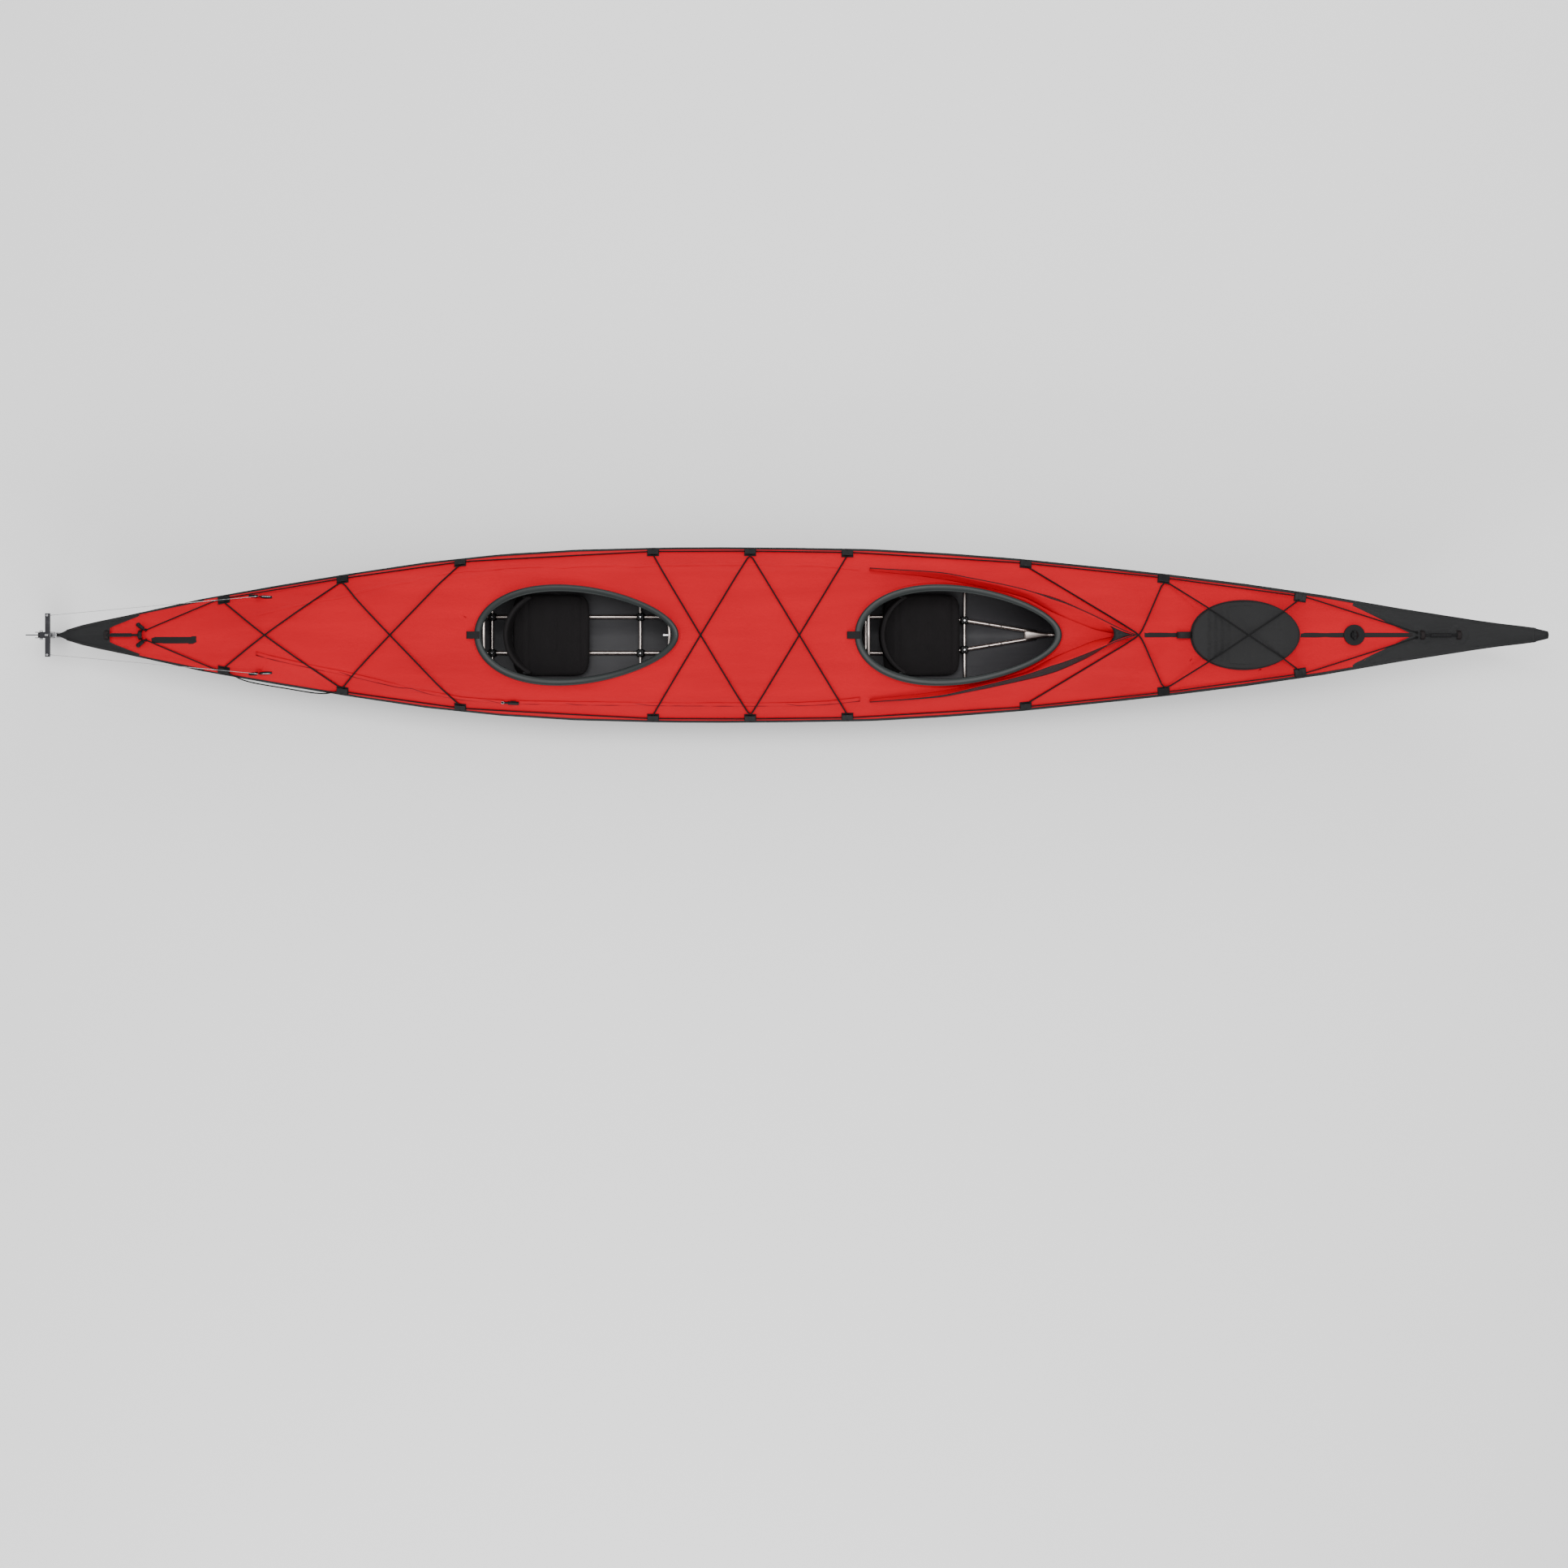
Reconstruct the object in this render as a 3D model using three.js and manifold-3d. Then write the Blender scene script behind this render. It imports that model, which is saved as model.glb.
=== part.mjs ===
// Two-seat folding kayak: a coated fabric skin over a tube frame, with air sponsons, two cockpits and a rudder.
// Millimetres, X from stern to bow, Y to port, Z up. The origin is on the flat keel strip amidships.

import * as THREE from "three";
import { mergeVertices } from "three/addons/utils/BufferGeometryUtils.js";
import Module from "manifold-3d";

const wasm = await Module();
wasm.setup();

// Hull
const hullLength = 5900;
const seamBeam = 702;
const seamHeight = 215;
const bulgeDepth = 55;
const hullWall = 2;
const deckWall = 1.6;
const keelStripWidth = 24;
const stationSpacing = 298;
const endZone = 270;

// Fits between pieces
const fit = 0.3;
const drape = 1.4;
const overrun = 20;

// Frame tubes
const keelTubeRadius = 9;
const keelTubeHalfSpacing = 74;
const chineTubeRadius = 8;
const gunwaleTubeRadius = 10;
const deckBarRadius = 8;
const ridgeTubeRadius = 9;
const ribTubeRadius = 8;
const skinStandoff = 2;
const sponsonRadius = 38;
const sponsonWall = 1.5;
const sponsonStretchShare = 1.4;
const clampLength = 26;
const clampWall = 5;
const stemPlateThickness = 14;
const endPlateThickness = 8;
const forkHalfSpacing = 12;

// Cockpit rims
const coamingRimWidth = 28;
const coamingCrown = 3;
const coamingLength = 816;
const coamingBeam = 396;
const coamingEggShare = 0.2;
const coamingTabLength = 30;
const coamingTabWidth = 29;
const coamingTabThickness = 9;
const rimCover = 10;

// Seats and backrests
const seatLength = 318;
const seatWidth = 336;
const seatThickness = 46;
const seatCrown = 12;
const seatFromRim = -127;
const backrestRadius = 168;
const backrestSpan = 62;
const backrestHeight = 168;
const backrestThickness = 20;
const wingRise = 72;
const wingDrop = 34;

// Steering inside
const footBraceHalfWidth = 146;
const pedalWidth = 60;
const pedalHeight = 150;
const pedalThickness = 6;
const pedalHalfSpacing = 119;
const pedalCollarWall = 4;

// Hatch
const hatchLength = 426;
const hatchBeam = 268;
const hatchWall = 4;
const hatchCoverHeight = 36;
const hatchRimHeight = 15;
const hatchRimInset = 12;
const hatchRimWall = 6;
const hatchPullWidth = 26;
const hatchPullLength = 62;
const hatchPullThickness = 3;

// Deck gear
const lineRadius = 2;
const bungeeRadius = 2.5;
const cableRadius = 1;
const cableHoleRadius = 3;
const lineInset = 16;
const bungeeInset = 25;
const fittingLength = 42;
const fittingWidth = 32;
const fittingHeight = 9.5;
const lineKnotGap = 22;
const lineKnotHalfSpacing = 10;
const slackSwing = 12;
const slackSag = 20;
const trimThickness = 1.4;
const trimDeckFlange = 9;
const trimHullFlange = 11;
const zipWidth = 18;
const zipThickness = 1.6;
const zipSliderLength = 44;
const zipSliderWidth = 13;
const zipSliderHeight = 7;
const zipPullLength = 26;
const discRadius = 41.5;
const discHeight = 5;
const discEyeRadius = 17;
const handleRadius = 6.5;
const handleFootRadius = 7;
const bowHandleRise = 10;
const sternHandleRise = 22;
const bowHandleSpan = 140;
const sternHandleSpan = 136;
const breakwaterWall = 3;
const sternNotchHalfWidth = 28;
const fittingBehindRim = 108;
const fittingAheadOfRim = 26;
const crossingAheadOfTip = 9;
const fittingAheadOfCrossing = 113;

// Rudder
const rudderOffset = 28;
const pinRadius = 4;
const pinBottom = 182;
const pinTop = 343;
const pinHook = 12;
const pinBend = 5;
const pinCollarRadius = 7.6;
const bracketWidth = 22;
const bracketPlate = 5;
const bracketBottom = 200;
const bracketTop = 291;
const gudgeonRadius = 10;
const gudgeonWidth = 16;
const lowerGudgeonBottom = 203;
const lowerGudgeonTop = 218;
const upperGudgeonBottom = 277;
const upperGudgeonTop = 289;
const headBottom = 193;
const headLowerLugTop = 200;
const headUpperLugBottom = 294;
const headTop = 303;
const headHalfGap = 10;
const lugLength = 34;
const cheekThickness = 2.5;
const cheekGap = 12;
const cheekLength = 52;
const cheekCorner = 34;
const yokeSpan = 173;
const yokeWidth = 18;
const yokeThickness = 11;
const yokeHoleInset = 8;
const boltBehindPin = 44;
const boltZ = 257;
const boltRadius = 4;
const boltHeadRadius = 7;
const boltHeadHeight = 4;
const bossRadius = 13;
const bladeThickness = 4;
const bladeBottom = -87;
const bladeTopLead = 12;
const bladeTopRise = 36;
const bladeShoulderBack = 74;
const bladeShoulderDrop = 29;
const bladeTipBack = 101;
const bladeTipLead = 8;
const bladeNeckLead = 27;
const bladeNeckDrop = 65;
const bladeHoleRadius = 4;
const bladeHoleBack = 68;
const bladeHoleDrop = 33;

// Side shape of the hull, as shares of half its length and of the named size after each table
const seamBeamShares = [
  [-1, 0.012], [-0.983, 0.074], [-0.902, 0.228], [-0.808, 0.407], [-0.643, 0.652], [-0.478, 0.855],
  [-0.312, 0.969], [-0.119, 1], [0.074, 0.983], [0.239, 0.909], [0.405, 0.778], [0.57, 0.615],
  [0.727, 0.416], [0.832, 0.256], [0.937, 0.123], [0.985, 0.072], [1, 0.04],
];
const seamHeightShares = [
  [-1, 1.228], [-0.877, 1.19], [-0.771, 1.075], [-0.67, 1], [-0.456, 1.014], [-0.2, 1],
  [0.06, 1.047], [0.309, 1.107], [0.496, 1.233], [0.59, 1.349], [0.676, 1.46], [0.8, 1.665], [1, 1.87],
];
const keelHeightShares = [
  [-1, 0.884], [-0.9983, 0.707], [-0.99, 0.479], [-0.9776, 0.293], [-0.961, 0.149], [-0.946, 0.107],
  [-0.755, 0.074], [-0.427, 0.009], [-0.281, 0], [0.055, 0], [0.253, 0.04], [0.38, 0.06], [0.686, 0.098],
  [0.762, 0.14], [0.839, 0.279], [0.89, 0.488], [0.941, 0.921], [0.976, 1.377], [0.997, 1.79], [1, 1.83],
];
const chineBeamShares = [
  [-1, 0.9], [-0.89, 0.9], [-0.826, 0.74], [-0.777, 0.65], [-0.702, 0.62], [-0.529, 0.65],
  [-0.2, 0.67], [0.1, 0.68], [0.317, 0.68], [0.431, 0.655], [0.595, 0.65], [0.676, 0.78], [0.74, 0.92], [1, 0.92],
];
const chineRiseShares = [
  [-1, 0.9], [-0.89, 0.9], [-0.826, 0.81], [-0.777, 0.634], [-0.702, 0.456], [-0.627, 0.32], [-0.529, 0.248],
  [-0.434, 0.176], [-0.2, 0.177], [0, 0.218], [0.218, 0.289], [0.317, 0.367], [0.431, 0.483], [0.517, 0.583],
  [0.595, 0.7], [0.676, 0.86], [0.74, 0.92], [1, 0.92],
];
const bulgeShares = [
  [-1, 0], [-0.89, 0.02], [-0.777, 0.3], [-0.627, 0.65], [-0.434, 0.95], [-0.15, 1], [0.218, 0.95],
  [0.431, 0.75], [0.595, 0.35], [0.676, 0.1], [0.74, 0], [1, 0],
];
const ridgeHeightShares = [
  [-1, 1.256], [-0.888, 1.284], [-0.815, 1.363], [-0.724, 1.488], [-0.595, 1.451], [-0.475, 1.409],
  [-0.434, 1.386], [-0.305, 1.395], [-0.203, 1.498], [-0.162, 1.53], [-0.125, 1.512], [-0.047, 1.465],
  [0.028, 1.488], [0.081, 1.53], [0.136, 1.549], [0.237, 1.605], [0.358, 1.665], [0.4, 1.73], [0.437, 1.767],
  [0.454, 1.726], [0.493, 1.651], [0.527, 1.6], [0.6, 1.553], [0.671, 1.548], [0.747, 1.618], [0.818, 1.702],
  [0.915, 1.807], [1, 1.905],
];
const shoulderBeamShares = [
  [-1, 0.3], [-0.9, 0.12], [-0.814, 0.08], [-0.747, 0.3], [-0.685, 0.45], [-0.616, 0.52], [-0.529, 0.65],
  [-0.441, 0.76], [-0.305, 0.72], [-0.162, 0.705], [0.081, 0.72], [0.19, 0.742], [0.234, 0.7], [0.271, 0.656],
  [0.339, 0.58], [0.376, 0.454], [0.4, 0.365], [0.427, 0.226], [0.46, 0.1], [0.8, 0.1], [0.87, 0.3], [1, 0.4],
];
const shoulderRiseShares = [
  [-1, 0.7], [-0.9, 0.93], [-0.814, 0.97], [-0.747, 0.86], [-0.685, 0.8], [-0.616, 0.83], [-0.529, 0.88],
  [-0.441, 0.95], [-0.305, 0.94], [-0.203, 0.8], [-0.162, 0.75], [-0.047, 0.82], [0.081, 0.69], [0.19, 0.58],
  [0.234, 0.57], [0.271, 0.6], [0.339, 0.71], [0.376, 0.81], [0.4, 0.89], [0.427, 0.97], [0.46, 0.985],
  [0.8, 0.97], [0.87, 0.85], [1, 0.7],
];
const rearRimHeightShares = [[-1, 1.421], [-0.6, 1.44], [0, 1.447], [0.35, 1.47], [0.7, 1.535], [1, 1.614]];
const frontRimHeightShares = [[-1, 1.56], [-0.6, 1.574], [0, 1.592], [0.35, 1.628], [0.7, 1.69], [1, 1.75]];
const sponsonRadiusShares = [[-0.72, 0.3], [-0.6, 0.7], [-0.42, 1], [0.2, 1], [0.45, 0.8], [0.6, 0.36]];

// Breakwater: forward of the front rim's centre as a share of its length, then base, top and foot as shares of
// half the beam, and the top's height as a share
const breakwaterShares = [
  [-0.425, 0.765, 0.757, 1.409, 0.735],
  [-0.0925, 0.712, 0.692, 1.498, 0.641],
  [0.0665, 0.65, 0.61, 1.558, 0.57],
  [0.323, 0.53, 0.46, 1.674, 0.425],
  [0.457, 0.463, 0.34, 1.781, 0.262],
  [0.569, 0.367, 0.215, 1.874, 0.15],
  [0.667, 0.262, 0.12, 1.944, 0.068],
];
const breakwaterApexShare = 0.864;
const breakwaterNeckShare = 0.815;
const breakwaterFootShare = 0.721;
const breakwaterApexHeightShare = 2.051;

// Places along half the length
const keyStationShares = [-0.162, 0.437];
const bowStationShares = [0.935, 0.963, 0.984, 0.996];
const sternStationShares = [0.943, 0.968, 0.989, 0.9983];
const rearCoamingShare = -0.2973;
const frontCoamingShare = 0.2156;
const footBraceShare = -0.08;
const hatchShare = 0.6007;
const zipSliderShare = -0.3837;
const discShare = 0.7468;
const bowHandleShare = 0.8593;
const sternHandleShare = -0.9105;
const bowCoverEdgeShare = 0.739;
const bowCoverApexShare = 0.824;
const sternCoverEdgeShare = -0.885;
const sternCoverNotchShare = -0.93;
const bowForkShares = [0.204, 0.333];
const sternForkShares = [-0.458, -0.587];
const bowPlateShare = 0.84;
const sternPlateShare = -0.89;
const bowFinShare = 0.945;
const sternFinShare = -0.968;
const cavityShares = [-0.975, 0.955];
const zipShares = [-0.73, 0.085];
const zipPlaceShares = [[-0.73, 0.93], [-0.6, 0.78], [-0.5, 0.72], [0, 0.72], [0.06, 0.82], [0.085, 0.92]];
const cableEntryShare = -0.729;
const cableEntryBeamShare = 0.442;
const cableShares = [[-0.68, 0.43, 1.03], [-0.6, 0.5, 0.94], [-0.42, 0.7, 0.9], [-0.24, 0.76, 0.9]];
const aftFittingShares = [-0.778, -0.618, -0.4576];
const rimFittingShare = 0.342;
const bowFittingShare = 0.677;
const hoopRibShares = [-0.724, -0.4234, 0.096, 0.437, 0.6746];
const leaningRibShare = -0.2173;
const leaningRibTopShare = -0.1712;
const thighRibShare = 0.2329;
const sponsonShares = [-0.72, 0.6];

const half = hullLength / 2;
const halfBeam = seamBeam / 2;
const rearCoamingX = rearCoamingShare * half;
const frontCoamingX = frontCoamingShare * half;
const footBraceX = footBraceShare * half;
const hatchX = hatchShare * half;
const zipSliderX = zipSliderShare * half;
const discX = discShare * half;
const rudderAxisX = -half - rudderOffset;
const cheekFrontX = rudderAxisX - cheekGap;
const cheekBackX = cheekFrontX - cheekLength;
const boltX = rudderAxisX - boltBehindPin;
const ribX = hoopRibShares.map((share) => share * half);
const onBreakwater = (share) => frontCoamingX + share * coamingLength;
const crossingX = onBreakwater(breakwaterApexShare) + crossingAheadOfTip;
const betweenRimsX = [
  rearCoamingX + coamingLength / 2 - fittingBehindRim,
  frontCoamingX - coamingLength / 2 - fittingAheadOfRim,
];
const fittingX = [
  ...aftFittingShares.map((share) => share * half),
  betweenRimsX[0], (betweenRimsX[0] + betweenRimsX[1]) / 2, betweenRimsX[1],
  onBreakwater(rimFittingShare), crossingX + fittingAheadOfCrossing, bowFittingShare * half,
];

function smoothShares(pairs) {
  const slopes = pairs.slice(1).map((p, i) => (p[1] - pairs[i][1]) / (p[0] - pairs[i][0]));
  const tangents = pairs.map((p, i) => {
    if (i === 0) return slopes[0];
    if (i === slopes.length) return slopes[i - 1];
    if (slopes[i - 1] * slopes[i] <= 0) return 0;
    return (2 * slopes[i - 1] * slopes[i]) / (slopes[i - 1] + slopes[i]);
  });
  return (share) => {
    const s = Math.min(Math.max(share, pairs[0][0]), pairs.at(-1)[0]);
    const i = Math.max(0, Math.min(pairs.length - 2, pairs.findIndex((p) => p[0] >= s) - 1));
    const width = pairs[i + 1][0] - pairs[i][0];
    const t = (s - pairs[i][0]) / width;
    const a = (1 + 2 * t) * (1 - t) ** 2;
    const b = t * (1 - t) ** 2;
    const c = t * t * (3 - 2 * t);
    const d = t * t * (t - 1);
    return a * pairs[i][1] + b * width * tangents[i] + c * pairs[i + 1][1] + d * width * tangents[i + 1];
  };
}

function alongHull(pairs, unit) {
  const curve = smoothShares(pairs);
  return (x) => unit * curve(x / half);
}

const seamY = alongHull(seamBeamShares, halfBeam);
const seamZ = alongHull(seamHeightShares, seamHeight);
const keelZ = alongHull(keelHeightShares, seamHeight);
const chineBeam = alongHull(chineBeamShares, 1);
const chineRise = alongHull(chineRiseShares, 1);
const bulge = alongHull(bulgeShares, bulgeDepth);
const ridgeZ = alongHull(ridgeHeightShares, seamHeight);
const shoulderBeam = alongHull(shoulderBeamShares, 1);
const shoulderRise = alongHull(shoulderRiseShares, 1);
const sponsonSize = alongHull(sponsonRadiusShares, sponsonRadius);

const keelHalf = (x) => Math.min(keelStripWidth / 2, seamY(x) * 0.35);
const mix = (a, b, t) => a + (b - a) * t;
const mixPoint = (a, b, t) => [mix(a[0], b[0], t), mix(a[1], b[1], t)];

function outwardNormal(a, b) {
  const length = Math.hypot(b[0] - a[0], b[1] - a[1]);
  return [-(b[1] - a[1]) / length, (b[0] - a[0]) / length];
}

// Half of the hull's outline at a station, from the seam down to the keel strip's edge
function hullOutline(x) {
  const seam = [seamY(x), seamZ(x)];
  const keel = [keelHalf(x), keelZ(x)];
  const chine = [
    Math.max(seam[0] * chineBeam(x), keel[0] * 1.02),
    mix(keel[1], seam[1], chineRise(x)),
  ];
  const n = outwardNormal(seam, chine);
  const side = [0.25, 0.5, 0.75].map((t) => {
    const p = mixPoint(seam, chine, t);
    const swell = 4 * t * (1 - t) * bulge(x);
    return [p[0] + n[0] * swell, p[1] + n[1] * swell];
  });
  return [seam, ...side, chine, keel];
}

// The same outline moved inwards, as the inside of the skin or the room for what lies in it
function insetOutline(x, inset) {
  const { i, t } = spanAt(x);
  const outer = hullLines[i].map((p, j) => mixPoint(p, hullLines[i + 1][j], t));
  const inner = outer.slice(0, -1).map((p, i) => {
    const next = outwardNormal(p, outer[i + 1]);
    const last = i === 0 ? next : outwardNormal(outer[i - 1], p);
    const blend = 1 + last[0] * next[0] + last[1] * next[1];
    return [p[0] - (inset * (last[0] + next[0])) / blend, p[1] - (inset * (last[1] + next[1])) / blend];
  });
  const chine = inner.at(-1);
  const n = outwardNormal(outer.at(-2), outer.at(-1));
  const keel = [outer.at(-1)[0] - n[0] * inset, outer.at(-1)[1] - n[1] * inset];
  const floor = outer.at(-1)[1] + inset;
  const along = (floor - chine[1]) / (keel[1] - chine[1]);
  const bottom = mixPoint(chine, keel, along);
  return bottom[0] > fit ? [...inner, bottom] : [...inner, mixPoint(chine, keel, (fit - chine[0]) / (keel[0] - chine[0]))];
}

// Half of the deck's upper line at a station, from the seam up to the centreline
function deckOutline(x) {
  const edge = [seamY(x), seamZ(x) + fit + deckWall];
  const ridge = [0, ridgeZ(x)];
  const shoulder = [edge[0] * shoulderBeam(x), mix(edge[1], ridge[1], shoulderRise(x))];
  const crown = [shoulder[0] / 2, mix(shoulder[1], ridge[1], 0.72)];
  return [edge, shoulder, crown, ridge];
}

function stationList() {
  const middle = half - endZone;
  const count = Math.round((2 * middle) / stationSpacing);
  const even = Array.from({ length: count + 1 }, (_, i) => mix(-middle, middle, i / count));
  const key = keyStationShares.map((share) => share * half);
  const between = even.filter((x) => key.every((k) => Math.abs(x - k) > stationSpacing / 3));
  const bow = bowStationShares.map((share) => share * half);
  const stern = sternStationShares.map((share) => -share * half);
  return [-half, ...stern, ...between, ...key, ...bow, half].sort((a, b) => a - b);
}

const stations = stationList();
const deckLines = stations.map(deckOutline);
const hullLines = stations.map(hullOutline);

// Where a place lies between two stations
function spanAt(x) {
  const i = Math.max(0, Math.min(stations.length - 2, stations.findIndex((s) => s >= x) - 1));
  return { i, t: (x - stations[i]) / (stations[i + 1] - stations[i]) };
}

function ringAt(x, points) {
  return points.map((p) => new THREE.Vector3(x, p[0], p[1]));
}

function bothSides(halfPoints) {
  const port = halfPoints.map((p) => [p[0], p[1]]);
  const starboard = halfPoints.filter((p) => p[0] > 0).map((p) => [-p[0], p[1]]).reverse();
  return [...port, ...starboard];
}

function signedVolume(geometry) {
  const p = geometry.getAttribute("position");
  const index = geometry.getIndex();
  const a = new THREE.Vector3();
  const b = new THREE.Vector3();
  const c = new THREE.Vector3();
  let total = 0;
  for (let i = 0; i < index.count; i += 3) {
    a.fromBufferAttribute(p, index.getX(i));
    b.fromBufferAttribute(p, index.getX(i + 1));
    c.fromBufferAttribute(p, index.getX(i + 2));
    total += a.dot(b.cross(c)) / 6;
  }
  return total;
}

// One clean closed geometry with its faces pointing out
function closed(geometry) {
  const bare = geometry.clone();
  bare.deleteAttribute("normal");
  bare.deleteAttribute("uv");
  const merged = mergeVertices(bare, 1e-4);
  if (signedVolume(merged) < 0) {
    const index = merged.getIndex();
    for (let i = 0; i < index.count; i += 3) {
      const swap = index.getX(i);
      index.setX(i, index.getX(i + 1));
      index.setX(i + 1, swap);
    }
  }
  return merged;
}

// Both sides of the boat, and skins that lie on each other, fold along the same diagonals
function outerness(p) {
  return 2 * Math.abs(p.y) + p.z;
}

// A closed skin through rings of points, with flat ends, or joined end to end where it goes round
function loft(rings, goesRound = false) {
  const size = rings[0].length;
  const vertices = rings.flat().flatMap((v) => [v.x, v.y, v.z]);
  const faces = [];
  const spans = goesRound ? rings.length : rings.length - 1;
  for (let i = 0; i < spans; i += 1) {
    const next = (i + 1) % rings.length;
    for (let j = 0; j < size; j += 1) {
      const k = (j + 1) % size;
      const [a, b, c, d] = [i * size + j, i * size + k, next * size + k, next * size + j];
      const outer = outerness(rings[i][j]) + outerness(rings[next][j]);
      const inner = outerness(rings[i][k]) + outerness(rings[next][k]);
      faces.push(...(outer >= inner ? [a, b, c, a, c, d] : [a, b, d, b, c, d]));
    }
  }
  if (!goesRound) {
    for (const [ring, start, flip] of [[rings[0], 0, true], [rings.at(-1), (rings.length - 1) * size, false]]) {
      const normal = ringNormal(ring);
      const u = new THREE.Vector3().subVectors(ring[1], ring[0]).normalize();
      const v = new THREE.Vector3().crossVectors(normal, u);
      const flat = ring.map((p) => new THREE.Vector2(p.dot(u), p.dot(v)));
      for (const [a, b, c] of THREE.ShapeUtils.triangulateShape(flat, [])) {
        faces.push(start + a, start + (flip ? c : b), start + (flip ? b : c));
      }
    }
  }
  const geometry = new THREE.BufferGeometry();
  geometry.setAttribute("position", new THREE.Float32BufferAttribute(vertices, 3));
  geometry.setIndex(faces);
  return closed(geometry);
}

function ringNormal(ring) {
  const normal = new THREE.Vector3();
  ring.forEach((p, i) => {
    const q = ring[(i + 1) % ring.length];
    normal.x += (p.y - q.y) * (p.z + q.z);
    normal.y += (p.z - q.z) * (p.x + q.x);
    normal.z += (p.x - q.x) * (p.y + q.y);
  });
  return normal.normalize();
}

function toManifold(geometry) {
  const shape = closed(geometry);
  return new wasm.Manifold(new wasm.Mesh({
    numProp: 3,
    vertProperties: new Float32Array(shape.getAttribute("position").array),
    triVerts: new Uint32Array(shape.getIndex().array),
  }));
}

function fromManifold(manifold) {
  const mesh = manifold.getMesh();
  const geometry = new THREE.BufferGeometry();
  geometry.setAttribute("position", new THREE.Float32BufferAttribute(mesh.vertProperties, 3));
  geometry.setIndex(Array.from(mesh.triVerts));
  return geometry;
}

function join(...shapes) {
  return shapes.map(toManifold).reduce((a, b) => a.add(b));
}

function cutFrom(manifold, ...cutters) {
  return cutters.map(toManifold).reduce((a, b) => a.subtract(b), manifold);
}

// A route that passes through each of its points in turn
class Route extends THREE.Curve {
  constructor(points, goesRound = false) {
    super();
    this.points = points;
    this.goesRound = goesRound;
  }

  at(i) {
    const count = this.points.length;
    return this.points[this.goesRound ? (i + count) % count : Math.min(Math.max(i, 0), count - 1)];
  }

  getPoint(u) {
    const spans = this.goesRound ? this.points.length : this.points.length - 1;
    const s = u * spans;
    const i = Math.min(Math.floor(s + 1e-9), spans);
    return this.at(i).clone().lerp(this.at(i + 1), s - i);
  }

  getPointAt(u) {
    return this.getPoint(u);
  }

  getTangentAt(u) {
    const spans = this.goesRound ? this.points.length : this.points.length - 1;
    const i = Math.round(u * spans);
    return this.at(i + 1).clone().sub(this.at(i - 1)).normalize();
  }
}

function circle(radius, sides) {
  const turn = (2 * Math.PI) / sides;
  return new THREE.Shape(Array.from({ length: sides }, (_, i) => (
    new THREE.Vector2(radius * Math.cos(i * turn), radius * Math.sin(i * turn))
  )));
}

function tube(points, radius, sides = 8) {
  return new THREE.ExtrudeGeometry(circle(radius, sides), {
    steps: points.length - 1,
    extrudePath: new Route(points),
    bevelEnabled: false,
  });
}

function hoop(points, radius, sides = 6) {
  return new THREE.TubeGeometry(new Route(points, true), points.length, radius, sides, true);
}

function smoothed(points, steps, goesRound = false, tension = 0.5) {
  const curve = new THREE.CatmullRomCurve3(points, goesRound, "catmullrom", tension);
  return curve.getPoints(steps).slice(0, goesRound ? steps : steps + 1);
}

function block(x0, x1, y0, y1, z0, z1) {
  const shape = new THREE.BoxGeometry(x1 - x0, y1 - y0, z1 - z0);
  shape.translate((x0 + x1) / 2, (y0 + y1) / 2, (z0 + z1) / 2);
  return shape;
}

function post(x, y, z0, z1, radius, sides = 16) {
  const shape = new THREE.CylinderGeometry(radius, radius, z1 - z0, sides);
  shape.rotateX(Math.PI / 2);
  shape.translate(x, y, (z0 + z1) / 2);
  return shape;
}

function crossPin(x, z, y0, y1, radius, sides = 16) {
  const shape = new THREE.CylinderGeometry(radius, radius, y1 - y0, sides);
  shape.translate(x, (y0 + y1) / 2, z);
  return shape;
}

// A plate in the X-Z plane from a list of its corners
function sidePlate(corners, y0, y1) {
  const shape = new THREE.Shape(corners.map(([x, z]) => new THREE.Vector2(x, z)));
  const plate = new THREE.ExtrudeGeometry(shape, { depth: y1 - y0, bevelEnabled: false });
  plate.rotateX(Math.PI / 2);
  plate.translate(0, y1, 0);
  return plate;
}

// The folds of a faceted skin at any place: its lines and the diagonals between them
function sectionAt(x, lines) {
  const { i, t } = spanAt(x);
  const [aft, fore] = [lines[i], lines[i + 1]];
  return aft.flatMap((p, j) => {
    const along = mixPoint(p, fore[j], t);
    return j < aft.length - 1 ? [along, mixPoint(p, fore[j + 1], t)] : [along];
  });
}

function deckTop(x, y) {
  const line = sectionAt(x, deckLines);
  const side = Math.min(Math.abs(y), line[0][0]);
  const j = Math.max(1, line.findIndex((p) => p[0] <= side));
  return mix(line[j - 1][1], line[j][1], (line[j - 1][0] - side) / (line[j - 1][0] - line[j][0]));
}

// A height at a given distance from the deck's surface, measured square to its slope
function overDeck(x, y, distance) {
  const reach = Math.min(distance, Math.max(fit, seamY(x) - Math.abs(y)));
  const rise = deckTop(x, Math.abs(y) - distance) - deckTop(x, Math.abs(y) + reach);
  const slope = Math.atan2(rise, distance + reach);
  return deckTop(x, y) + distance / Math.cos(slope);
}

// Everything under the deck's upper surface, lifted a little: what rests on the deck is cut with it
function underDeck(lift) {
  return loft(stations.map((x) => {
    const line = deckOutline(x).map((p) => [p[0], p[1] + lift]);
    const deep = [line[0][0] + overrun, line[0][1] - seamHeight * 0.7];
    return ringAt(x, bothSides([deep, [line[0][0] + overrun, line[0][1]], ...line]));
  }));
}

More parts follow.
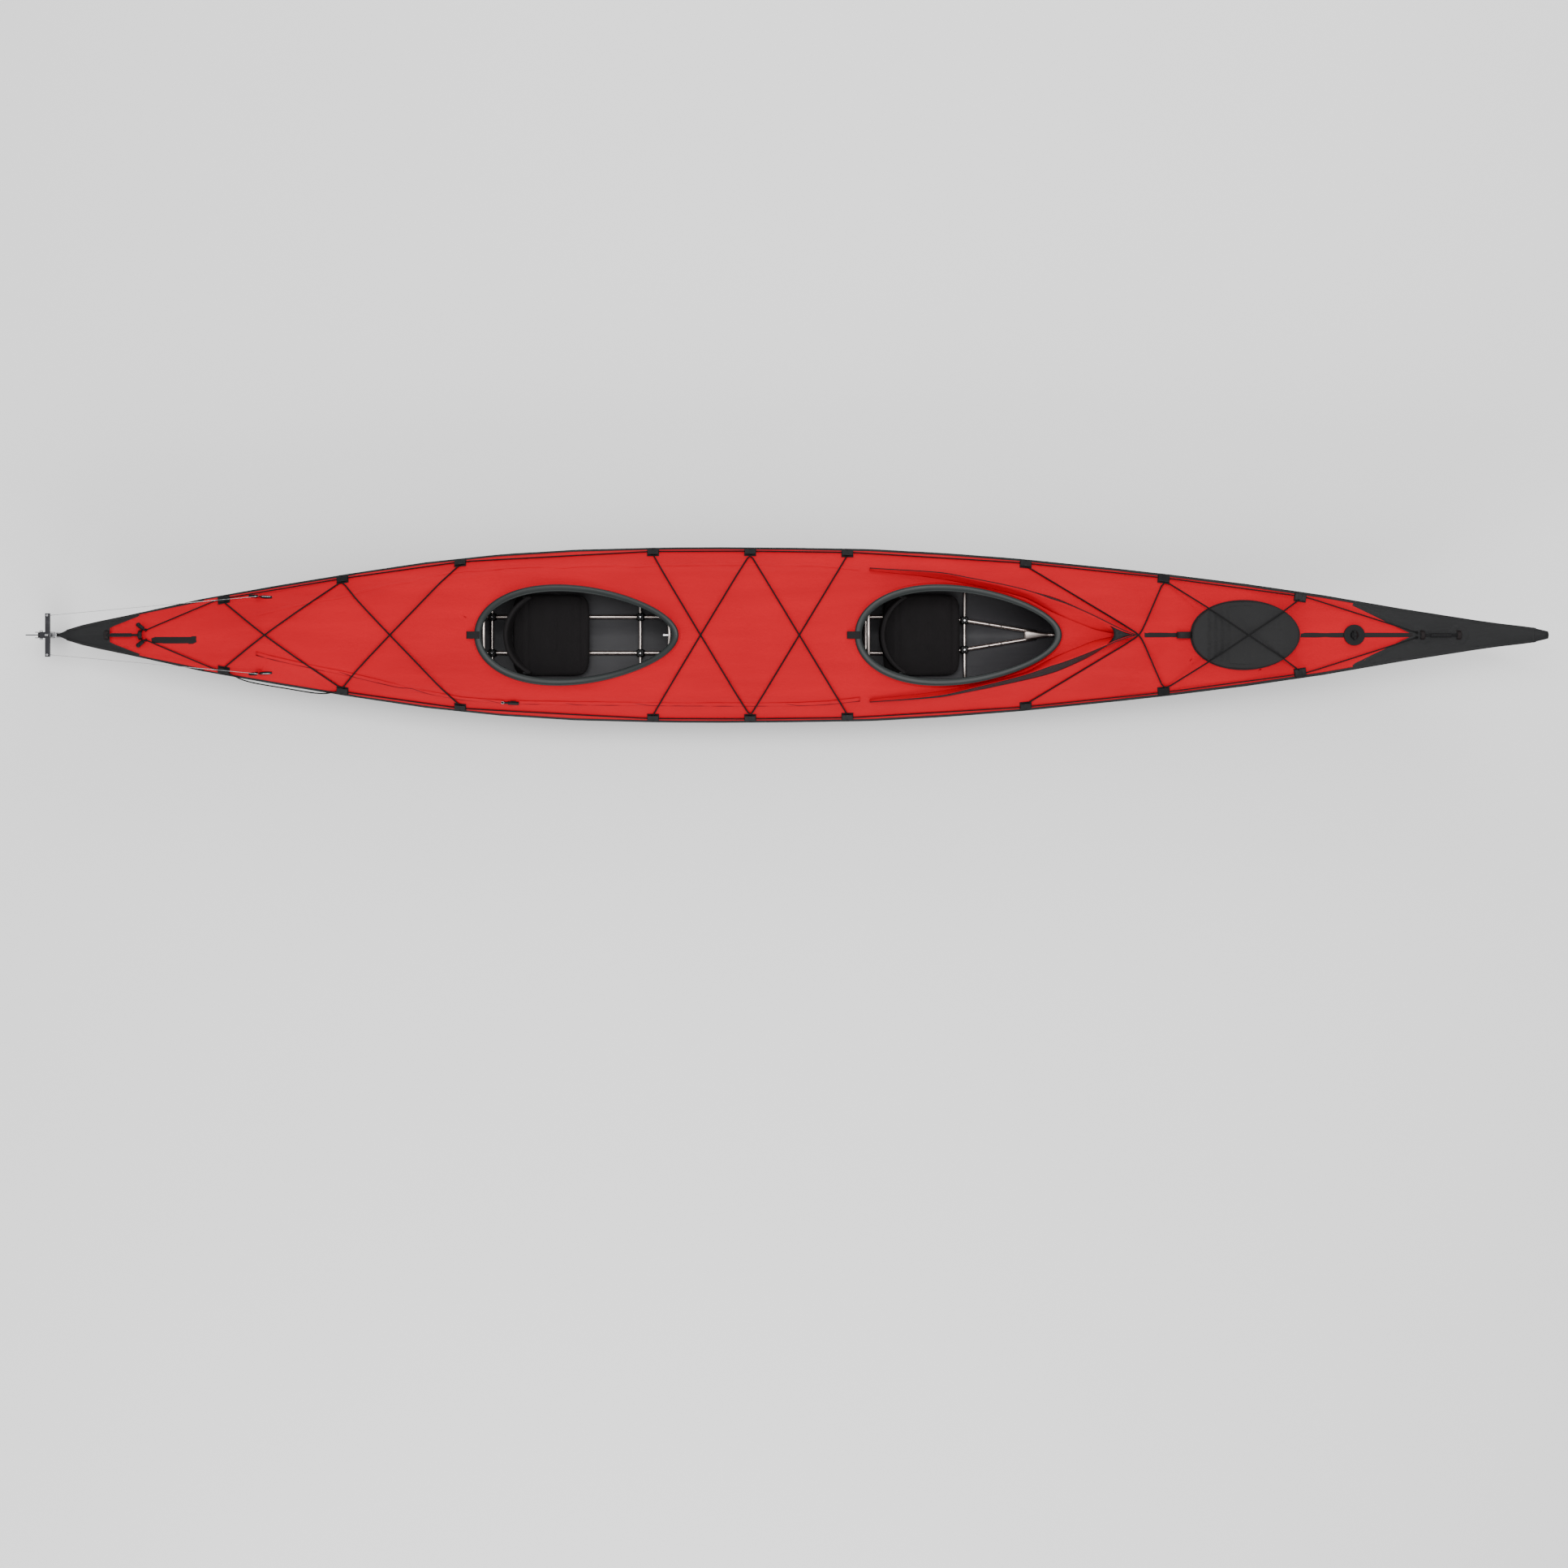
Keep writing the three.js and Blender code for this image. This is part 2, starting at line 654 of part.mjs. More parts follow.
function cavity(inset, from, to, raise) {
  const inside = stations.filter((x) => x > from && x < to);
  return loft([from, ...inside, to].map((x) => {
    const line = insetOutline(x, inset);
    if (raise > 0) return ringAt(x, bothSides([[line[0][0], line[0][1] + raise], ...line]));
    const drop = -raise / (line[0][1] - line[1][1]);
    return ringAt(x, bothSides([mixPoint(line[0], line[1], drop), ...line.slice(1)]));
  }));
}

function hullSkin() {
  const outer = loft(stations.map((x) => ringAt(x, bothSides(hullOutline(x)))));
  return cutFrom(toManifold(outer), cavity(hullWall, cavityShares[0] * half, cavityShares[1] * half, overrun));
}

function coamingHalfWidth(x, centre, inset) {
  const along = (x - centre) / (coamingLength / 2 - inset);
  return (coamingBeam / 2 - inset) * Math.sqrt(Math.max(0, 1 - along * along)) * (1 - coamingEggShare * along);
}

function coamingPoint(centre, inset, angle) {
  const x = centre + (coamingLength / 2 - inset) * Math.cos(angle);
  const y = (coamingBeam / 2 - inset) * Math.sin(angle) * (1 - coamingEggShare * Math.cos(angle));
  return [x, y];
}

function eggHole(centre, inset) {
  const count = 28;
  const outline = Array.from({ length: count }, (_, i) => coamingPoint(centre, inset, (2 * Math.PI * i) / count));
  return upright(outline, 0, 3 * seamHeight);
}

function upright(outline, z0, z1) {
  const shape = new THREE.Shape(outline.map(([x, y]) => new THREE.Vector2(x, y)));
  const prism = new THREE.ExtrudeGeometry(shape, { depth: z1 - z0, bevelEnabled: false });
  prism.translate(0, 0, z0);
  return prism;
}

function ellipse(x, length, beam, count = 24) {
  return Array.from({ length: count }, (_, i) => {
    const angle = (2 * Math.PI * i) / count;
    return [x + (length / 2) * Math.cos(angle), (beam / 2) * Math.sin(angle)];
  });
}

const rimSeat = coamingRimWidth - rimCover;
const hatchRimLength = hatchLength - 2 * (hatchWall + hatchRimInset);
const hatchRimBeam = hatchBeam - 2 * (hatchWall + hatchRimInset);

function wholeDeck() {
  return toManifold(loft(stations.map((x) => {
    const line = deckOutline(x);
    const upper = bothSides(line);
    const lower = upper.map((p) => [p[0], p[1] - deckWall]).reverse();
    return ringAt(x, [...upper, ...lower]);
  })));
}

function cableHole(side) {
  return tube(cableRoute(side), cableHoleRadius, 6);
}

function bowCoverArea(gap) {
  const edge = bowCoverEdgeShare * half + gap;
  const apex = bowCoverApexShare * half + gap;
  const reach = seamY(edge);
  const end = half + overrun;
  return upright([[edge, -halfBeam], [edge, -reach], [apex, 0], [edge, reach], [edge, halfBeam],
    [end, halfBeam], [end, -halfBeam]], 0, 3 * seamHeight);
}

function sternCoverArea(gap) {
  const edge = sternCoverEdgeShare * half - gap;
  const notch = sternCoverNotchShare * half - gap;
  const reach = seamY(edge);
  const end = -half - overrun;
  return upright([[end, -halfBeam], [end, halfBeam], [edge, halfBeam], [edge, reach],
    [notch, sternNotchHalfWidth], [notch, -sternNotchHalfWidth], [edge, -reach], [edge, -halfBeam]], 0, 3 * seamHeight);
}

function deckSkin() {
  return cutFrom(
    wholeDeck(), eggHole(rearCoamingX, rimSeat), eggHole(frontCoamingX, rimSeat),
    upright(ellipse(hatchX, hatchRimLength - 2 * hatchRimWall, hatchRimBeam - 2 * hatchRimWall), 0, 3 * seamHeight),
    cableHole(1), cableHole(-1), bowCoverArea(0), sternCoverArea(0),
  );
}

function coaming(centre, rimShares) {
  const rimCurve = smoothShares(rimShares);
  const rimTop = (x) => seamHeight * rimCurve((x - centre) / (coamingLength / 2));
  const profile = [
    [coamingRimWidth, null], [coamingRimWidth, -coamingCrown], [coamingRimWidth / 2, 0], [0, -coamingCrown], [0, null],
  ];
  const count = 28;
  const rings = Array.from({ length: count }, (_, i) => {
    const angle = (2 * Math.PI * i) / count;
    const [spot] = coamingPoint(centre, 0, angle);
    return profile.map(([inset, drop]) => {
      const [x, y] = coamingPoint(centre, inset, angle);
      const height = drop === null ? deckTop(x, y) - 2 * deckWall : rimTop(spot) + drop;
      return new THREE.Vector3(x, y, height);
    });
  });
  const [back] = coamingPoint(centre, 0, Math.PI);
  const tabTop = rimTop(back) - coamingCrown;
  const tab = block(back - coamingTabLength, back + rimCover, -coamingTabWidth / 2, coamingTabWidth / 2,
    tabTop - coamingTabThickness, tabTop);
  return cutFrom(join(loft(rings, true), tab), underDeck(fit));
}

// The seam is covered by a folded strip, with one flange on the deck and one on the hull
function trimStrip(side) {
  const near = fit * 1.5;
  const far = near + trimThickness;
  const fold = (a, b, n, m, distance) => {
    const across = a[0] * m[0] + a[1] * m[1];
    const blend = 1 + n[0] * m[0] + n[1] * m[1];
    const middle = [(n[0] + m[0]) / blend, (n[1] + m[1]) / blend];
    const drop = Math.max(0, across - (b[0] * m[0] + b[1] * m[1]));
    return [a[0] + middle[0] * (distance + drop), a[1] + middle[1] * distance];
  };
  const line = (x) => {
    const [edge, shoulder] = deckOutline(x);
    const [seam, below] = hullOutline(x);
    const up = outwardNormal(shoulder, edge).map(Math.abs);
    const out = outwardNormal(seam, below).map((v, i) => (i === 0 ? Math.abs(v) : v));
    const deckLength = Math.hypot(shoulder[0] - edge[0], shoulder[1] - edge[1]);
    const hullSpan = Math.hypot(below[0] - seam[0], below[1] - seam[1]);
    const inner = mixPoint(edge, shoulder, Math.min(0.5, trimDeckFlange / deckLength));
    const outer = mixPoint(seam, below, Math.min(0.9, trimHullFlange / hullSpan));
    const off = (p, n, d) => [p[0] + n[0] * d, p[1] + n[1] * d];
    return [
      off(inner, up, near * 1.5), fold(edge, seam, up, out, near), off(outer, out, near * 1.5),
      fold(edge, seam, up, out, far),
    ];
  };
  return loft(stations.slice(2, -2).map((x) => ringAt(x, line(x).map(([y, z]) => [side * y, z]))));
}

// Pieces on the deck side lie in its plane: X along the boat, Y inboard, Z off the deck
function sideFrame(x, side, inset) {
  const at = (place, more) => {
    const y = seamY(place) - inset - more;
    return new THREE.Vector3(place, side * y, deckTop(place, y));
  };
  const centre = at(x, 0);
  const along = at(x + fittingLength / 2, 0).sub(at(x - fittingLength / 2, 0)).normalize();
  const inboard = at(x, fittingWidth / 2).sub(centre);
  const up = new THREE.Vector3().crossVectors(along, inboard).multiplyScalar(-side).normalize();
  const across = new THREE.Vector3().crossVectors(up, along).multiplyScalar(-side);
  return new THREE.Matrix4().makeBasis(along, across, up).setPosition(centre);
}

function hullEnvelope() {
  return loft(hullLines.map((line, i) => {
    const wider = line.map(([y, z]) => [y + fit, z]);
    return ringAt(stations[i], bothSides([[wider[0][0], wider[0][1] + deckWall], ...wider]));
  }));
}

// Each line fitting is a hook, open inboard, over the edge line and the elastic cord
function lineFitting(x, side) {
  const base = fit * 1.5;
  const hookTop = 2 * bungeeRadius + drape + 2 * fit;
  const outboard = -fittingWidth * 0.44;
  const inboard = fittingWidth * 0.56;
  const hookBack = -lineRadius - 2 * fit;
  const profile = [
    [outboard, base], [outboard * 0.8, fittingHeight], [inboard, fittingHeight], [inboard, hookTop],
    [hookBack, hookTop], [hookBack, base],
  ];
  const frame = sideFrame(x, side, lineInset);
  const ring = (place) => profile.map(([y, z]) => new THREE.Vector3(place, y, z).applyMatrix4(frame));
  return loft([ring(-fittingLength / 2), ring(fittingLength / 2)]);
}

function edgeTrim(side) {
  const strip = join(trimStrip(side), ...fittingX.map((x) => lineFitting(x, side)));
  return cutFrom(strip, underDeck(fit), hullEnvelope());
}

// A cord pulled tight over the deck between two places bears only where the surface bulges
function tautLeg(from, to, radius, surface, heldEnds = false) {
  const count = 72;
  const length = Math.hypot(to[0] - from[0], to[1] - from[1]);
  const held = heldEnds ? Math.min(0.2, (fittingWidth * 0.5) / length) : 0;
  const sample = (t) => {
    const [x, y] = mixPoint(from, to, t);
    return { s: length * t, point: new THREE.Vector3(x, y, surface(x, y, radius + drape)) };
  };
  const samples = Array.from({ length: count + 1 }, (_, i) => sample(mix(held, 1 - held, i / count)));
  const top = [];
  for (const next of samples) {
    while (top.length > 1 && turnAt(top.at(-2), top.at(-1), next) <= 0) top.pop();
    top.push(next);
  }
  const kept = fewest(top, drape * 0.7);
  return (heldEnds ? [sample(0), ...kept, sample(1)] : kept).map((p) => p.point);
}

// The fewest of a line's points that keep its height to a tolerance
function fewest(line, tolerance) {
  const kept = [line[0]];
  let start = 0;
  while (start < line.length - 1) {
    let end = line.length - 1;
    const strays = (p) => {
      const t = (p.s - line[start].s) / (line[end].s - line[start].s);
      return Math.abs(mix(line[start].point.z, line[end].point.z, t) - p.point.z) > tolerance;
    };
    while (end > start + 1 && line.slice(start + 1, end).some(strays)) end -= 1;
    kept.push(line[end]);
    start = end;
  }
  return kept;
}

function turnAt(a, b, c) {
  return (b.point.z - a.point.z) / (b.s - a.s) - (c.point.z - b.point.z) / (c.s - b.s);
}

function tautRoute(places, radius, surface = overGear) {
  const heldEnds = surface === overHatch;
  return places.slice(1).flatMap((place, i) => (
    tautLeg(places[i], place, radius, surface, heldEnds).slice(i === 0 ? 0 : 1)
  ));
}

function fittingPlace(i, side, inset) {
  const x = fittingX[i];
  return [x, side * (seamY(x) - inset)];
}

// The elastic cords run from fitting to fitting and cross on the centreline, the foremost over the hatch cover
function deckCordRoutes() {
  const crossing = [crossingX, 0];
  const at = (i, side) => fittingPlace(i, side, bungeeInset);
  return [1, -1].flatMap((side) => [
    tautRoute([at(0, side), at(1, -side), at(2, side)], bungeeRadius),
    tautRoute([at(3, side), at(4, -side), at(5, side)], bungeeRadius),
    tautRoute([at(6, side), crossing, at(7, -side), at(8, side)], bungeeRadius, overHatch),
  ]);
}

// On the starboard side the cords lie over the zip flap
function overGear(x, y, distance) {
  const inZip = y < 0 && x > zipShares[0] * half && x < zipShares[1] * half;
  if (!inZip) return overDeck(x, y, distance);
  const { edge, shoulder, place } = zipLine(x);
  const [middle] = mixPoint(edge, shoulder, place);
  const onFlap = Math.abs(-y - middle) < zipWidth / 2 + 2 * distance;
  return overDeck(x, y, distance + (onFlap ? zipThickness + fit : 0));
}

function overHatch(x, y, distance) {
  return Math.max(overDeck(x, y, distance), hatchTop(x, y) + distance * 1.2);
}

// The edge line goes straight through each fitting
function linePasses(i, side) {
  const frame = sideFrame(fittingX[i], side, lineInset);
  const reach = fittingLength * 0.55;
  const height = lineRadius + drape;
  return [-reach, reach].map((x) => new THREE.Vector3(x, 0, height).applyMatrix4(frame));
}

function edgeLineRoute(side) {
  const passes = fittingX.map((_, i) => linePasses(i, side));
  const flat = (p) => [p.x, p.y];
  const sternKnot = [sternHandleShare * half + sternHandleSpan / 2 + lineKnotGap, side * 2 * lineKnotHalfSpacing];
  const bowKnot = [bowHandleShare * half - bowHandleSpan / 2 - lineKnotGap, side * lineKnotHalfSpacing];
  const stern = tautRoute([sternKnot, flat(passes[0][0])], lineRadius).slice(0, -1);
  const bow = tautRoute([flat(passes.at(-1)[1]), bowKnot], lineRadius).slice(1);
  const middle = passes.flatMap((pass, i) => {
    if (i === 0) return pass;
    const [from, to] = [passes[i - 1][1], pass[0]];
    const slack = side < 0 && i === 1;
    const between = slack ? slackStretch(from, to) : tautLeg(flat(from), flat(to), lineRadius, overDeck).slice(1, -1);
    return [...between, ...pass];
  });
  return [...stern, ...middle, ...bow];
}

// The starboard line hangs slack outside the hull between its first two fittings
function slackStretch(from, to) {
  return [0.14, 0.3, 0.5, 0.7, 0.86].map((t) => {
    const x = mix(from.x, to.x, t);
    const swing = Math.sin(Math.PI * t);
    const out = seamY(x) + slackSwing * Math.min(1, swing * 1.6);
    return new THREE.Vector3(x, -out, seamZ(x) + slackSwing - slackSag * swing * swing);
  });
}

// Each steel cable runs from the yoke through the deck and along the side to its pedal
function cableRoute(side) {
  const start = new THREE.Vector3(rudderAxisX + yokeWidth / 2 + fit, side * (yokeSpan / 2 - yokeHoleInset),
    headTop + fit + yokeThickness / 2);
  const entryX = cableEntryShare * half;
  const entryY = cableEntryBeamShare * halfBeam;
  const entry = new THREE.Vector3(entryX, side * entryY, deckTop(entryX, entryY));
  const inside = cableShares.map(([s, beam, height]) => (
    new THREE.Vector3(s * half, side * beam * halfBeam, height * seamHeight)
  ));
  const end = new THREE.Vector3(footBraceX - pedalThickness / 2 - fit, side * pedalHalfSpacing,
    pedalTop() - pedalHeight * 0.15);
  const overFitting = [-0.6, 0.6].map((t) => {
    const x = fittingX[0] + t * fittingLength;
    const y = mix(Math.abs(start.y), entryY, (x - start.x) / (entryX - start.x));
    return new THREE.Vector3(x, side * y, overDeck(x, y, fittingHeight + cableRadius + 4 * fit));
  });
  return [start, ...overFitting, entry, ...inside, end];
}

function keelTubeY(x) {
  const blend = ([near, far]) => (x / half - near) / (far - near);
  const t = Math.min(1, Math.max(0, blend(bowForkShares), blend(sternForkShares)));
  return mix(keelTubeHalfSpacing, forkHalfSpacing, t);
}

function onFloor(x, y, radius) {
  const [chine, fold, keel] = sectionAt(x, hullLines).slice(-3);
  const slope = Math.atan2(chine[1] - keel[1], chine[0] - keel[0]);
  const side = Math.max(y, keel[0]);
  const [outer, inner] = side > fold[0] ? [chine, fold] : [fold, keel];
  const along = outer[0] - inner[0] > fit ? (side - inner[0]) / (outer[0] - inner[0]) : 0;
  const floor = mix(inner[1], outer[1], along) - (side - y) * Math.tan(slope);
  const room = hullWall + skinStandoff + radius;
  return Math.max(keel[1] + room, floor + room / Math.cos(slope));
}

const forkX = bowForkShares[1] * half;
const sternForkX = sternForkShares[1] * half;
const bowPlateX = bowPlateShare * half;
const sternPlateX = sternPlateShare * half;

function stationsBetween(from, to) {
  return [from, ...stations.filter((x) => x > from + fit && x < to - fit), to];
}

function keelTubeRoute(side) {
  const forks = [sternForkShares, bowForkShares].flatMap(([near, far]) => [0, 0.25, 0.5, 0.75].map((t) => mix(near, far, t)));
  const places = [...stationsBetween(sternForkX, forkX), ...forks.map((share) => share * half)];
  const apart = places.sort((a, b) => a - b).filter((x, i, all) => i === 0 || x - all[i - 1] > keelTubeRadius);
  return apart.map((x) => {
    const y = keelTubeY(x);
    return new THREE.Vector3(x, side * y, onFloor(x, y, keelTubeRadius));
  });
}

function keelEndRoute(from, to) {
  const route = stationsBetween(from, to).map((x) => new THREE.Vector3(x, 0, onFloor(x, 0, keelTubeRadius)));
  return squareEnds(route);
}

function chineTubeRoute(side) {
  return stationsBetween(ribX[0] - overrun, ribX.at(-1) + overrun).map((x) => {
    const p = insetOutline(x, hullWall + skinStandoff + chineTubeRadius).at(-2);
    return new THREE.Vector3(x, side * p[0], p[1]);
  });
}

// Inside width of the hull at a height
function insideAt(x, inset, z) {
  const line = insetOutline(x, inset);
  const j = Math.max(1, line.findIndex((p) => p[1] <= z));
  return mix(line[j - 1][0], line[j][0], (line[j - 1][1] - z) / (line[j - 1][1] - line[j][1]));
}

function gunwalePoint(x) {
  const inset = hullWall + skinStandoff + gunwaleTubeRadius;
  const [edge, shoulder] = deckOutline(x);
  const slope = Math.atan2(shoulder[1] - edge[1], edge[0] - shoulder[0]);
  const room = (deckWall + skinStandoff + gunwaleTubeRadius) / Math.cos(slope);
  let point = [edge[0] - inset, edge[1] - room];
  for (let i = 0; i < 4; i += 1) {
    const height = edge[1] + (edge[0] - point[0]) * Math.tan(slope) - room;
    point = [insideAt(x, inset, height), height];
  }
  return point;
}

function gunwaleRoute(side) {
  return squareEnds(stationsBetween(sternPlateX + endPlateThickness + fit, bowPlateX - fit).map((x) => {
    const p = gunwalePoint(x);
    return new THREE.Vector3(x, side * p[0], p[1]);
  }));
}

// Tubes meet the end plates square on
function squareEnds(route) {
  const lead = skinStandoff * 4;
  const first = route[0].clone().setX(route[0].x + lead);
  const last = route.at(-1).clone().setX(route.at(-1).x - lead);
  const between = route.slice(1, -1).filter((p) => p.x > first.x + lead && p.x < last.x - lead);
  return [route[0], first, ...between, last, route.at(-1)];
}

function deckBarPoint(x) {
  const [edge, shoulder] = deckOutline(x);
  const out = outwardNormal(shoulder, edge).map(Math.abs);
  const room = deckWall + skinStandoff + deckBarRadius;
  return [shoulder[0] - out[0] * room * 0.7, shoulder[1] - room * (1 + out[0] * 0.12)];
}

function deckBarRoute(side) {
  return stationsBetween(ribX[1] - overrun, ribX[2] + overrun).map((x) => {
    const p = deckBarPoint(x);
    return new THREE.Vector3(x, side * p[0], p[1]);
  });
}

function ridgeRoute(from, to) {
  const below = deckWall + skinStandoff + ridgeTubeRadius;
  return squareEnds(stationsBetween(from, to).map((x) => new THREE.Vector3(x, 0, deckTop(x, 0) - below)));
}

// The air tubes lie along the bulge of each side, between the seam and the chine
function sponsonRing(x, side, wall) {
  const line = hullOutline(x);
  const out = outwardNormal(line[0], line[4]);
  const along = [out[1], -out[0]];
  const radius = sponsonSize(x);
  const depth = hullWall + skinStandoff + radius;
  const count = 6;
  return Array.from({ length: count }, (_, i) => {
    const angle = (2 * Math.PI * i) / count;
    const a = (radius - wall) * Math.cos(angle) - depth;
    const b = (radius - wall) * sponsonStretchShare * Math.sin(angle);
    return new THREE.Vector3(x, side * (line[2][0] + out[0] * a + along[0] * b), line[2][1] + out[1] * a + along[1] * b);
  });
}

function sponson(side) {
  const from = sponsonShares[0] * half;
  const to = sponsonShares.at(-1) * half;
  const places = stationsBetween(from, to);
  const inner = places.map((x) => sponsonRing(x, side, sponsonWall));
  const shift = (ring, distance) => ring.map((p) => new THREE.Vector3(p.x + distance, p.y, p.z));
  const room = [shift(inner[0], -overrun), ...inner.slice(0, -1), shift(inner.at(-1), -overrun)];
  return cutFrom(toManifold(loft(places.map((x) => sponsonRing(x, side, 0)))), loft(room));
}

// Room for each frame tube and cable in what crosses it
function roomFor(route, radius) {
  const sides = 6;
  return tube(route, radius + fit / Math.cos(Math.PI / sides), sides);
}

function stringerRooms() {
  return [1, -1].flatMap((side) => [
    roomFor(keelTubeRoute(side), keelTubeRadius),
    roomFor(chineTubeRoute(side), chineTubeRadius),
    roomFor(gunwaleRoute(side), gunwaleTubeRadius),
    roomFor(deckBarRoute(side), deckBarRadius),
    roomFor(cableRoute(side), cableRadius),
  ]).concat([
    roomFor(ridgeBowRoute(), ridgeTubeRadius),
    roomFor(ridgeSternRoute(), ridgeTubeRadius),
    roomFor(keelBowRoute(), keelTubeRadius),
    roomFor(keelSternRoute(), keelTubeRadius),
  ]);
}

function ridgeBowRoute() {
  return ridgeRoute(ribX.at(-1) - overrun, bowPlateX - fit);
}

function ridgeSternRoute() {
  return ridgeRoute(sternPlateX + endPlateThickness + fit, ribX[0] + overrun);
}

function keelBowRoute() {
  return keelEndRoute(forkX + fit, bowPlateX - fit);
}

function keelSternRoute() {
  return keelEndRoute(sternPlateX + endPlateThickness + fit, sternForkX - fit);
}

// Half of a rib's line, from the floor to the deck: it bears on the frame tubes, inboard of the sponson
function ribLine(x) {
  const seat = ribTubeRadius * 0.95;
  const keelY = x > forkX || x < sternForkX ? 0 : keelTubeY(x);
  const floor = onFloor(x, keelY, keelTubeRadius) + keelTubeRadius + seat;
  const chine = insetOutline(x, hullWall + skinStandoff + 2 * chineTubeRadius + seat).at(-2);
  const lowY = mix(keelY, chine[0], 0.6);
  const low = [lowY, Math.max(floor, onFloor(x, lowY, ribTubeRadius + skinStandoff))];
  const gunwale = gunwalePoint(x);
  const inGunwale = [gunwale[0] - gunwaleTubeRadius - seat, gunwale[1]];
  const line = hullOutline(x);
  const out = outwardNormal(line[0], line[4]);
  const hasSponson = x > sponsonShares[0] * half && x < sponsonShares[1] * half;
  const room = hasSponson ? 2 * sponsonSize(x) + 2 * skinStandoff : 0;
  const clear = hullWall + skinStandoff + room + ribTubeRadius + skinStandoff;
  const side = [line[2][0] - out[0] * clear, line[2][1] - out[1] * clear];
  // Near the bow the chine tube has climbed to the gunwale and takes the rib there
  const meetsGunwale = inGunwale[1] - chine[1] < 4 * ribTubeRadius;
  return meetsGunwale ? [[0, floor], low, chine] : [[0, floor], low, chine, side, inGunwale];
}

function ribTop(x) {
  const hasRidge = x < ribX[0] + fit || x > ribX.at(-1) - fit;
  const hasBars = x > ribX[1] - fit && x < ribX[2] + fit;
  const skin = deckWall + skinStandoff;
  const top = [0, ridgeZ(x) - skin - (hasRidge ? 2 * ridgeTubeRadius : 0) - ribTubeRadius * 0.95];
  if (hasBars) {
    const [y, z] = deckBarPoint(x);
    return [[y - deckBarRadius * 1.2, z - deckBarRadius * 1.6], top];
  }
  const y = seamY(x) * 0.45;
  return [[y, deckTop(x, y) - skin - ribTubeRadius * 1.4], top];
}

function hoopRib(x, leanX) {
  const right = [...ribLine(x), ...ribTop(leanX)];
  const low = right[0][1];
  const high = right.at(-1)[1];
  const at = ([y, z], sign) => new THREE.Vector3(mix(x, leanX, (z - low) / (high - low)), sign * y, z);
  const loop = [...right.map((p) => at(p, 1)), ...right.slice(1, -1).reverse().map((p) => at(p, -1))];
  return hoop(smoothed(loop, 16, true, 0.3), ribTubeRadius);
}

// The rib in front of the front seat is open above the legs: its arms end at the gunwale tubes
function thighRib(x) {
  const arm = ribLine(x);
  const points = [...arm.slice(1).reverse().map(([y, z]) => [-y, z]), ...arm];
  return tube(smoothed(points.map(([y, z]) => new THREE.Vector3(x, y, z)), 16, false, 0.3), ribTubeRadius, 6);
}

function keelClamp(x, side) {
  const y = keelTubeY(x);
  const centre = onFloor(x, y, keelTubeRadius);
  const wide = keelTubeRadius + clampWall;
  return block(x - clampLength / 2, x + clampLength / 2, side * y - wide, side * y + wide,
    centre - keelTubeRadius * 0.3, centre + keelTubeRadius + 2 * ribTubeRadius + clampWall / 2);
}

function rib(x, shape) {
  const forked = x > sternForkX && x < forkX;
  const clamps = forked ? [keelClamp(x, 1), keelClamp(x, -1)] : [];
  return cutFrom(join(shape, ...clamps), ...stringerRooms());
}

// Each end of the frame is a plate across the hull, where the tubes end, with a fin along the centreline
function stem(side) {
  const plate = side > 0 ? bowPlateX : sternPlateX;
  const end = (side > 0 ? bowFinShare : sternFinShare) * half;
  const near = Math.min(plate, end);
  const far = Math.max(plate, end, plate + endPlateThickness);
  const fin = block(near, far, -stemPlateThickness / 2, stemPlateThickness / 2, 0, 2 * seamHeight);
  const wide = block(plate, plate + endPlateThickness, -halfBeam, halfBeam, 0, 2 * seamHeight);
  const [from, to] = cavityShares.map((share) => share * half);
  const room = cavity(hullWall + 2 * fit, from + fit, to - fit, -fit);
  const tongue = block(plate, plate + endPlateThickness, -overrun, overrun, seamZ(plate) - overrun, 2 * seamHeight);
  return join(room, tongue).intersect(toManifold(underDeck(-deckWall - 2 * fit))).intersect(join(fin, wide));
}

// A single keel tube towards each end, with a socket for the two tubes of the middle
function keelEnd(route, socketX) {
  const y = forkHalfSpacing;
  const z = onFloor(socketX, y, keelTubeRadius);
  const wide = forkHalfSpacing + keelTubeRadius + clampWall;
  const socket = block(socketX - overrun, socketX + overrun, -wide, wide, z - keelTubeRadius * 0.4,
    z + keelTubeRadius + clampWall);
  return cutFrom(join(tube(route, keelTubeRadius, 6), socket),
    roomFor(keelTubeRoute(1), keelTubeRadius), roomFor(keelTubeRoute(-1), keelTubeRadius));
}

function seatBase(centre) {
  const middle = centre + seatFromRim;
  const tubes = new Route(keelTubeRoute(1));
  const count = 4 * tubes.points.length;
  const spots = Array.from({ length: count + 1 }, (_, i) => tubes.getPoint(i / count));
  const under = spots.filter((p) => Math.abs(p.x - middle) < seatLength * 0.55);
  return Math.max(...under.map((p) => p.z)) + keelTubeRadius + fit;
}

// Rings of a cushion: how far each is drawn in, and its height as a share of the thickness
const cushionShares = [[0.7, 0], [0.9, 0.26], [0.955, 0.48], [0.99, 0.78], [0.93, 0.98], [0.7, 1.15], [0.36, 1.24]];

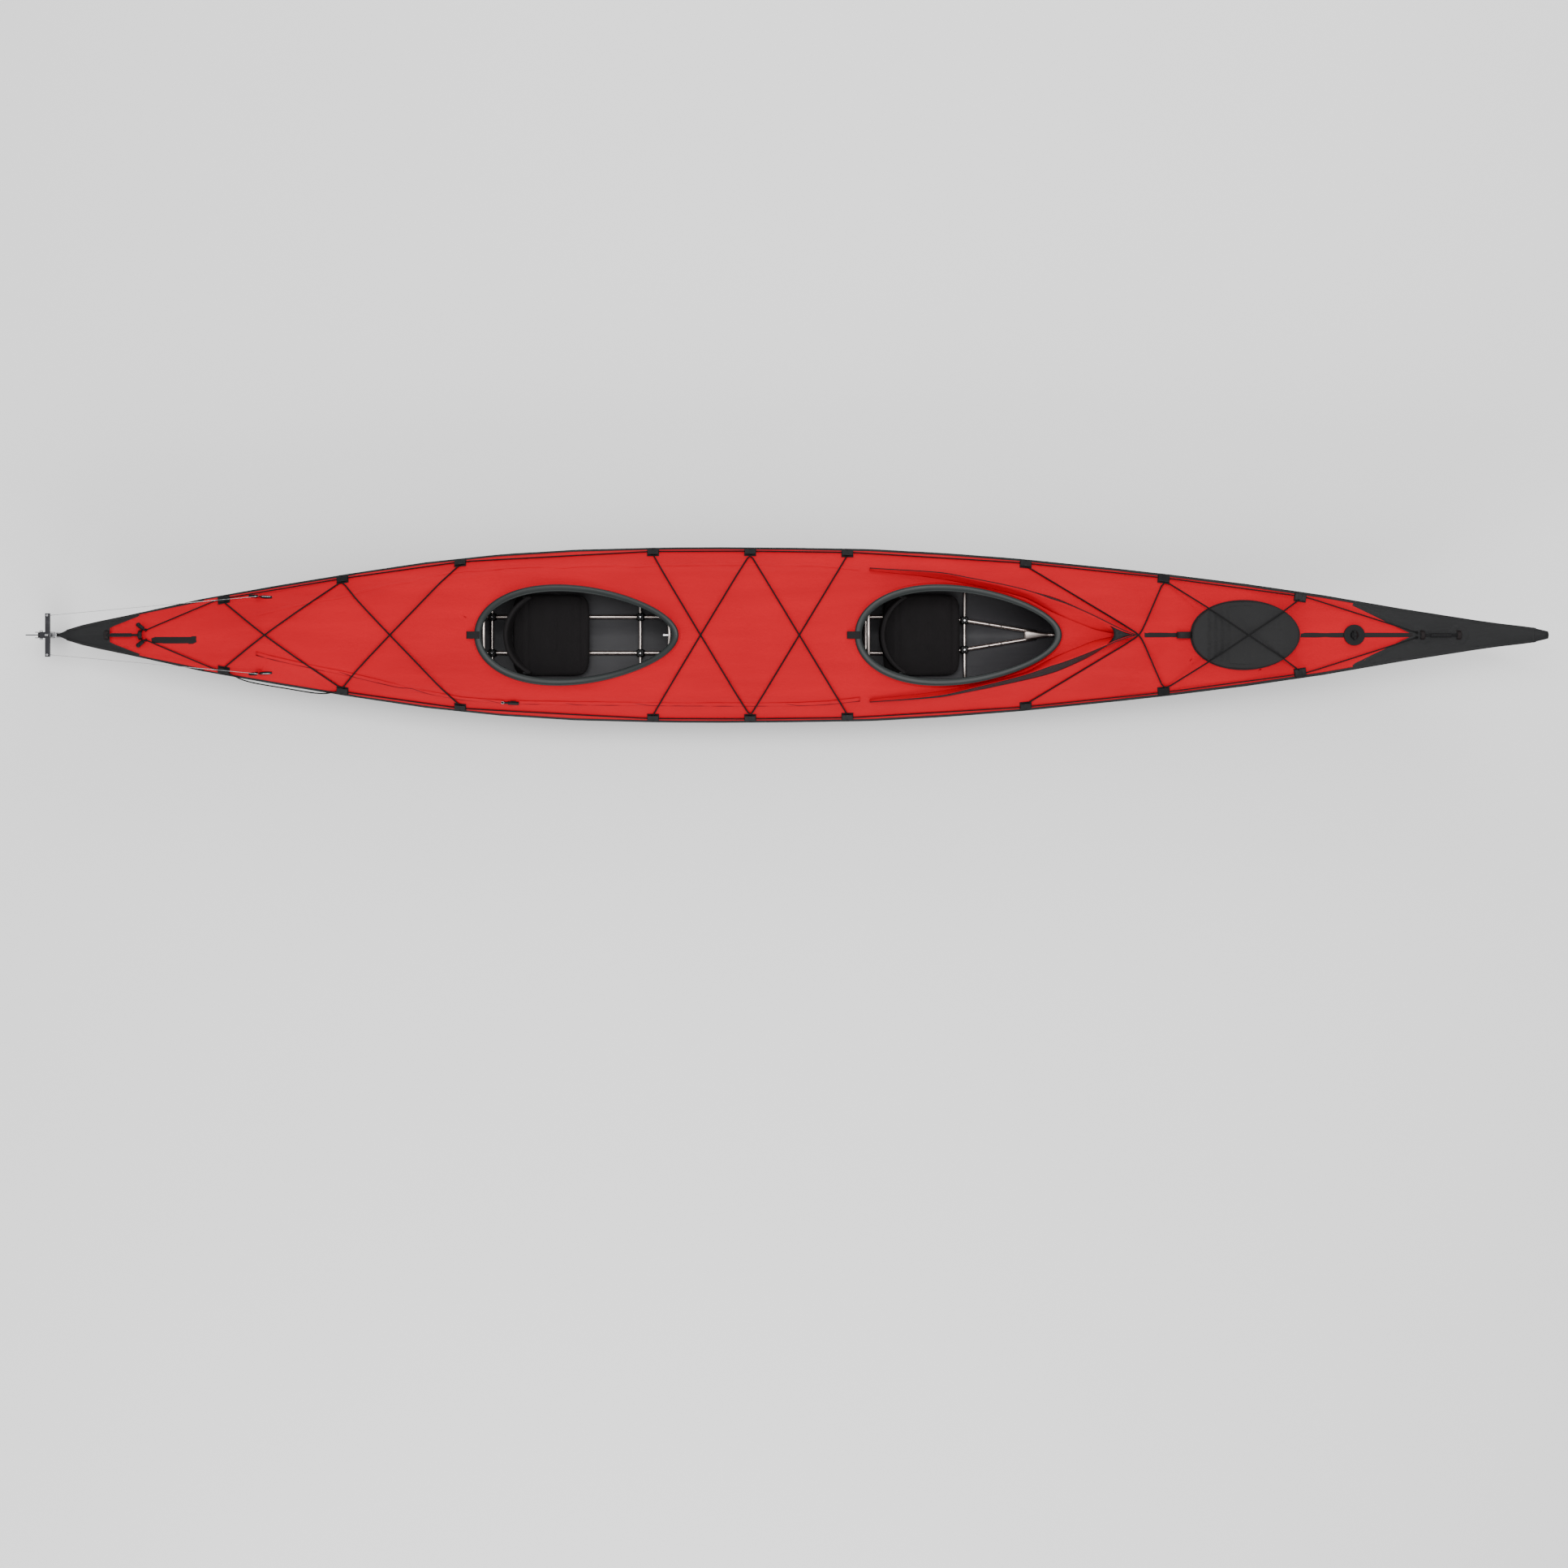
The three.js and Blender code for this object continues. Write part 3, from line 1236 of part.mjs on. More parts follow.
function cushion(centre) {
  const middle = centre + seatFromRim;
  const base = seatBase(centre);
  const count = 24;
  const cornerPower = 0.42;
  const soft = (v) => Math.sign(v) * Math.abs(v) ** cornerPower;
  const rings = cushionShares.map(([shrink, level]) => Array.from({ length: count }, (_, i) => {
    const angle = (2 * Math.PI * i) / count;
    const x = middle + (seatLength / 2) * soft(Math.cos(angle)) * shrink;
    const y = (seatWidth / 2) * soft(Math.sin(angle)) * shrink;
    const rise = Math.min(level, 1) * seatThickness + Math.max(0, level - 1) * 4 * seatCrown;
    return new THREE.Vector3(x, y, base + rise);
  }));
  return toManifold(loft(rings));
}

// The backrest stands at the cushion's back edge, where it folds, and wraps forward over its corners
function backrest(centre) {
  const back = centre + seatFromRim - (cushionShares[3][0] * seatLength) / 2;
  const axisX = back + backrestRadius - fit;
  const foot = seatBase(centre) + cushionShares[3][1] * seatThickness;
  const count = 10;
  const reach = THREE.MathUtils.degToRad(backrestSpan);
  const rings = Array.from({ length: count + 1 }, (_, i) => {
    const angle = mix(-reach, reach, i / count);
    const wing = Math.abs(angle / reach);
    const low = foot + wingRise * wing;
    const high = foot + backrestHeight - wingDrop * wing ** 2;
    const thin = backrestThickness * (1 - 0.45 * wing ** 4);
    const section = [
      [0, 0], [0, 0.1], [0, 0.5], [0, 0.9], [0.22, 1], [0.78, 1], [1, 0.9], [0.92, 0.5], [1, 0.1], [0.78, 0],
    ];
    return section.map(([behind, up]) => {
      const r = backrestRadius + behind * thin;
      return new THREE.Vector3(axisX - r * Math.cos(angle), r * Math.sin(angle), mix(low, high, up));
    });
  });
  return toManifold(loft(rings));
}

function footBarZ() {
  return onFloor(footBraceX, keelTubeHalfSpacing, keelTubeRadius) + keelTubeRadius + ribTubeRadius + fit;
}

function footBrace() {
  const bar = crossPin(footBraceX, footBarZ(), -footBraceHalfWidth, footBraceHalfWidth, ribTubeRadius, 10);
  return cutFrom(join(bar, keelClamp(footBraceX, 1), keelClamp(footBraceX, -1)),
    roomFor(keelTubeRoute(1), keelTubeRadius), roomFor(keelTubeRoute(-1), keelTubeRadius));
}

function pedalTop() {
  return footBarZ() + ribTubeRadius + pedalHeight;
}

// Each pedal turns on the foot brace by a collar
function pedal(side) {
  const y0 = pedalHalfSpacing - pedalWidth / 2;
  const y1 = pedalHalfSpacing + pedalWidth / 2;
  const z = footBarZ();
  const [low, high] = side > 0 ? [y0, y1] : [-y1, -y0];
  const plate = block(footBraceX - pedalThickness / 2, footBraceX + pedalThickness / 2, low, high, z, pedalTop());
  const collar = crossPin(footBraceX, z, low, high, ribTubeRadius + pedalCollarWall, 14);
  const bore = crossPin(footBraceX, z, low - overrun, high + overrun, ribTubeRadius + fit, 12);
  return cutFrom(join(plate, collar), bore);
}

function hatchTop(x, y) {
  const u = (x - hatchX) / (hatchLength / 2);
  const v = y / (hatchBeam / 2);
  const r = Math.hypot(u, v);
  if (r > 1.02) return 0;
  return deckTop(x, 0) + hatchCoverHeight * (1 - 0.55 * v * v - 0.35 * r ** 6);
}

function hatchShell(inset, levelShares) {
  const ringOf = (share, height) => ellipse(hatchX, (hatchLength - 2 * inset) * share, (hatchBeam - 2 * inset) * share)
    .map(([x, y]) => new THREE.Vector3(x, y, height(x, y)));
  const skirt = ringOf(1, (x, y) => deckTop(x, y) - (4 + inset) * deckWall);
  return loft([skirt, ...levelShares.map((share) => ringOf(share, (x, y) => hatchTop(x, y) - inset))]);
}

function hatchCover() {
  return cutFrom(toManifold(hatchShell(0, [1, 0.93, 0.7, 0.3])), hatchShell(hatchWall, [1, 0.5]),
    underDeck(2 * fit));
}

function hatchRim() {
  const outer = ellipse(hatchX, hatchRimLength, hatchRimBeam);
  const inner = ellipse(hatchX, hatchRimLength - 2 * hatchRimWall, hatchRimBeam - 2 * hatchRimWall);
  const low = (x, y) => deckTop(x, y) - 2 * deckWall;
  const rings = outer.map(([x, y], i) => {
    const [u, v] = inner[i];
    const top = deckTop(u, v) + hatchRimHeight;
    return [
      new THREE.Vector3(x, y, low(x, y)), new THREE.Vector3(x, y, top), new THREE.Vector3(u, v, top),
      new THREE.Vector3(u, v, low(u, v)),
    ];
  });
  return cutFrom(toManifold(loft(rings, true)), underDeck(fit));
}

// A strap loop at the aft end of the hatch cover
function hatchPull() {
  const end = hatchX - hatchLength / 2;
  const spots = [[-0.1, 0.3], [-0.45, 0.72], [-0.85, 0.68], [-1, 0.42], [-0.9, 0.2], [-0.5, 0.12], [-0.01, 0.1]];
  const route = smoothed(spots.map(([s, h]) => {
    const x = end + s * hatchPullLength;
    return new THREE.Vector3(x, 0, deckTop(x, 0) + h * hatchCoverHeight);
  }), 12);
  const corners = [[-1, -1], [1, -1], [1, 1], [-1, 1]];
  const rings = route.map((p, i) => {
    const along = route[Math.min(route.length - 1, i + 1)].clone().sub(route[Math.max(0, i - 1)]).normalize();
    const out = new THREE.Vector3(-along.z, 0, along.x);
    return corners.map(([a, b]) => (
      p.clone().addScaledVector(out, (a * hatchPullThickness) / 2).setY((b * hatchPullWidth) / 2)
    ));
  });
  return cutFrom(toManifold(loft(rings)), hatchShell(-fit, [1, 0.93, 0.7]), underDeck(fit));
}

function breakwater() {
  const w = breakwaterWall;
  const section = (x, base, top, height, foot) => {
    const bz = deckTop(x, base) - 2 * deckWall;
    const fz = deckTop(x, foot) - 2 * deckWall;
    return [
      new THREE.Vector3(x, base, bz), new THREE.Vector3(x, top, height), new THREE.Vector3(x, foot, fz),
      new THREE.Vector3(x, foot + w, fz), new THREE.Vector3(x, top, height - 1.6 * w),
      new THREE.Vector3(x, base - w, bz),
    ];
  };
  const port = breakwaterShares.map(([s, base, top, height, foot]) => (
    section(onBreakwater(s), base * halfBeam, top * halfBeam, height * seamHeight, foot * halfBeam)
  ));
  const neck = onBreakwater(breakwaterNeckShare);
  const foot = onBreakwater(breakwaterFootShare);
  const tip = new THREE.Vector3(onBreakwater(breakwaterApexShare), 0, breakwaterApexHeightShare * seamHeight);
  const apex = [
    new THREE.Vector3(neck, 0, deckTop(neck, 0) - 2 * deckWall), tip,
    new THREE.Vector3(foot, 0, deckTop(foot, 0) - 2 * deckWall),
    new THREE.Vector3(foot + w, 0, deckTop(foot + w, 0) - 2 * deckWall),
    tip.clone().add(new THREE.Vector3(-2 * w, 0, -3 * w)),
    new THREE.Vector3(neck - w, 0, deckTop(neck, 0) - 2 * deckWall),
  ];
  const starboard = port.map((ring) => ring.map((p) => new THREE.Vector3(p.x, -p.y, p.z))).reverse();
  return cutFrom(toManifold(loft([...port, apex, ...starboard])), underDeck(fit));
}

function zipLine(x) {
  const [edge, shoulder] = deckOutline(x);
  const out = outwardNormal(shoulder, edge).map(Math.abs);
  return { edge, shoulder, out, place: smoothShares(zipPlaceShares)(x / half) };
}

function zipFlap() {
  const main = stationsBetween(zipShares[0] * half, zipShares[1] * half);
  const places = main.flatMap((x, i) => (i === 0 ? [x] : [mix(main[i - 1], x, 0.5), x]));
  const rings = places.map((x) => {
    const { edge, shoulder, out, place } = zipLine(x);
    const length = Math.hypot(shoulder[0] - edge[0], shoulder[1] - edge[1]);
    const spots = [-0.5, 0.5].map((t) => {
      const [y] = mixPoint(edge, shoulder, place + (t * zipWidth) / length);
      return [y, deckTop(x, y)];
    });
    const off = (p, distance) => [-(p[0] + out[0] * distance), p[1] + out[1] * distance];
    const top = zipThickness + fit;
    return ringAt(x, [off(spots[0], -top), off(spots[1], -top), off(spots[1], top), off(spots[0], top)]);
  });
  return cutFrom(toManifold(loft(rings)), underDeck(fit));
}

function zipFrame() {
  const at = (x) => {
    const { edge, shoulder, place } = zipLine(x);
    const [y] = mixPoint(edge, shoulder, place);
    return new THREE.Vector3(x, -y, deckTop(x, y));
  };
  const step = zipSliderLength * 1.8;
  const along = at(zipSliderX + step).sub(at(zipSliderX - step)).normalize();
  const { out } = zipLine(zipSliderX);
  const side = new THREE.Vector3().crossVectors(new THREE.Vector3(0, -out[0], out[1]), along).normalize();
  const up = new THREE.Vector3().crossVectors(along, side);
  return new THREE.Matrix4().makeBasis(along, side, up).setPosition(at(zipSliderX));
}

function zipSlider() {
  const base = zipThickness + 5 * fit;
  const low = zipSliderHeight / 2;
  const body = block(-zipSliderLength / 2, zipSliderLength / 2, -zipSliderWidth / 2, zipSliderWidth / 2,
    base, base + zipSliderHeight);
  const wings = block(-zipSliderLength / 4, zipSliderLength / 4, -zipSliderWidth * 0.8, zipSliderWidth * 0.8,
    base, base + low);
  const pull = block(-zipSliderLength / 2 - zipPullLength, -zipSliderLength / 4, -zipSliderWidth / 3,
    zipSliderWidth / 3, base + low / 3, base + low * 1.3);
  const shape = fromManifold(join(body, wings, pull));
  shape.applyMatrix4(zipFrame());
  return toManifold(shape);
}

function bowFitting() {
  const z = deckTop(discX, 0);
  const disc = post(discX, 0, z - 3 * discHeight, z + discHeight, discRadius, 20);
  const eye = new THREE.SphereGeometry(discEyeRadius, 10, 6);
  eye.scale(1, 1, 0.95);
  eye.translate(discX, 0, z + discHeight);
  const ring = crossPin(discX, z + discHeight + discEyeRadius / 2, -2 * overrun, 2 * overrun, 2 * lineRadius, 8);
  return cutFrom(join(disc, eye), underDeck(2 * fit), ring);
}

// Carrying handles hinge on a line through their two feet, close above the deck
function handleFeet(x, span) {
  return [x - span / 2, x + span / 2].map((foot) => {
    const reach = handleFootRadius * 0.8;
    const top = Math.max(deckTop(foot - reach, 0), deckTop(foot, 0), deckTop(foot + reach, 0));
    return new THREE.Vector3(foot, 0, top + handleFootRadius + fit);
  });
}

function handle(x, span, rise) {
  const [aft, fore] = handleFeet(x, span);
  const archShares = [[0, 0], [0.08, 0.62], [0.22, 0.93], [0.5, 1], [0.78, 0.93], [0.92, 0.62], [1, 0]];
  const route = archShares.map(([s, h]) => aft.clone().lerp(fore, s).add(new THREE.Vector3(0, 0, h * rise)));
  const eyes = [aft, fore].map((foot) => {
    const eye = new THREE.CylinderGeometry(handleFootRadius, handleFootRadius, handleFootRadius * 1.6, 10);
    eye.rotateZ(Math.PI / 2);
    eye.translate(foot.x, foot.y, foot.z);
    return eye;
  });
  return join(tube(smoothed(route, 8), handleRadius, 8), ...eyes);
}

function rudderBracket() {
  const x0 = -half - bracketPlate - fit;
  const plate = block(x0, -half - fit, -bracketWidth / 2, bracketWidth / 2, bracketBottom, bracketTop);
  const eyes = [[lowerGudgeonBottom, lowerGudgeonTop], [upperGudgeonBottom, upperGudgeonTop]].flatMap(([low, high]) => [
    post(rudderAxisX, 0, low, high, gudgeonRadius, 12),
    block(rudderAxisX, x0 + bracketPlate / 2, -gudgeonWidth / 2, gudgeonWidth / 2, low, high),
  ]);
  const bore = post(rudderAxisX, 0, bracketBottom - overrun, bracketTop + overrun, pinRadius + fit, 12);
  return cutFrom(join(plate, ...eyes), bore);
}

function rudderPin() {
  const x = rudderAxisX;
  const shaft = tube([
    new THREE.Vector3(x, 0, pinBottom), new THREE.Vector3(x, 0, pinTop - 2 * pinBend),
    new THREE.Vector3(x + pinBend / 2, 0, pinTop - pinBend), new THREE.Vector3(x + pinHook, 0, pinTop - pinRadius),
  ], pinRadius, 10);
  return join(shaft, post(x, 0, pinBottom, headBottom - fit, pinCollarRadius, 12));
}

function rudderHead() {
  const lug = (z0, z1) => [
    post(rudderAxisX, 0, z0, z1, headHalfGap, 10),
    block(rudderAxisX - lugLength, rudderAxisX, -headHalfGap, headHalfGap, z0, z1),
  ];
  const cheek = (side) => {
    const outline = [
      [cheekFrontX, headBottom], [cheekFrontX, headTop], [cheekBackX + cheekCorner, headTop],
      [cheekBackX, boltZ + bossRadius], [cheekBackX, boltZ - bossRadius], [cheekBackX + cheekCorner, headBottom],
    ];
    const [near, far] = [headHalfGap - fit, headHalfGap + cheekThickness].map((y) => side * y);
    return sidePlate(outline, Math.min(near, far), Math.max(near, far));
  };
  const bladeRoom = block(cheekBackX - overrun, cheekFrontX - fit, -headHalfGap + fit, headHalfGap - fit,
    headBottom - overrun, headUpperLugBottom);
  const pinHole = post(rudderAxisX, 0, headBottom - overrun, headTop + overrun, pinRadius + fit, 12);
  const boltHole = crossPin(boltX, boltZ, -2 * overrun, 2 * overrun, boltRadius + fit, 12);
  return cutFrom(join(...lug(headBottom, headLowerLugTop), ...lug(headUpperLugBottom, headTop), cheek(1), cheek(-1)),
    bladeRoom, pinHole, boltHole);
}

function rudderYoke() {
  const z0 = headTop + fit;
  const bar = block(rudderAxisX - yokeWidth / 2, rudderAxisX + yokeWidth / 2, -yokeSpan / 2, yokeSpan / 2,
    z0, z0 + yokeThickness);
  const hole = post(rudderAxisX, 0, headTop - overrun, pinTop + overrun, pinRadius + fit, 12);
  const eyes = [1, -1].map((side) => (
    post(rudderAxisX, side * (yokeSpan / 2 - yokeHoleInset), headTop - overrun, pinTop, cableHoleRadius, 8)
  ));
  return cutFrom(toManifold(bar), hole, ...eyes);
}

function rudderBlade() {
  const outline = [
    [boltX + bladeTopLead, boltZ + bladeTopRise], [boltX - bladeShoulderBack, boltZ - bladeShoulderDrop],
    [boltX - bladeTipBack, bladeBottom], [boltX + bladeTipLead, bladeBottom],
    [boltX + bladeNeckLead, boltZ - bladeNeckDrop],
  ];
  const plate = sidePlate(outline, -bladeThickness / 2, bladeThickness / 2);
  const boss = crossPin(boltX, boltZ, -headHalfGap + 2 * fit, headHalfGap - 2 * fit, bossRadius, 14);
  const bore = crossPin(boltX, boltZ, -2 * overrun, 2 * overrun, boltRadius + fit, 12);
  const lineHole = crossPin(boltX - bladeHoleBack, boltZ - bladeHoleDrop, -overrun, overrun, bladeHoleRadius, 10);
  return cutFrom(join(plate, boss), bore, lineHole);
}

function rudderBolt() {
  const near = headHalfGap + cheekThickness + fit;
  const far = near + boltHeadHeight;
  return join(crossPin(boltX, boltZ, -far, far, boltRadius, 12),
    crossPin(boltX, boltZ, near, far, boltHeadRadius, 12), crossPin(boltX, boltZ, -far, -near, boltHeadRadius, 12));
}

const finishes = {
  hullFabric: { color: 0x323135, roughness: 0.62, metalness: 0 },
  deckFabric: { color: 0xd4373a, roughness: 0.75, metalness: 0 },
  coverFabric: { color: 0x3e3d40, roughness: 0.6, metalness: 0 },
  trim: { color: 0x2c2b2d, roughness: 0.6, metalness: 0 },
  air: { color: 0x3a3a3c, roughness: 0.7, metalness: 0 },
  alloy: { color: 0xc8c2bd, roughness: 0.3, metalness: 1 },
  clip: { color: 0x1c1c1e, roughness: 0.5, metalness: 0 },
  rim: { color: 0x3a393b, roughness: 0.45, metalness: 0 },
  seat: { color: 0x322e2f, roughness: 0.85, metalness: 0 },
  cord: { color: 0x151415, roughness: 0.8, metalness: 0 },
  steel: { color: 0xb8b8ba, roughness: 0.3, metalness: 1 },
  blackMetal: { color: 0x323136, roughness: 0.5, metalness: 0.6 },
};

const kayak = new THREE.Group();

function place(name, manifold, finish) {
  const geometry = manifold.isBufferGeometry ? closed(manifold) : fromManifold(manifold);
  const mesh = new THREE.Mesh(geometry, new THREE.MeshStandardMaterial(finishes[finish]));
  mesh.name = name;
  kayak.add(mesh);
}

function crossedCords(places) {
  return join(...places.map((route) => tube(route, bungeeRadius, 8)));
}

place("hull_skin", hullSkin(), "hullFabric");
place("deck_skin", deckSkin(), "deckFabric");
place("bow_cover", wholeDeck().intersect(toManifold(bowCoverArea(fit))), "coverFabric");
place("stern_cover", wholeDeck().intersect(toManifold(sternCoverArea(fit))), "coverFabric");
place("coaming_rear", coaming(rearCoamingX, rearRimHeightShares), "rim");
place("coaming_front", coaming(frontCoamingX, frontRimHeightShares), "rim");
place("seat_rear", cushion(rearCoamingX), "seat");
place("seat_front", cushion(frontCoamingX), "seat");
place("backrest_rear", backrest(rearCoamingX), "seat");
place("backrest_front", backrest(frontCoamingX), "seat");
place("foot_brace", footBrace(), "alloy");
place("stem_frame_bow", stem(1), "clip");
place("stem_frame_stern", stem(-1), "clip");
place("keel_tube_bow", keelEnd(keelBowRoute(), forkX), "alloy");
place("keel_tube_stern", keelEnd(keelSternRoute(), sternForkX), "alloy");
place("ridge_tube_bow", tube(ridgeBowRoute(), ridgeTubeRadius, 6), "alloy");
place("ridge_tube_stern", tube(ridgeSternRoute(), ridgeTubeRadius, 6), "alloy");
for (const [side, word] of [[1, "port"], [-1, "starboard"]]) {
  place(`sponson_${word}`, sponson(side), "air");
  place(`keel_tube_${word}`, tube(keelTubeRoute(side), keelTubeRadius, 6), "alloy");
  place(`chine_tube_${word}`, tube(chineTubeRoute(side), chineTubeRadius, 6), "alloy");
  place(`gunwale_tube_${word}`, tube(gunwaleRoute(side), gunwaleTubeRadius, 6), "alloy");
  place(`deck_bar_${word}`, tube(deckBarRoute(side), deckBarRadius, 6), "alloy");
  place(`edge_trim_${word}`, edgeTrim(side), "trim");
  place(`safety_line_${word}`, tube(edgeLineRoute(side), lineRadius, 8), "cord");
  place(`rudder_cable_${word}`, tube(cableRoute(side), cableRadius, 8), "steel");
  place(`pedal_${word}`, pedal(side), "clip");
}
const ribNumbers = [1, 2, 4, 6, 7];
ribX.forEach((x, i) => place(`rib_${ribNumbers[i]}`, rib(x, hoopRib(x, x)), "alloy"));
place("rib_3", rib(leaningRibShare * half, hoopRib(leaningRibShare * half, leaningRibTopShare * half)), "alloy");
place("rib_5", rib(thighRibShare * half, thighRib(thighRibShare * half)), "alloy");
const cords = deckCordRoutes();
place("bungee_aft", crossedCords([cords[0], cords[3]]), "cord");
place("bungee_middle", crossedCords([cords[1], cords[4]]), "cord");
place("bungee_fore", crossedCords([cords[2], cords[5]]), "cord");
place("hatch_rim", hatchRim(), "clip");
place("hatch_cover", hatchCover(), "seat");
place("hatch_pull", hatchPull(), "cord");
place("breakwater", breakwater(), "coverFabric");
place("zip_flap", zipFlap(), "deckFabric");
place("zip_slider", zipSlider(), "clip");
place("bow_deck_fitting", bowFitting(), "clip");
place("bow_handle", handle(bowHandleShare * half, bowHandleSpan, bowHandleRise), "cord");
place("stern_handle", handle(sternHandleShare * half, sternHandleSpan, sternHandleRise), "cord");
place("rudder_bracket", rudderBracket(), "blackMetal");
place("rudder_pin", rudderPin(), "steel");
place("rudder_head", rudderHead(), "blackMetal");
place("rudder_yoke", rudderYoke(), "blackMetal");
place("rudder_blade", rudderBlade(), "blackMetal");
place("rudder_bolt", rudderBolt(), "steel");

export default kayak;
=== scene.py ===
"""Looks of a two-seat folding kayak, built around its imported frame. Metres, X to the bow, Y to port, Z up."""

import math

import bmesh
import bpy
from mathutils import Matrix, Vector, noise
from mathutils.bvhtree import BVHTree


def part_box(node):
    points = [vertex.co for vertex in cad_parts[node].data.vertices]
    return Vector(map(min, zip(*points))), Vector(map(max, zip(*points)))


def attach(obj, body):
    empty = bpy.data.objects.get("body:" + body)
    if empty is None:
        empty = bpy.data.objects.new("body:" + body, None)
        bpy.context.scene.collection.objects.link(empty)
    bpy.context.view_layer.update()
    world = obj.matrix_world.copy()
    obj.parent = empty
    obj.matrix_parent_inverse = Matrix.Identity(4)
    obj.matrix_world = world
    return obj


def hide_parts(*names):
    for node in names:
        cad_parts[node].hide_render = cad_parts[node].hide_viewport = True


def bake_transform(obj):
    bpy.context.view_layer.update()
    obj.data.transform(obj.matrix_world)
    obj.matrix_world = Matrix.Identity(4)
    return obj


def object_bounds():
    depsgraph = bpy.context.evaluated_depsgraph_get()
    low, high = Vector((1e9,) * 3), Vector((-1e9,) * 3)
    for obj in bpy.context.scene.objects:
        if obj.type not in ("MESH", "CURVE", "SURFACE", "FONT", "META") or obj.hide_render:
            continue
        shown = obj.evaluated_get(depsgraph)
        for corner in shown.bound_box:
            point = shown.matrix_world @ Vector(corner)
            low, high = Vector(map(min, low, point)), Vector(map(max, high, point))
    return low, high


bl_info = {
    "name": "Folding kayak",
    "version": (1, 0, 0),
    "blender": (4, 5, 0),
    "location": "3D View > Sidebar > Kayak",
    "description": "Fabric skins, rims, seats, cords and fittings of a two-seat folding kayak",
    "category": "Object",
}

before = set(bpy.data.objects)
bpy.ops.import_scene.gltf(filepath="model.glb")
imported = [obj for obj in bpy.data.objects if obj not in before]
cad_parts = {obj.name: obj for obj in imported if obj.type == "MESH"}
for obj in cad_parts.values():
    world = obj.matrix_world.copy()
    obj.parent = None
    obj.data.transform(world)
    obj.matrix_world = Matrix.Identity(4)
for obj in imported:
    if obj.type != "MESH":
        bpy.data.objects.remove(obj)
CAD_BOX = [list(corner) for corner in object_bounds()]
MM = 0.001

# The hull: half its length and beam, and the height of the deck seam amidships
HALF = 2.95
HALF_BEAM = 0.351
SEAM_HEIGHT = 0.215

# Curves along the boat, as shares of half its length and of the size after each table
SEAM_BEAM_SHARES = [
    (-1, 0.012), (-0.983, 0.074), (-0.902, 0.228), (-0.808, 0.407), (-0.643, 0.652), (-0.478, 0.855),
    (-0.312, 0.969), (-0.119, 1), (0.074, 0.983), (0.239, 0.909), (0.405, 0.778), (0.57, 0.615),
    (0.727, 0.416), (0.832, 0.256), (0.937, 0.123), (0.985, 0.072), (1, 0.04),
]
SEAM_HEIGHT_SHARES = [
    (-1, 1.228), (-0.877, 1.19), (-0.771, 1.075), (-0.67, 1), (-0.456, 1.014), (-0.2, 1),
    (0.06, 1.047), (0.309, 1.107), (0.496, 1.233), (0.59, 1.349), (0.676, 1.46), (0.8, 1.665), (1, 1.87),
]
# Heights of the rims over the seam's, along each rim from its back end to its front end
REAR_RIM_SHARES = [(-1, 1.421), (-0.6, 1.44), (0, 1.447), (0.35, 1.47), (0.7, 1.535), (1, 1.614)]
FRONT_RIM_SHARES = [(-1, 1.56), (-0.6, 1.574), (0, 1.592), (0.35, 1.628), (0.7, 1.69), (1, 1.75)]
# Breakwater: forward of the front rim's centre as a share of its length, then base, top, top height and foot
BREAKWATER_SHARES = [
    (-0.425, 0.765, 0.757, 1.409, 0.735),
    (-0.0925, 0.712, 0.692, 1.498, 0.641),
    (0.0665, 0.65, 0.61, 1.558, 0.57),
    (0.323, 0.53, 0.46, 1.674, 0.425),
    (0.457, 0.463, 0.34, 1.781, 0.262),
    (0.569, 0.367, 0.215, 1.874, 0.15),
    (0.667, 0.262, 0.12, 1.944, 0.068),
    (0.815, 0.02, 0.01, 2.0, 0.01),
]
# Seat cushion: its section from the floor up to the middle, as shares of half its width and of its thickness
CUSHION_SHARES = [
    (0.7, 0), (0.9, 0.26), (0.955, 0.48), (0.99, 0.78), (0.93, 0.98), (0.7, 1.15), (0.36, 1.24), (0.02, 1.25),
]
CUSHION_SEAMS = (-0.095, 0.02, 0.128)
# Rudder cables under the deck, as shares of half length, half beam and seam height
CABLE_SHARES = [(-0.68, 0.43, 1.03), (-0.6, 0.5, 0.94), (-0.42, 0.7, 0.9), (-0.24, 0.76, 0.9)]

REAR_RIM_X = -0.877
FRONT_RIM_X = 0.636
RIM_LENGTH = 0.816
RIM_BEAM = 0.396
RIM_EGG = 0.2

# Where the deck fittings sit, from stern to bow, and how far inside the seam the cords run
BETWEEN_RIMS_X = (REAR_RIM_X + RIM_LENGTH / 2 - 0.108, FRONT_RIM_X - RIM_LENGTH / 2 - 0.026)
CROSSING_X = FRONT_RIM_X + 0.864 * RIM_LENGTH + 0.009
FITTING_X = [
    -0.778 * HALF, -0.618 * HALF, -0.4576 * HALF, BETWEEN_RIMS_X[0], sum(BETWEEN_RIMS_X) / 2,
    BETWEEN_RIMS_X[1], FRONT_RIM_X + 0.342 * RIM_LENGTH, CROSSING_X + 0.113, 0.677 * HALF,
]
LINE_INSET = 0.016
ELASTIC_INSET = 0.025
CORD_CLEARANCE = 1.4 * MM

# Cloth that is sewn on, and how far its borders and the feet of what stands on the deck are let into the deck
SEWN_CLOTH = 1.2 * MM
BORDER_DEPTH = 0.4 * MM
FOOT_DEPTH = 0.3 * MM
# Frame: radii of the paired tubes in millimetres, the rib that is no full hoop, and the keel tubes' place amidships
TUBE_RADII = {"keel_tube": 9.0, "chine_tube": 8.0, "gunwale_tube": 10.0, "deck_bar": 8.0}
OPEN_RIB = "rib_5"
KEEL_TUBE_Y = 0.074

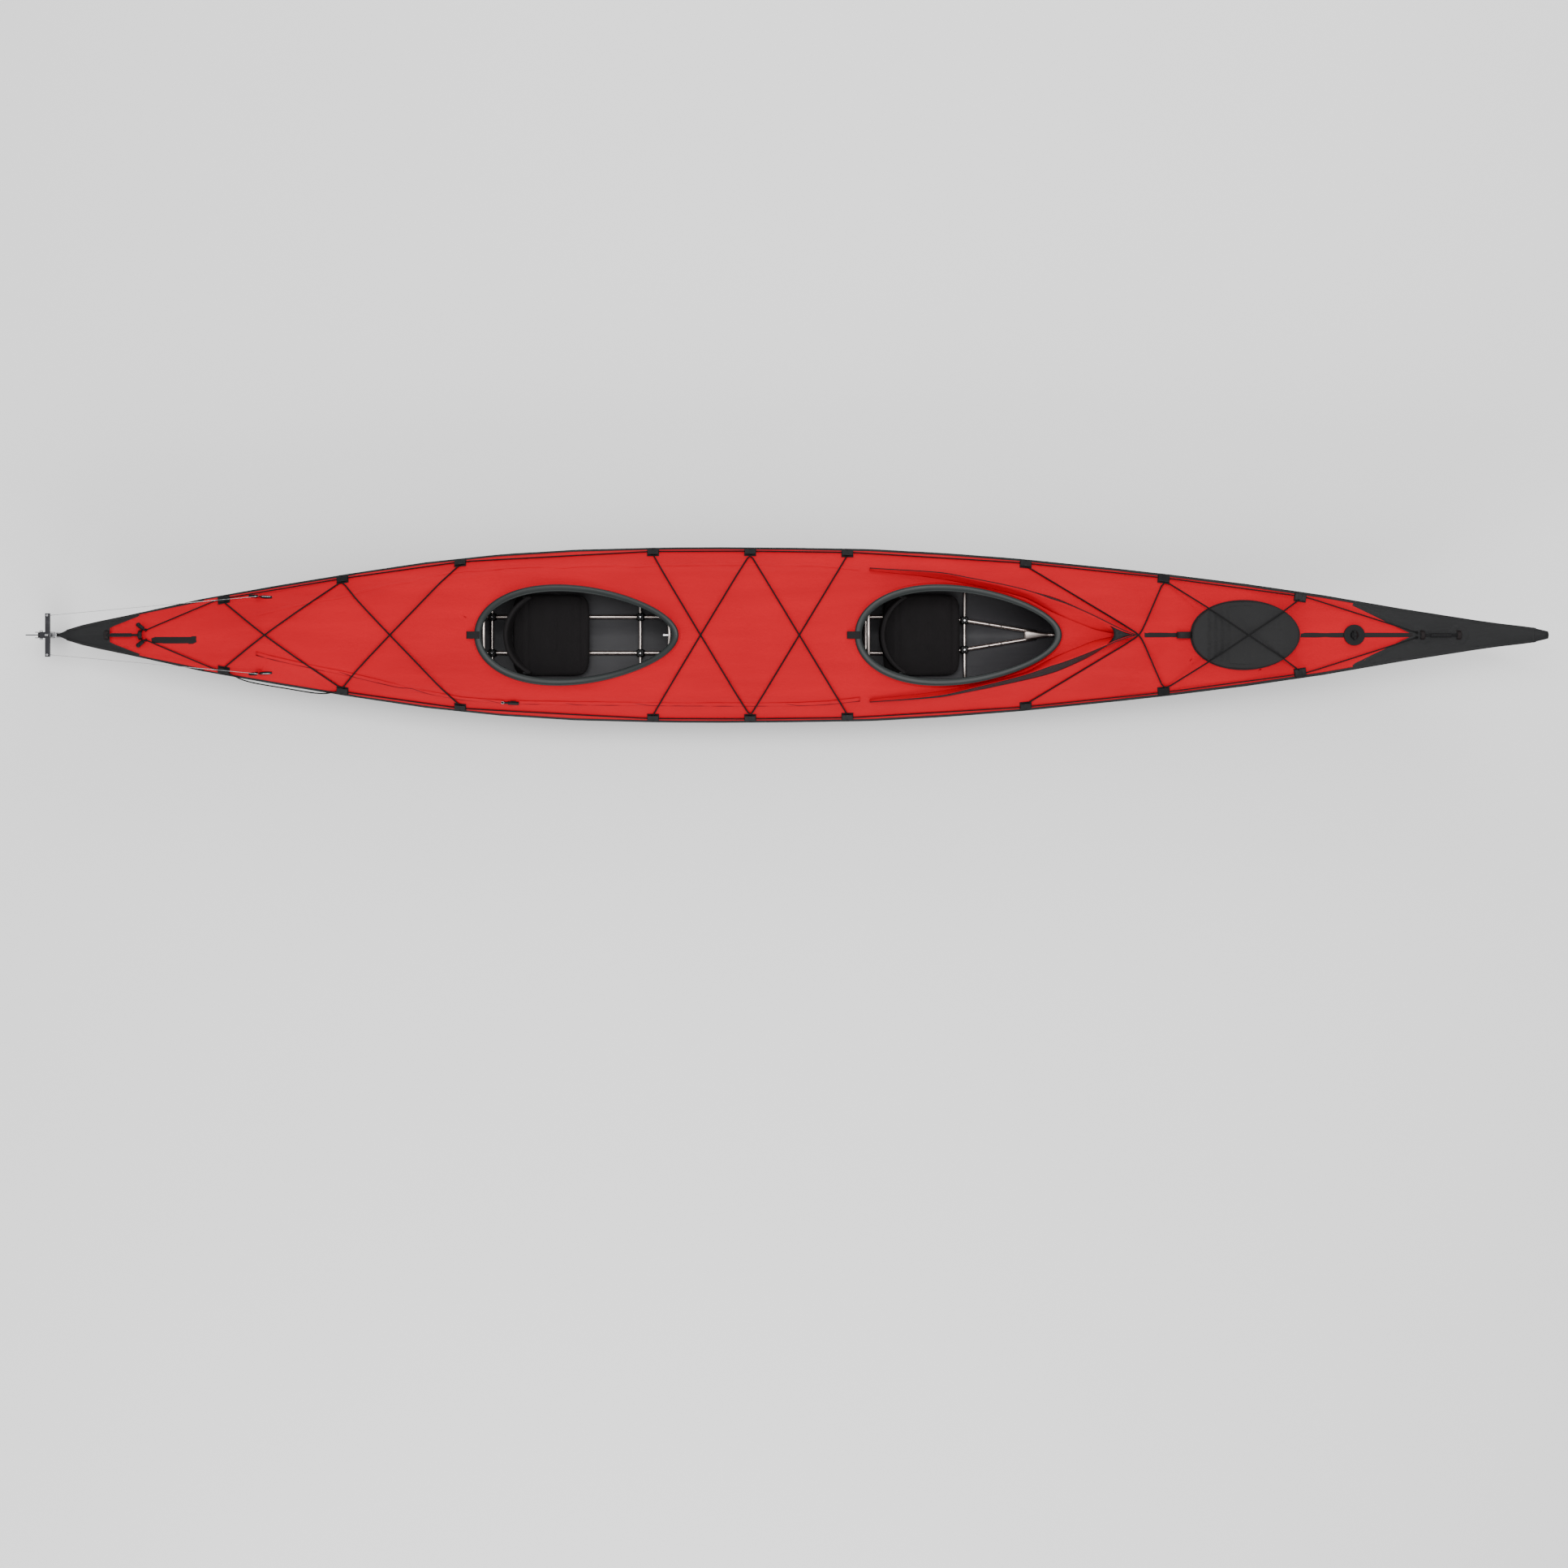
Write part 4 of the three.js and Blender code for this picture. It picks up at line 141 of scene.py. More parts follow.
SIDES = {"port": 1, "starboard": -1}
DECK_NODES = ("deck_skin", "bow_cover", "stern_cover")
UP = Vector((0, 0, 1))
DOWN = Vector((0, 0, -1))


# ---- Curves and measures --------------------------------------------------------------------------------

def curve_through(pairs):
    """A smooth curve through (place, value) pairs that never overshoots them."""
    steps = [(b[1] - a[1]) / (b[0] - a[0]) for a, b in zip(pairs, pairs[1:])]
    slopes = [steps[0]]
    for before, after in zip(steps, steps[1:]):
        slopes.append(0 if before * after <= 0 else 2 * before * after / (before + after))
    slopes.append(steps[-1])

    def value(place):
        s = min(max(place, pairs[0][0]), pairs[-1][0])
        i = next((k for k in range(len(steps)) if pairs[k + 1][0] >= s), len(steps) - 1)
        width = pairs[i + 1][0] - pairs[i][0]
        t = (s - pairs[i][0]) / width
        low = (1 + 2 * t) * (1 - t) ** 2 * pairs[i][1] + t * (1 - t) ** 2 * width * slopes[i]
        high = t * t * (3 - 2 * t) * pairs[i + 1][1] + t * t * (t - 1) * width * slopes[i + 1]
        return low + high

    return value


seam_beam = curve_through(SEAM_BEAM_SHARES)
seam_height = curve_through(SEAM_HEIGHT_SHARES)


def seam_y(x):
    return HALF_BEAM * seam_beam(x / HALF)


def seam_z(x):
    return SEAM_HEIGHT * seam_height(x / HALF)


def mix(a, b, t):
    return a + (b - a) * t


def clamp(value):
    return min(1.0, max(0.0, value))


def squared(value, power):
    """Bends a sine or cosine towards a square wave, for sections with soft corners."""
    return math.copysign(abs(value) ** power, value)


def circle(count):
    """The cosine and sine of even steps round."""
    return [(math.cos(2 * math.pi * k / count), math.sin(2 * math.pi * k / count)) for k in range(count)]


def hump(value, middle, width):
    """A smooth rise to 1 at the middle."""
    return math.exp(-(((value - middle) / width) ** 2))


boxes = {}


def box(node):
    """The low and high corners of a plain part, measured once."""
    if node not in boxes:
        boxes[node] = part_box(node)
    return boxes[node]


def plain_mesh(node):
    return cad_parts[node].data


# ---- Finishes -------------------------------------------------------------------------------------------

class Wire:
    """A node's output that can stand in a Python expression."""

    def __init__(self, finish, socket):
        self.finish = finish
        self.socket = socket

    def calc(self, operation, *values):
        return self.finish.node("ShaderNodeMath", {"operation": operation}, dict(enumerate(values)))

    def __add__(self, other):
        return self.calc("ADD", self, other)

    def __radd__(self, other):
        return self.calc("ADD", other, self)

    def __sub__(self, other):
        return self.calc("SUBTRACT", self, other)

    def __rsub__(self, other):
        return self.calc("SUBTRACT", other, self)

    def __mul__(self, other):
        return self.calc("MULTIPLY", self, other)

    def __rmul__(self, other):
        return self.calc("MULTIPLY", other, self)

    def __abs__(self):
        return self.calc("ABSOLUTE", self)

    def sine(self):
        return self.calc("SINE", self)

    def above(self, edge, softness):
        """0 below edge, 1 above it, with a soft step between."""
        settings = {"interpolation_type": "SMOOTHSTEP"}
        return self.finish.node("ShaderNodeMapRange", settings, {0: self, 1: edge - softness, 2: edge + softness})


class Finish:
    """A material for one kind of surface."""

    def __init__(self, name, colour, roughness, metallic=0.0, **plain):
        self.material = bpy.data.materials.new(name)
        self.material.use_nodes = True
        self.tree = self.material.node_tree
        self.surface = self.tree.nodes["Principled BSDF"]
        self.colour = tuple(colour) + (1.0,)
        self.material.diffuse_color = self.colour
        self.set("Base Color", self.colour)
        self.set("Roughness", roughness)
        self.set("Metallic", metallic)
        for socket, value in plain.items():
            self.set(socket.replace("_", " "), value)
        self.place = self.node("ShaderNodeTexCoord", output="Object")

    def join(self, socket, value):
        """Links a wire to a socket, or sets a plain value on it."""
        if isinstance(value, Wire):
            self.tree.links.new(value.socket, socket)
        else:
            socket.default_value = value

    def node(self, kind, settings=None, values=None, output=0):
        made = self.tree.nodes.new(kind)
        for key, value in (settings or {}).items():
            setattr(made, key, value)
        for key, value in (values or {}).items():
            self.join(made.inputs[key], value)
        return Wire(self, made.outputs[output])

    def set(self, socket, value):
        self.join(self.surface.inputs[socket], value)

    def grain(self, scale, detail=2.0):
        return self.node("ShaderNodeTexNoise", None, {"Vector": self.place, "Scale": scale, "Detail": detail})

    def streaks(self, along, across, up, detail=3.0):
        """Grain that is finer along some axes than along others."""
        place = self.node("ShaderNodeMapping", None, {"Vector": self.place, "Scale": (along, across, up)})
        return self.node("ShaderNodeTexNoise", None, {"Vector": place, "Scale": 1.0, "Detail": detail})

    def axis(self, name, place=None):
        return self.node("ShaderNodeSeparateXYZ", None, {0: place or self.place}, name)

    def weave(self, pitch):
        """A plain weave, over and under along both directions of the cloth."""
        turn = 2 * math.pi / pitch
        warp = (self.axis("X") * turn).sine()
        weft = ((self.axis("Y") + self.axis("Z")) * turn).sine()
        return warp * weft

    def tint(self, amount, dark, light):
        """The base colour, darkened or lightened where amount is 0 or 1."""
        low, high = (tuple(min(1.0, c * share) for c in self.colour[:3]) + (1.0,) for share in (dark, light))
        colour_sockets = {0: amount, 6: low, 7: high}
        return self.node("ShaderNodeMix", {"data_type": "RGBA"}, colour_sockets, 2)

    def look(self, tint, roughness, bump):
        """Sets what varies: (amount, dark, light), a roughness and (height, strength, distance)."""
        self.set("Base Color", self.tint(*tint))
        if roughness:
            self.set("Roughness", roughness)
        relief = dict(zip(("Height", "Strength", "Distance"), bump))
        self.set("Normal", self.node("ShaderNodeBump", None, relief, "Normal"))
        return self.material


def deck_cloth(colours):
    finish = Finish("deck cloth", colours.deck, 0.62, Specular_IOR_Level=0.09)
    folds = finish.streaks(2.2, 15.0, 9.0)
    patches = finish.grain(3.0)
    cross = finish.streaks(14.0, 5.0, 5.0, 2.0)
    relief = folds + cross * 0.35 + finish.weave(0.0011) * 0.02
    return finish.look((patches * 0.4 + folds * 0.6, 0.76, 1.2), 0.5 + patches * 0.2, (relief, 0.8, 0.009))


def hull_coat(colours):
    finish = Finish("hull coating", colours.hull, 0.5, Specular_IOR_Level=0.32)
    ripples = finish.streaks(1.6, 9.0, 13.0)
    marks = finish.streaks(5.0, 40.0, 40.0, 4.0)
    dust = finish.grain(7.0, 4.0)
    # The lowest 5 cm are lighter and rougher: scuffs along the keel, and painted light bounced up from the floor.
    keel_scuffs_and_bounce_light = (0.05 - finish.axis("Z")).above(0.0, 0.03)
    # The colour mixes marks, dust and that lighter band of scuffs and painted bounce light.
    wear_and_bounce_light = marks * 0.4 + dust * 0.4 + keel_scuffs_and_bounce_light * 0.3
    relief = ripples + marks * 0.06 + finish.weave(0.0016) * 0.015
    return finish.look((wear_and_bounce_light, 0.8, 1.35), 0.27 + dust * 0.2 + keel_scuffs_and_bounce_light * 0.15, (relief, 0.5, 0.006))


def cover_coat(colours):
    finish = Finish("cover coating", colours.cover, 0.5, Specular_IOR_Level=0.2)
    folds = finish.streaks(5.0, 22.0, 12.0)
    dust = finish.grain(11.0, 4.0)
    relief = folds + dust * 0.1 + finish.weave(0.0016) * 0.02
    return finish.look((dust, 0.8, 1.3), 0.3 + dust * 0.2, (relief, 0.8, 0.007))


def rim_coat(colours):
    finish = Finish("rim wrap", colours.rim, 0.4, Specular_IOR_Level=0.26)
    grain = finish.grain(420.0)
    wear = finish.grain(9.0, 3.0)
    return finish.look((wear, 0.82, 1.25), 0.3 + wear * 0.16, (grain * 0.4 + wear, 0.22, 0.0012))


def tape_cloth(colours):
    finish = Finish("seam tape", colours.tape, 0.6, Specular_IOR_Level=0.14)
    fibres = finish.streaks(900.0, 120.0, 120.0, 2.0)
    shade = finish.grain(6.0)
    return finish.look((shade, 0.85, 1.2), 0.52 + shade * 0.15, (fibres, 0.25, 0.0005))


def seat_cloth(colours):
    finish = Finish("seat cloth", colours.seat, 0.82, Specular_IOR_Level=0.16)
    creases = finish.streaks(26.0, 7.0, 9.0)
    fuzz = finish.grain(13.0, 3.0)
    relief = creases * 0.8 + finish.weave(0.0018) * 0.12
    return finish.look((fuzz * 0.6 + creases * 0.4, 0.75, 1.4), 0.75 + fuzz * 0.15, (relief, 0.6, 0.0035))


def hatch_cloth(colours):
    finish = Finish("hatch cloth", colours.hatch, 0.72, Specular_IOR_Level=0.2)
    creases = finish.streaks(10.0, 14.0, 9.0, 4.0)
    fuzz = finish.grain(17.0, 3.0)
    relief = creases + finish.weave(0.0014) * 0.05
    return finish.look((fuzz * 0.5 + creases * 0.5, 0.78, 1.3), 0.62 + fuzz * 0.2, (relief, 0.5, 0.004))


def air_cloth(colours):
    finish = Finish("air tube cloth", colours.hull, 0.6)
    shade = finish.grain(5.0, 3.0)
    return finish.look((shade, 0.8, 1.2), None, (shade + finish.weave(0.0014) * 0.03, 0.3, 0.003))


def moulding(colours):
    finish = Finish("black moulding", colours.moulding, 0.42, Specular_IOR_Level=0.15)
    grain = finish.grain(900.0)
    wear = finish.grain(60.0, 3.0)
    return finish.look((wear, 0.8, 1.4), 0.34 + wear * 0.2, (grain, 0.2, 0.0003))


def tube_alloy(colours):
    finish = Finish("anodised tube", colours.alloy, 0.28, 1.0)
    drawn = finish.streaks(4.0, 700.0, 700.0)
    smudges = finish.grain(22.0, 3.0)
    return finish.look((smudges, 0.82, 1.08), 0.2 + drawn * 0.12 + smudges * 0.1, (drawn, 0.12, 0.0003))


def bright_steel(colours):
    finish = Finish("bright steel", colours.steel, 0.22, 1.0)
    strands = finish.streaks(700.0, 700.0, 160.0, 2.0)
    return finish.look((strands, 0.8, 1.05), 0.16 + strands * 0.2, (strands, 0.05, 0.0001))


def dark_metal(colours):
    finish = Finish("dark anodised plate", colours.rudder, 0.4, 0.7)
    brushed = finish.streaks(60.0, 300.0, 900.0)
    scratches = finish.streaks(25.0, 40.0, 600.0, 2.0).above(0.62, 0.04)
    smudges = finish.grain(14.0, 3.0)
    shade = smudges * 0.6 + scratches * 0.4
    return finish.look((shade, 0.8, 1.5), 0.3 + smudges * 0.2 + brushed * 0.1,
                       (brushed - scratches * 0.3, 0.15, 0.0003))


def braid(colours):
    finish = Finish("braided cord", colours.cord, 0.68, Specular_IOR_Level=0.15)
    pitch, strands_round = 0.0042, 3
    along = finish.node("ShaderNodeTexCoord", output="UV")
    u = finish.axis("X", along) * (2 * math.pi / pitch)
    v = finish.axis("Y", along) * (2 * math.pi * strands_round)
    strands = abs((u + v).sine() * (u - v).sine())
    return finish.look((strands, 0.8, 1.3), 0.58 + strands * 0.15, (strands, 0.35, 0.0004))


finishes = {}


def made_of(finish):
    """Each finish is made once, from the colours of the sidebar."""
    if finish not in finishes:
        finishes[finish] = finish(bpy.context.scene.kayak_colours)
    return finishes[finish]


# ---- Pieces ---------------------------------------------------------------------------------------------

def modify(made, kind, **settings):
    added = made.modifiers.new(kind.lower(), kind)
    for key, value in settings.items():
        setattr(added, key, value)


def break_edges(made, width, segments, degrees):
    modify(made, "BEVEL", width=width, segments=segments, limit_method="ANGLE", angle_limit=math.radians(degrees))


def placed(name, mesh, finish, body):
    """Puts a mesh into the scene, on the body that it moves with."""
    mesh.materials.append(made_of(finish))
    mesh.shade_smooth()
    made = bpy.data.objects.new(name, mesh)
    bpy.context.scene.collection.objects.link(made)
    if body:
        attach(made, body)
    return made


def piece(name, points, faces, finish, body="hull", thickness=0.0, offset=0.0, uvs=None):
    mesh = bpy.data.meshes.new(name)
    mesh.from_pydata([tuple(p) for p in points], [], faces)
    if uvs:
        layer = mesh.uv_layers.new(name="along")
        for polygon, spots in zip(mesh.polygons, uvs):
            for loop, spot in zip(polygon.loop_indices, spots):
                layer.data[loop].uv = spot
    made = placed(name, mesh, finish, body)
    if thickness:
        modify(made, "SOLIDIFY", thickness=thickness, offset=offset)
    return made


def whole_mesh(node):
    mesh = bmesh.new()
    mesh.from_mesh(plain_mesh(node))
    bmesh.ops.remove_doubles(mesh, verts=mesh.verts, dist=0.00002)
    return mesh


def surface_tree(meshes):
    points = []
    faces = []
    for mesh in meshes:
        start = len(points)
        points += [v.co.copy() for v in mesh.vertices]
        faces += [[start + i for i in f.vertices] for f in mesh.polygons]
    return BVHTree.FromPolygons(points, faces)


cad_deck = surface_tree([plain_mesh(name) for name in DECK_NODES])
visible = {"deck": cad_deck}


def on_tree(tree, x, y):
    hit = tree.ray_cast(Vector((x, y, 1.0)), DOWN)[0]
    if hit is None:
        hit = tree.find_nearest(Vector((x, y, 0.3)))[0]
    return hit.z


def plain_deck(x, y):
    """Height of the plain deck."""
    return on_tree(cad_deck, x, y)


def over_deck(x, y):
    """Height of the deck as it is seen, and never under the plain one."""
    return max(on_tree(visible["deck"], x, y), plain_deck(x, y))


def fine_sheet(node, longest, rounds, keep=None, crease=60.0, ripple=None):
    """A fine, softened copy of a plain skin. Its edges and sharp folds stay where they are."""
    mesh = whole_mesh(node)
    if keep:
        bmesh.ops.delete(mesh, geom=[f for f in mesh.faces if not keep(f)], context="FACES")
    for _ in range(7):
        long_edges = [e for e in mesh.edges if e.calc_length() > longest]
        if not long_edges:
            break
        bmesh.ops.subdivide_edges(mesh, edges=long_edges, cuts=1)
        bmesh.ops.triangulate(mesh, faces=[f for f in mesh.faces if len(f.verts) > 3])
    limit = math.radians(crease)
    held = set()
    for e in mesh.edges:
        if len(e.link_faces) != 2 or e.calc_face_angle(0) > limit:
            held.update(e.verts)
    free = [v for v in mesh.verts if v not in held]
    for _ in range(rounds):
        bmesh.ops.smooth_vert(mesh, verts=free, factor=0.5, use_axis_x=True, use_axis_y=True, use_axis_z=True)
    if ripple:
        mesh.normal_update()
        moves = [(v, v.normal * ripple(v.co)) for v in free]
        for v, move in moves:
            v.co += move
    return mesh


def sheet_piece(name, mesh, finish, node, thickness=0.0, body="hull"):
    data = bpy.data.meshes.new(name)
    mesh.to_mesh(data)
    mesh.free()
    made = placed(name, data, finish, body)
    if thickness:
        modify(made, "SOLIDIFY", thickness=thickness, offset=-1.0)
    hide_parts(node)
    return made


def rounded(node, finish, body="hull", bevel=0.0006):
    """A rigid part with its edges broken, in place of the plain one."""
    mesh = whole_mesh(node)
    bmesh.ops.dissolve_limit(mesh, angle_limit=math.radians(1.0), verts=mesh.verts, edges=mesh.edges)
    made = sheet_piece(f"{node}_finished", mesh, finish, node, 0.0, body)
    made.data.shade_flat()
    break_edges(made, bevel, 2, 35)


def recoloured(node, finish):
    """A plain part that is shown as it is, in its finish."""
    data = plain_mesh(node)
    data.materials.clear()
    data.materials.append(made_of(finish))
    data.shade_smooth()


def transported(points, closed=False):
    """Side and up vectors along a line, turned as little as possible."""
    count = len(points)
    tangents = []
    for i in range(count):
        before = points[(i - 1) % count if closed else max(0, i - 1)]
        after = points[(i + 1) % count if closed else min(count - 1, i + 1)]
        tangents.append((after - before).normalized())
    helper = Vector((0, 0, 1)) if abs(tangents[0].z) < 0.9 else Vector((1, 0, 0))
    side = tangents[0].cross(helper).normalized()
    frames = []
    for tangent in tangents:
        side = (side - tangent * side.dot(tangent)).normalized()
        frames.append((side, tangent.cross(side)))
    return frames


def rope(name, points, radius, finish, body="hull", sides=10, closed=False, swell=None):
    """A round cord or tube along points, with a lengthways and a round-ways coordinate."""
    count = len(points)
    length = 0.0
    lengths = [0.0]
    for a, b in zip(points, points[1:]):
        length += (b - a).length
        lengths.append(length)
    verts = []
    for i, (point, (side, up)) in enumerate(zip(points, transported(points, closed))):
        r = radius * (swell(lengths[i] / length) if swell else 1)
        verts += [point + side * (r * c) + up * (r * s) for c, s in circle(sides)]
    faces = []
    uvs = []
    for i in range(count if closed else count - 1):
        j = (i + 1) % count
        end = lengths[j] if j else length + (points[0] - points[-1]).length
        for k in range(sides):
            m = (k + 1) % sides
            near, far = k / sides, (k + 1) / sides
            faces.append((i * sides + k, i * sides + m, j * sides + m, j * sides + k))
            uvs.append(((lengths[i], near), (lengths[i], far), (end, far), (end, near)))
    if not closed:
        faces += ring_ends(count, sides)
        uvs += [((0, 0),) * sides, ((length, 0),) * sides]
    return piece(name, verts, faces, finish, body, uvs=uvs)


def spread(points, step):
    """The same line with more points, no further apart than a step."""
    line = [points[0]]
    for a, b in zip(points, points[1:]):
        parts = max(1, math.ceil((b - a).length / step))
        line += [a.lerp(b, (k + 1) / parts) for k in range(parts)]
    return line


def smoothed(line, closed=False):
    """Each point is drawn towards its neighbours. The ends of an open line are held."""
    ring = line[-1:] + line + line[:1] if closed else line
    drawn = [(a + b * 2 + c) / 4 for a, b, c in zip(ring, ring[1:], ring[2:])]
    return drawn if closed else line[:1] + drawn + line[-1:]


def eased(points, step, rounds=3):
    """A line with its corners eased."""
    line = spread(points, step)
    for _ in range(rounds):
        line = smoothed(line)
    return line


def grid_faces(rows, columns, closed=False):
    faces = []
    for i in range(rows - 1):
        for k in range(columns if closed else columns - 1):
            m = (k + 1) % columns
            faces.append((i * columns + k, i * columns + m, (i + 1) * columns + m, (i + 1) * columns + k))
    return faces


def ring_ends(rows, columns):
    """The faces that close a tube of rings at its first and last ring."""
    return [tuple(reversed(range(columns))), tuple(range((rows - 1) * columns, rows * columns))]


def laid(name, rows, lift, finish):
    """A thin strip on the deck: rows of (x, y), raised by lift, its border let down into the deck."""
    columns = len(rows[0])
    points = []
    for i, row in enumerate(rows):
        for k, (x, y) in enumerate(row):
            border = i in (0, len(rows) - 1) or k in (0, columns - 1)
            points.append(Vector((x, y, over_deck(x, y) + (-BORDER_DEPTH if border else lift))))
    piece(name, points, grid_faces(len(rows), columns), finish)


def strip_rows(line, width, step=0.02):
    """Rows of five across a strip that follows a line of (x, y) on the deck."""
    path = spread([Vector((x, y, 0)) for x, y in line], step)
    rows = []
    for i, point in enumerate(path):
        along = (path[min(i + 1, len(path) - 1)] - path[max(i - 1, 0)]).normalized()
        across = Vector((-along.y, along.x, 0))
        row = [point + across * (width * (k / 4 - 0.5)) for k in range(5)]
        rows.append([(p.x, p.y) for p in row])
    return rows


def webbing(name, rows, finish, thickness, body="hull"):
    """A strap of even thickness from rows of points."""
    points = [p for row in rows for p in row]
    return piece(name, points, grid_faces(len(rows), len(rows[0])), finish, body, thickness)


def solid(name, finish, shapes, body="hull", bevel=0.0, place=None):
    """A piece made of simple shapes, then turned and moved by place."""
    mesh = bmesh.new()
    for draw in shapes:
        draw(mesh)
    if place is not None:
        mesh.transform(place)
    bmesh.ops.recalc_face_normals(mesh, faces=mesh.faces)
    data = bpy.data.meshes.new(name)
    mesh.to_mesh(data)
    mesh.free()
    made = placed(name, data, finish, body)
    if bevel:
        break_edges(made, bevel, 3, 40)
    modify(made, "WEIGHTED_NORMAL", keep_sharp=True)


def block(low, high):
    size = [b - a for a, b in zip(low, high)]
    middle = [(a + b) / 2 for a, b in zip(low, high)]
    place = Matrix.Translation(middle) @ Matrix.Diagonal((*size, 1))
    return lambda mesh: bmesh.ops.create_cube(mesh, size=1, matrix=place)


def rod(start, end, radius, sides=20, end_radius=None):
    start, end = Vector(start), Vector(end)
    turn = (end - start).to_track_quat("Z", "Y").to_matrix().to_4x4()
    return lambda mesh: bmesh.ops.create_cone(
        mesh, cap_ends=True, segments=sides, radius1=radius, radius2=end_radius or radius,
        depth=(end - start).length, matrix=Matrix.Translation((start + end) / 2) @ turn)


def ball(centre, radius, squeeze=(1, 1, 1)):
    place = Matrix.Translation(centre) @ Matrix.Diagonal((*squeeze, 1))
    return lambda mesh: bmesh.ops.create_uvsphere(mesh, u_segments=24, v_segments=14, radius=radius, matrix=place)


def prism(profile, low_x, high_x):
    """A bar along X with a section of (y, z) corners."""
    def draw(mesh):
        near, far = ([mesh.verts.new((x, y, z)) for y, z in profile] for x in (low_x, high_x))
        mesh.faces.new(near)
        mesh.faces.new(reversed(far))
        for k in range(len(profile)):
            m = (k + 1) % len(profile)
            mesh.faces.new((near[k], near[m], far[m], far[k]))
    return draw


# ---- Hull and deck --------------------------------------------------------------------------------------

def hull_ripple(p):
    """Long soft ripples where the coated cloth bulges over the air tubes."""
    slack = math.exp(-(((p.x + 0.2) / 2.1) ** 4)) * clamp((p.z - 0.03) / 0.08)
    wave = noise.noise(Vector((p.x * 1.3, p.y * 6, p.z * 11)))
    pinch = noise.noise(Vector((p.x * 9, p.y * 5, p.z * 5 + 7)))
    return (wave * 2.2 + pinch * 0.8) * MM * slack


def deck_ripple(p):
    """The deck is tight at its edges and creased where it runs up to the rims."""
    near_edge = clamp((seam_y(p.x) - abs(p.y)) / 0.05)
    middle = math.exp(-(((p.x + 0.3) / 1.35) ** 4))
    along = noise.noise(Vector((p.x * 2.1, p.y * 17, 3.0)))
    across = noise.noise(Vector((p.x * 13, p.y * 5, 9.0)))
    fold = abs(noise.noise(Vector((p.x * 4.5 + p.y * 3, p.y * 9, 15.0))))
    crease = (along * 2.6 + across * 1.1 - fold * 3.0) * mix(0.2, 1.0, middle)
    return max(crease, -0.9) * MM * near_edge


def outward_face(f):
    """Tells the hull skin's outer faces from its inner ones and its top edge."""
    middle = f.calc_center_median()
    if f.normal.z > 0.9 and middle.z > 0.12:
        return False
    past_end = middle.x - min(max(middle.x, -2.5), 2.3)
    away = Vector((past_end, middle.y, middle.z - SEAM_HEIGHT * 1.2))
    return f.normal.dot(away) > 0


def upward_face(f):
    return f.normal.z > 0.08


def keel_corners():
    """The corners of the plain hull's keel line in side view, from stern to bow."""
    mesh = whole_mesh("hull_skin")
    lowest = {}
    for f in mesh.faces:
        for v in f.verts if outward_face(f) else ():
            x = round(v.co.x, 3)
            if x not in lowest or v.co.z < lowest[x].y:
                lowest[x] = v.co.xz
    mesh.free()
    return [lowest[x] for x in sorted(lowest)]


def fair_stems(mesh):
    """Rounds the straight runs of the plain hull's keel line into one curve through its corners."""
    straight_part = (-2.5, 1.9)
    reach = 0.13
    corners = keel_corners()
    runs = [b - a for a, b in zip(corners, corners[1:])]
    leads = [runs[0].normalized()]
    for before, after in zip(runs, runs[1:]):
        share = before.length / (before.length + after.length)
        leads.append(before.normalized().lerp(after.normalized(), share))
    leads.append(runs[-1].normalized())

    def place(spot, i):
        t = clamp((spot - corners[i]).dot(runs[i]) / runs[i].length_squared)
        return (spot - corners[i] - runs[i] * t).length, i, t

    for v in mesh.verts:
        if straight_part[0] < v.co.x < straight_part[1]:
            continue
        spot = v.co.xz
        away, i, t = min(place(spot, k) for k in range(len(runs)) if abs(corners[k].x - spot.x) < 0.5)
        near = max(0.0, 1 - away / reach)
        size = runs[i].length
        bend = leads[i] * (t * (1 - t) ** 2 * size) - leads[i + 1] * (t * t * (1 - t) * size)
        level = corners[i] * ((1 + 2 * t) * (1 - t) ** 2) + corners[i + 1] * (t * t * (3 - 2 * t))
        move = (level + bend - corners[i] - runs[i] * t) * (near * near * (3 - 2 * near))
        v.co += Vector((move.x, 0, move.y))


class KAYAK_OT_hull(bpy.types.Operator):
    """Coated hull skin, keel strip and the air tubes along each side"""

    bl_idname = "kayak.hull"
    bl_label = "Hull"

    def execute(self, context):
        thickness = context.scene.kayak_sizes.hull_cloth
        mesh = fine_sheet("hull_skin", 0.04, 5, outward_face, 50.0, hull_ripple)
        fair_stems(mesh)
        skin = sheet_piece("hull_cloth", mesh, hull_coat, "hull_skin", thickness)
        for word in SIDES:
            tube = fine_sheet(f"sponson_{word}", 0.07, 4)
            sheet_piece(f"air_tube_{word}", tube, air_cloth, f"sponson_{word}")
        self.keel_strip()
        return {"FINISHED"}

    def keel_strip(self):
        """A rubbing strip welded along the keel, thicker where the keel turns up."""
        tree = surface_tree([plain_mesh("hull_skin")])
        rows, columns = 120, 7
        flat_part = (-0.85, 0.17)
        points = []
        for i in range(rows):
            x = mix(-2.66, 2.3, i / (rows - 1))
            for k in range(columns):
                hit = tree.ray_cast(Vector((x, 0.017 * (k / 3 - 1), -0.5)), UP)[0]
                border = k in (0, columns - 1) or i in (0, rows - 1)
                thick = 0.0 if border or flat_part[0] <= x <= flat_part[1] else 0.7 * MM
                points.append(hit + Vector((0, 0, 0.3 * MM - thick)))
        piece("keel_strip", points, grid_faces(rows, columns), tape_cloth)


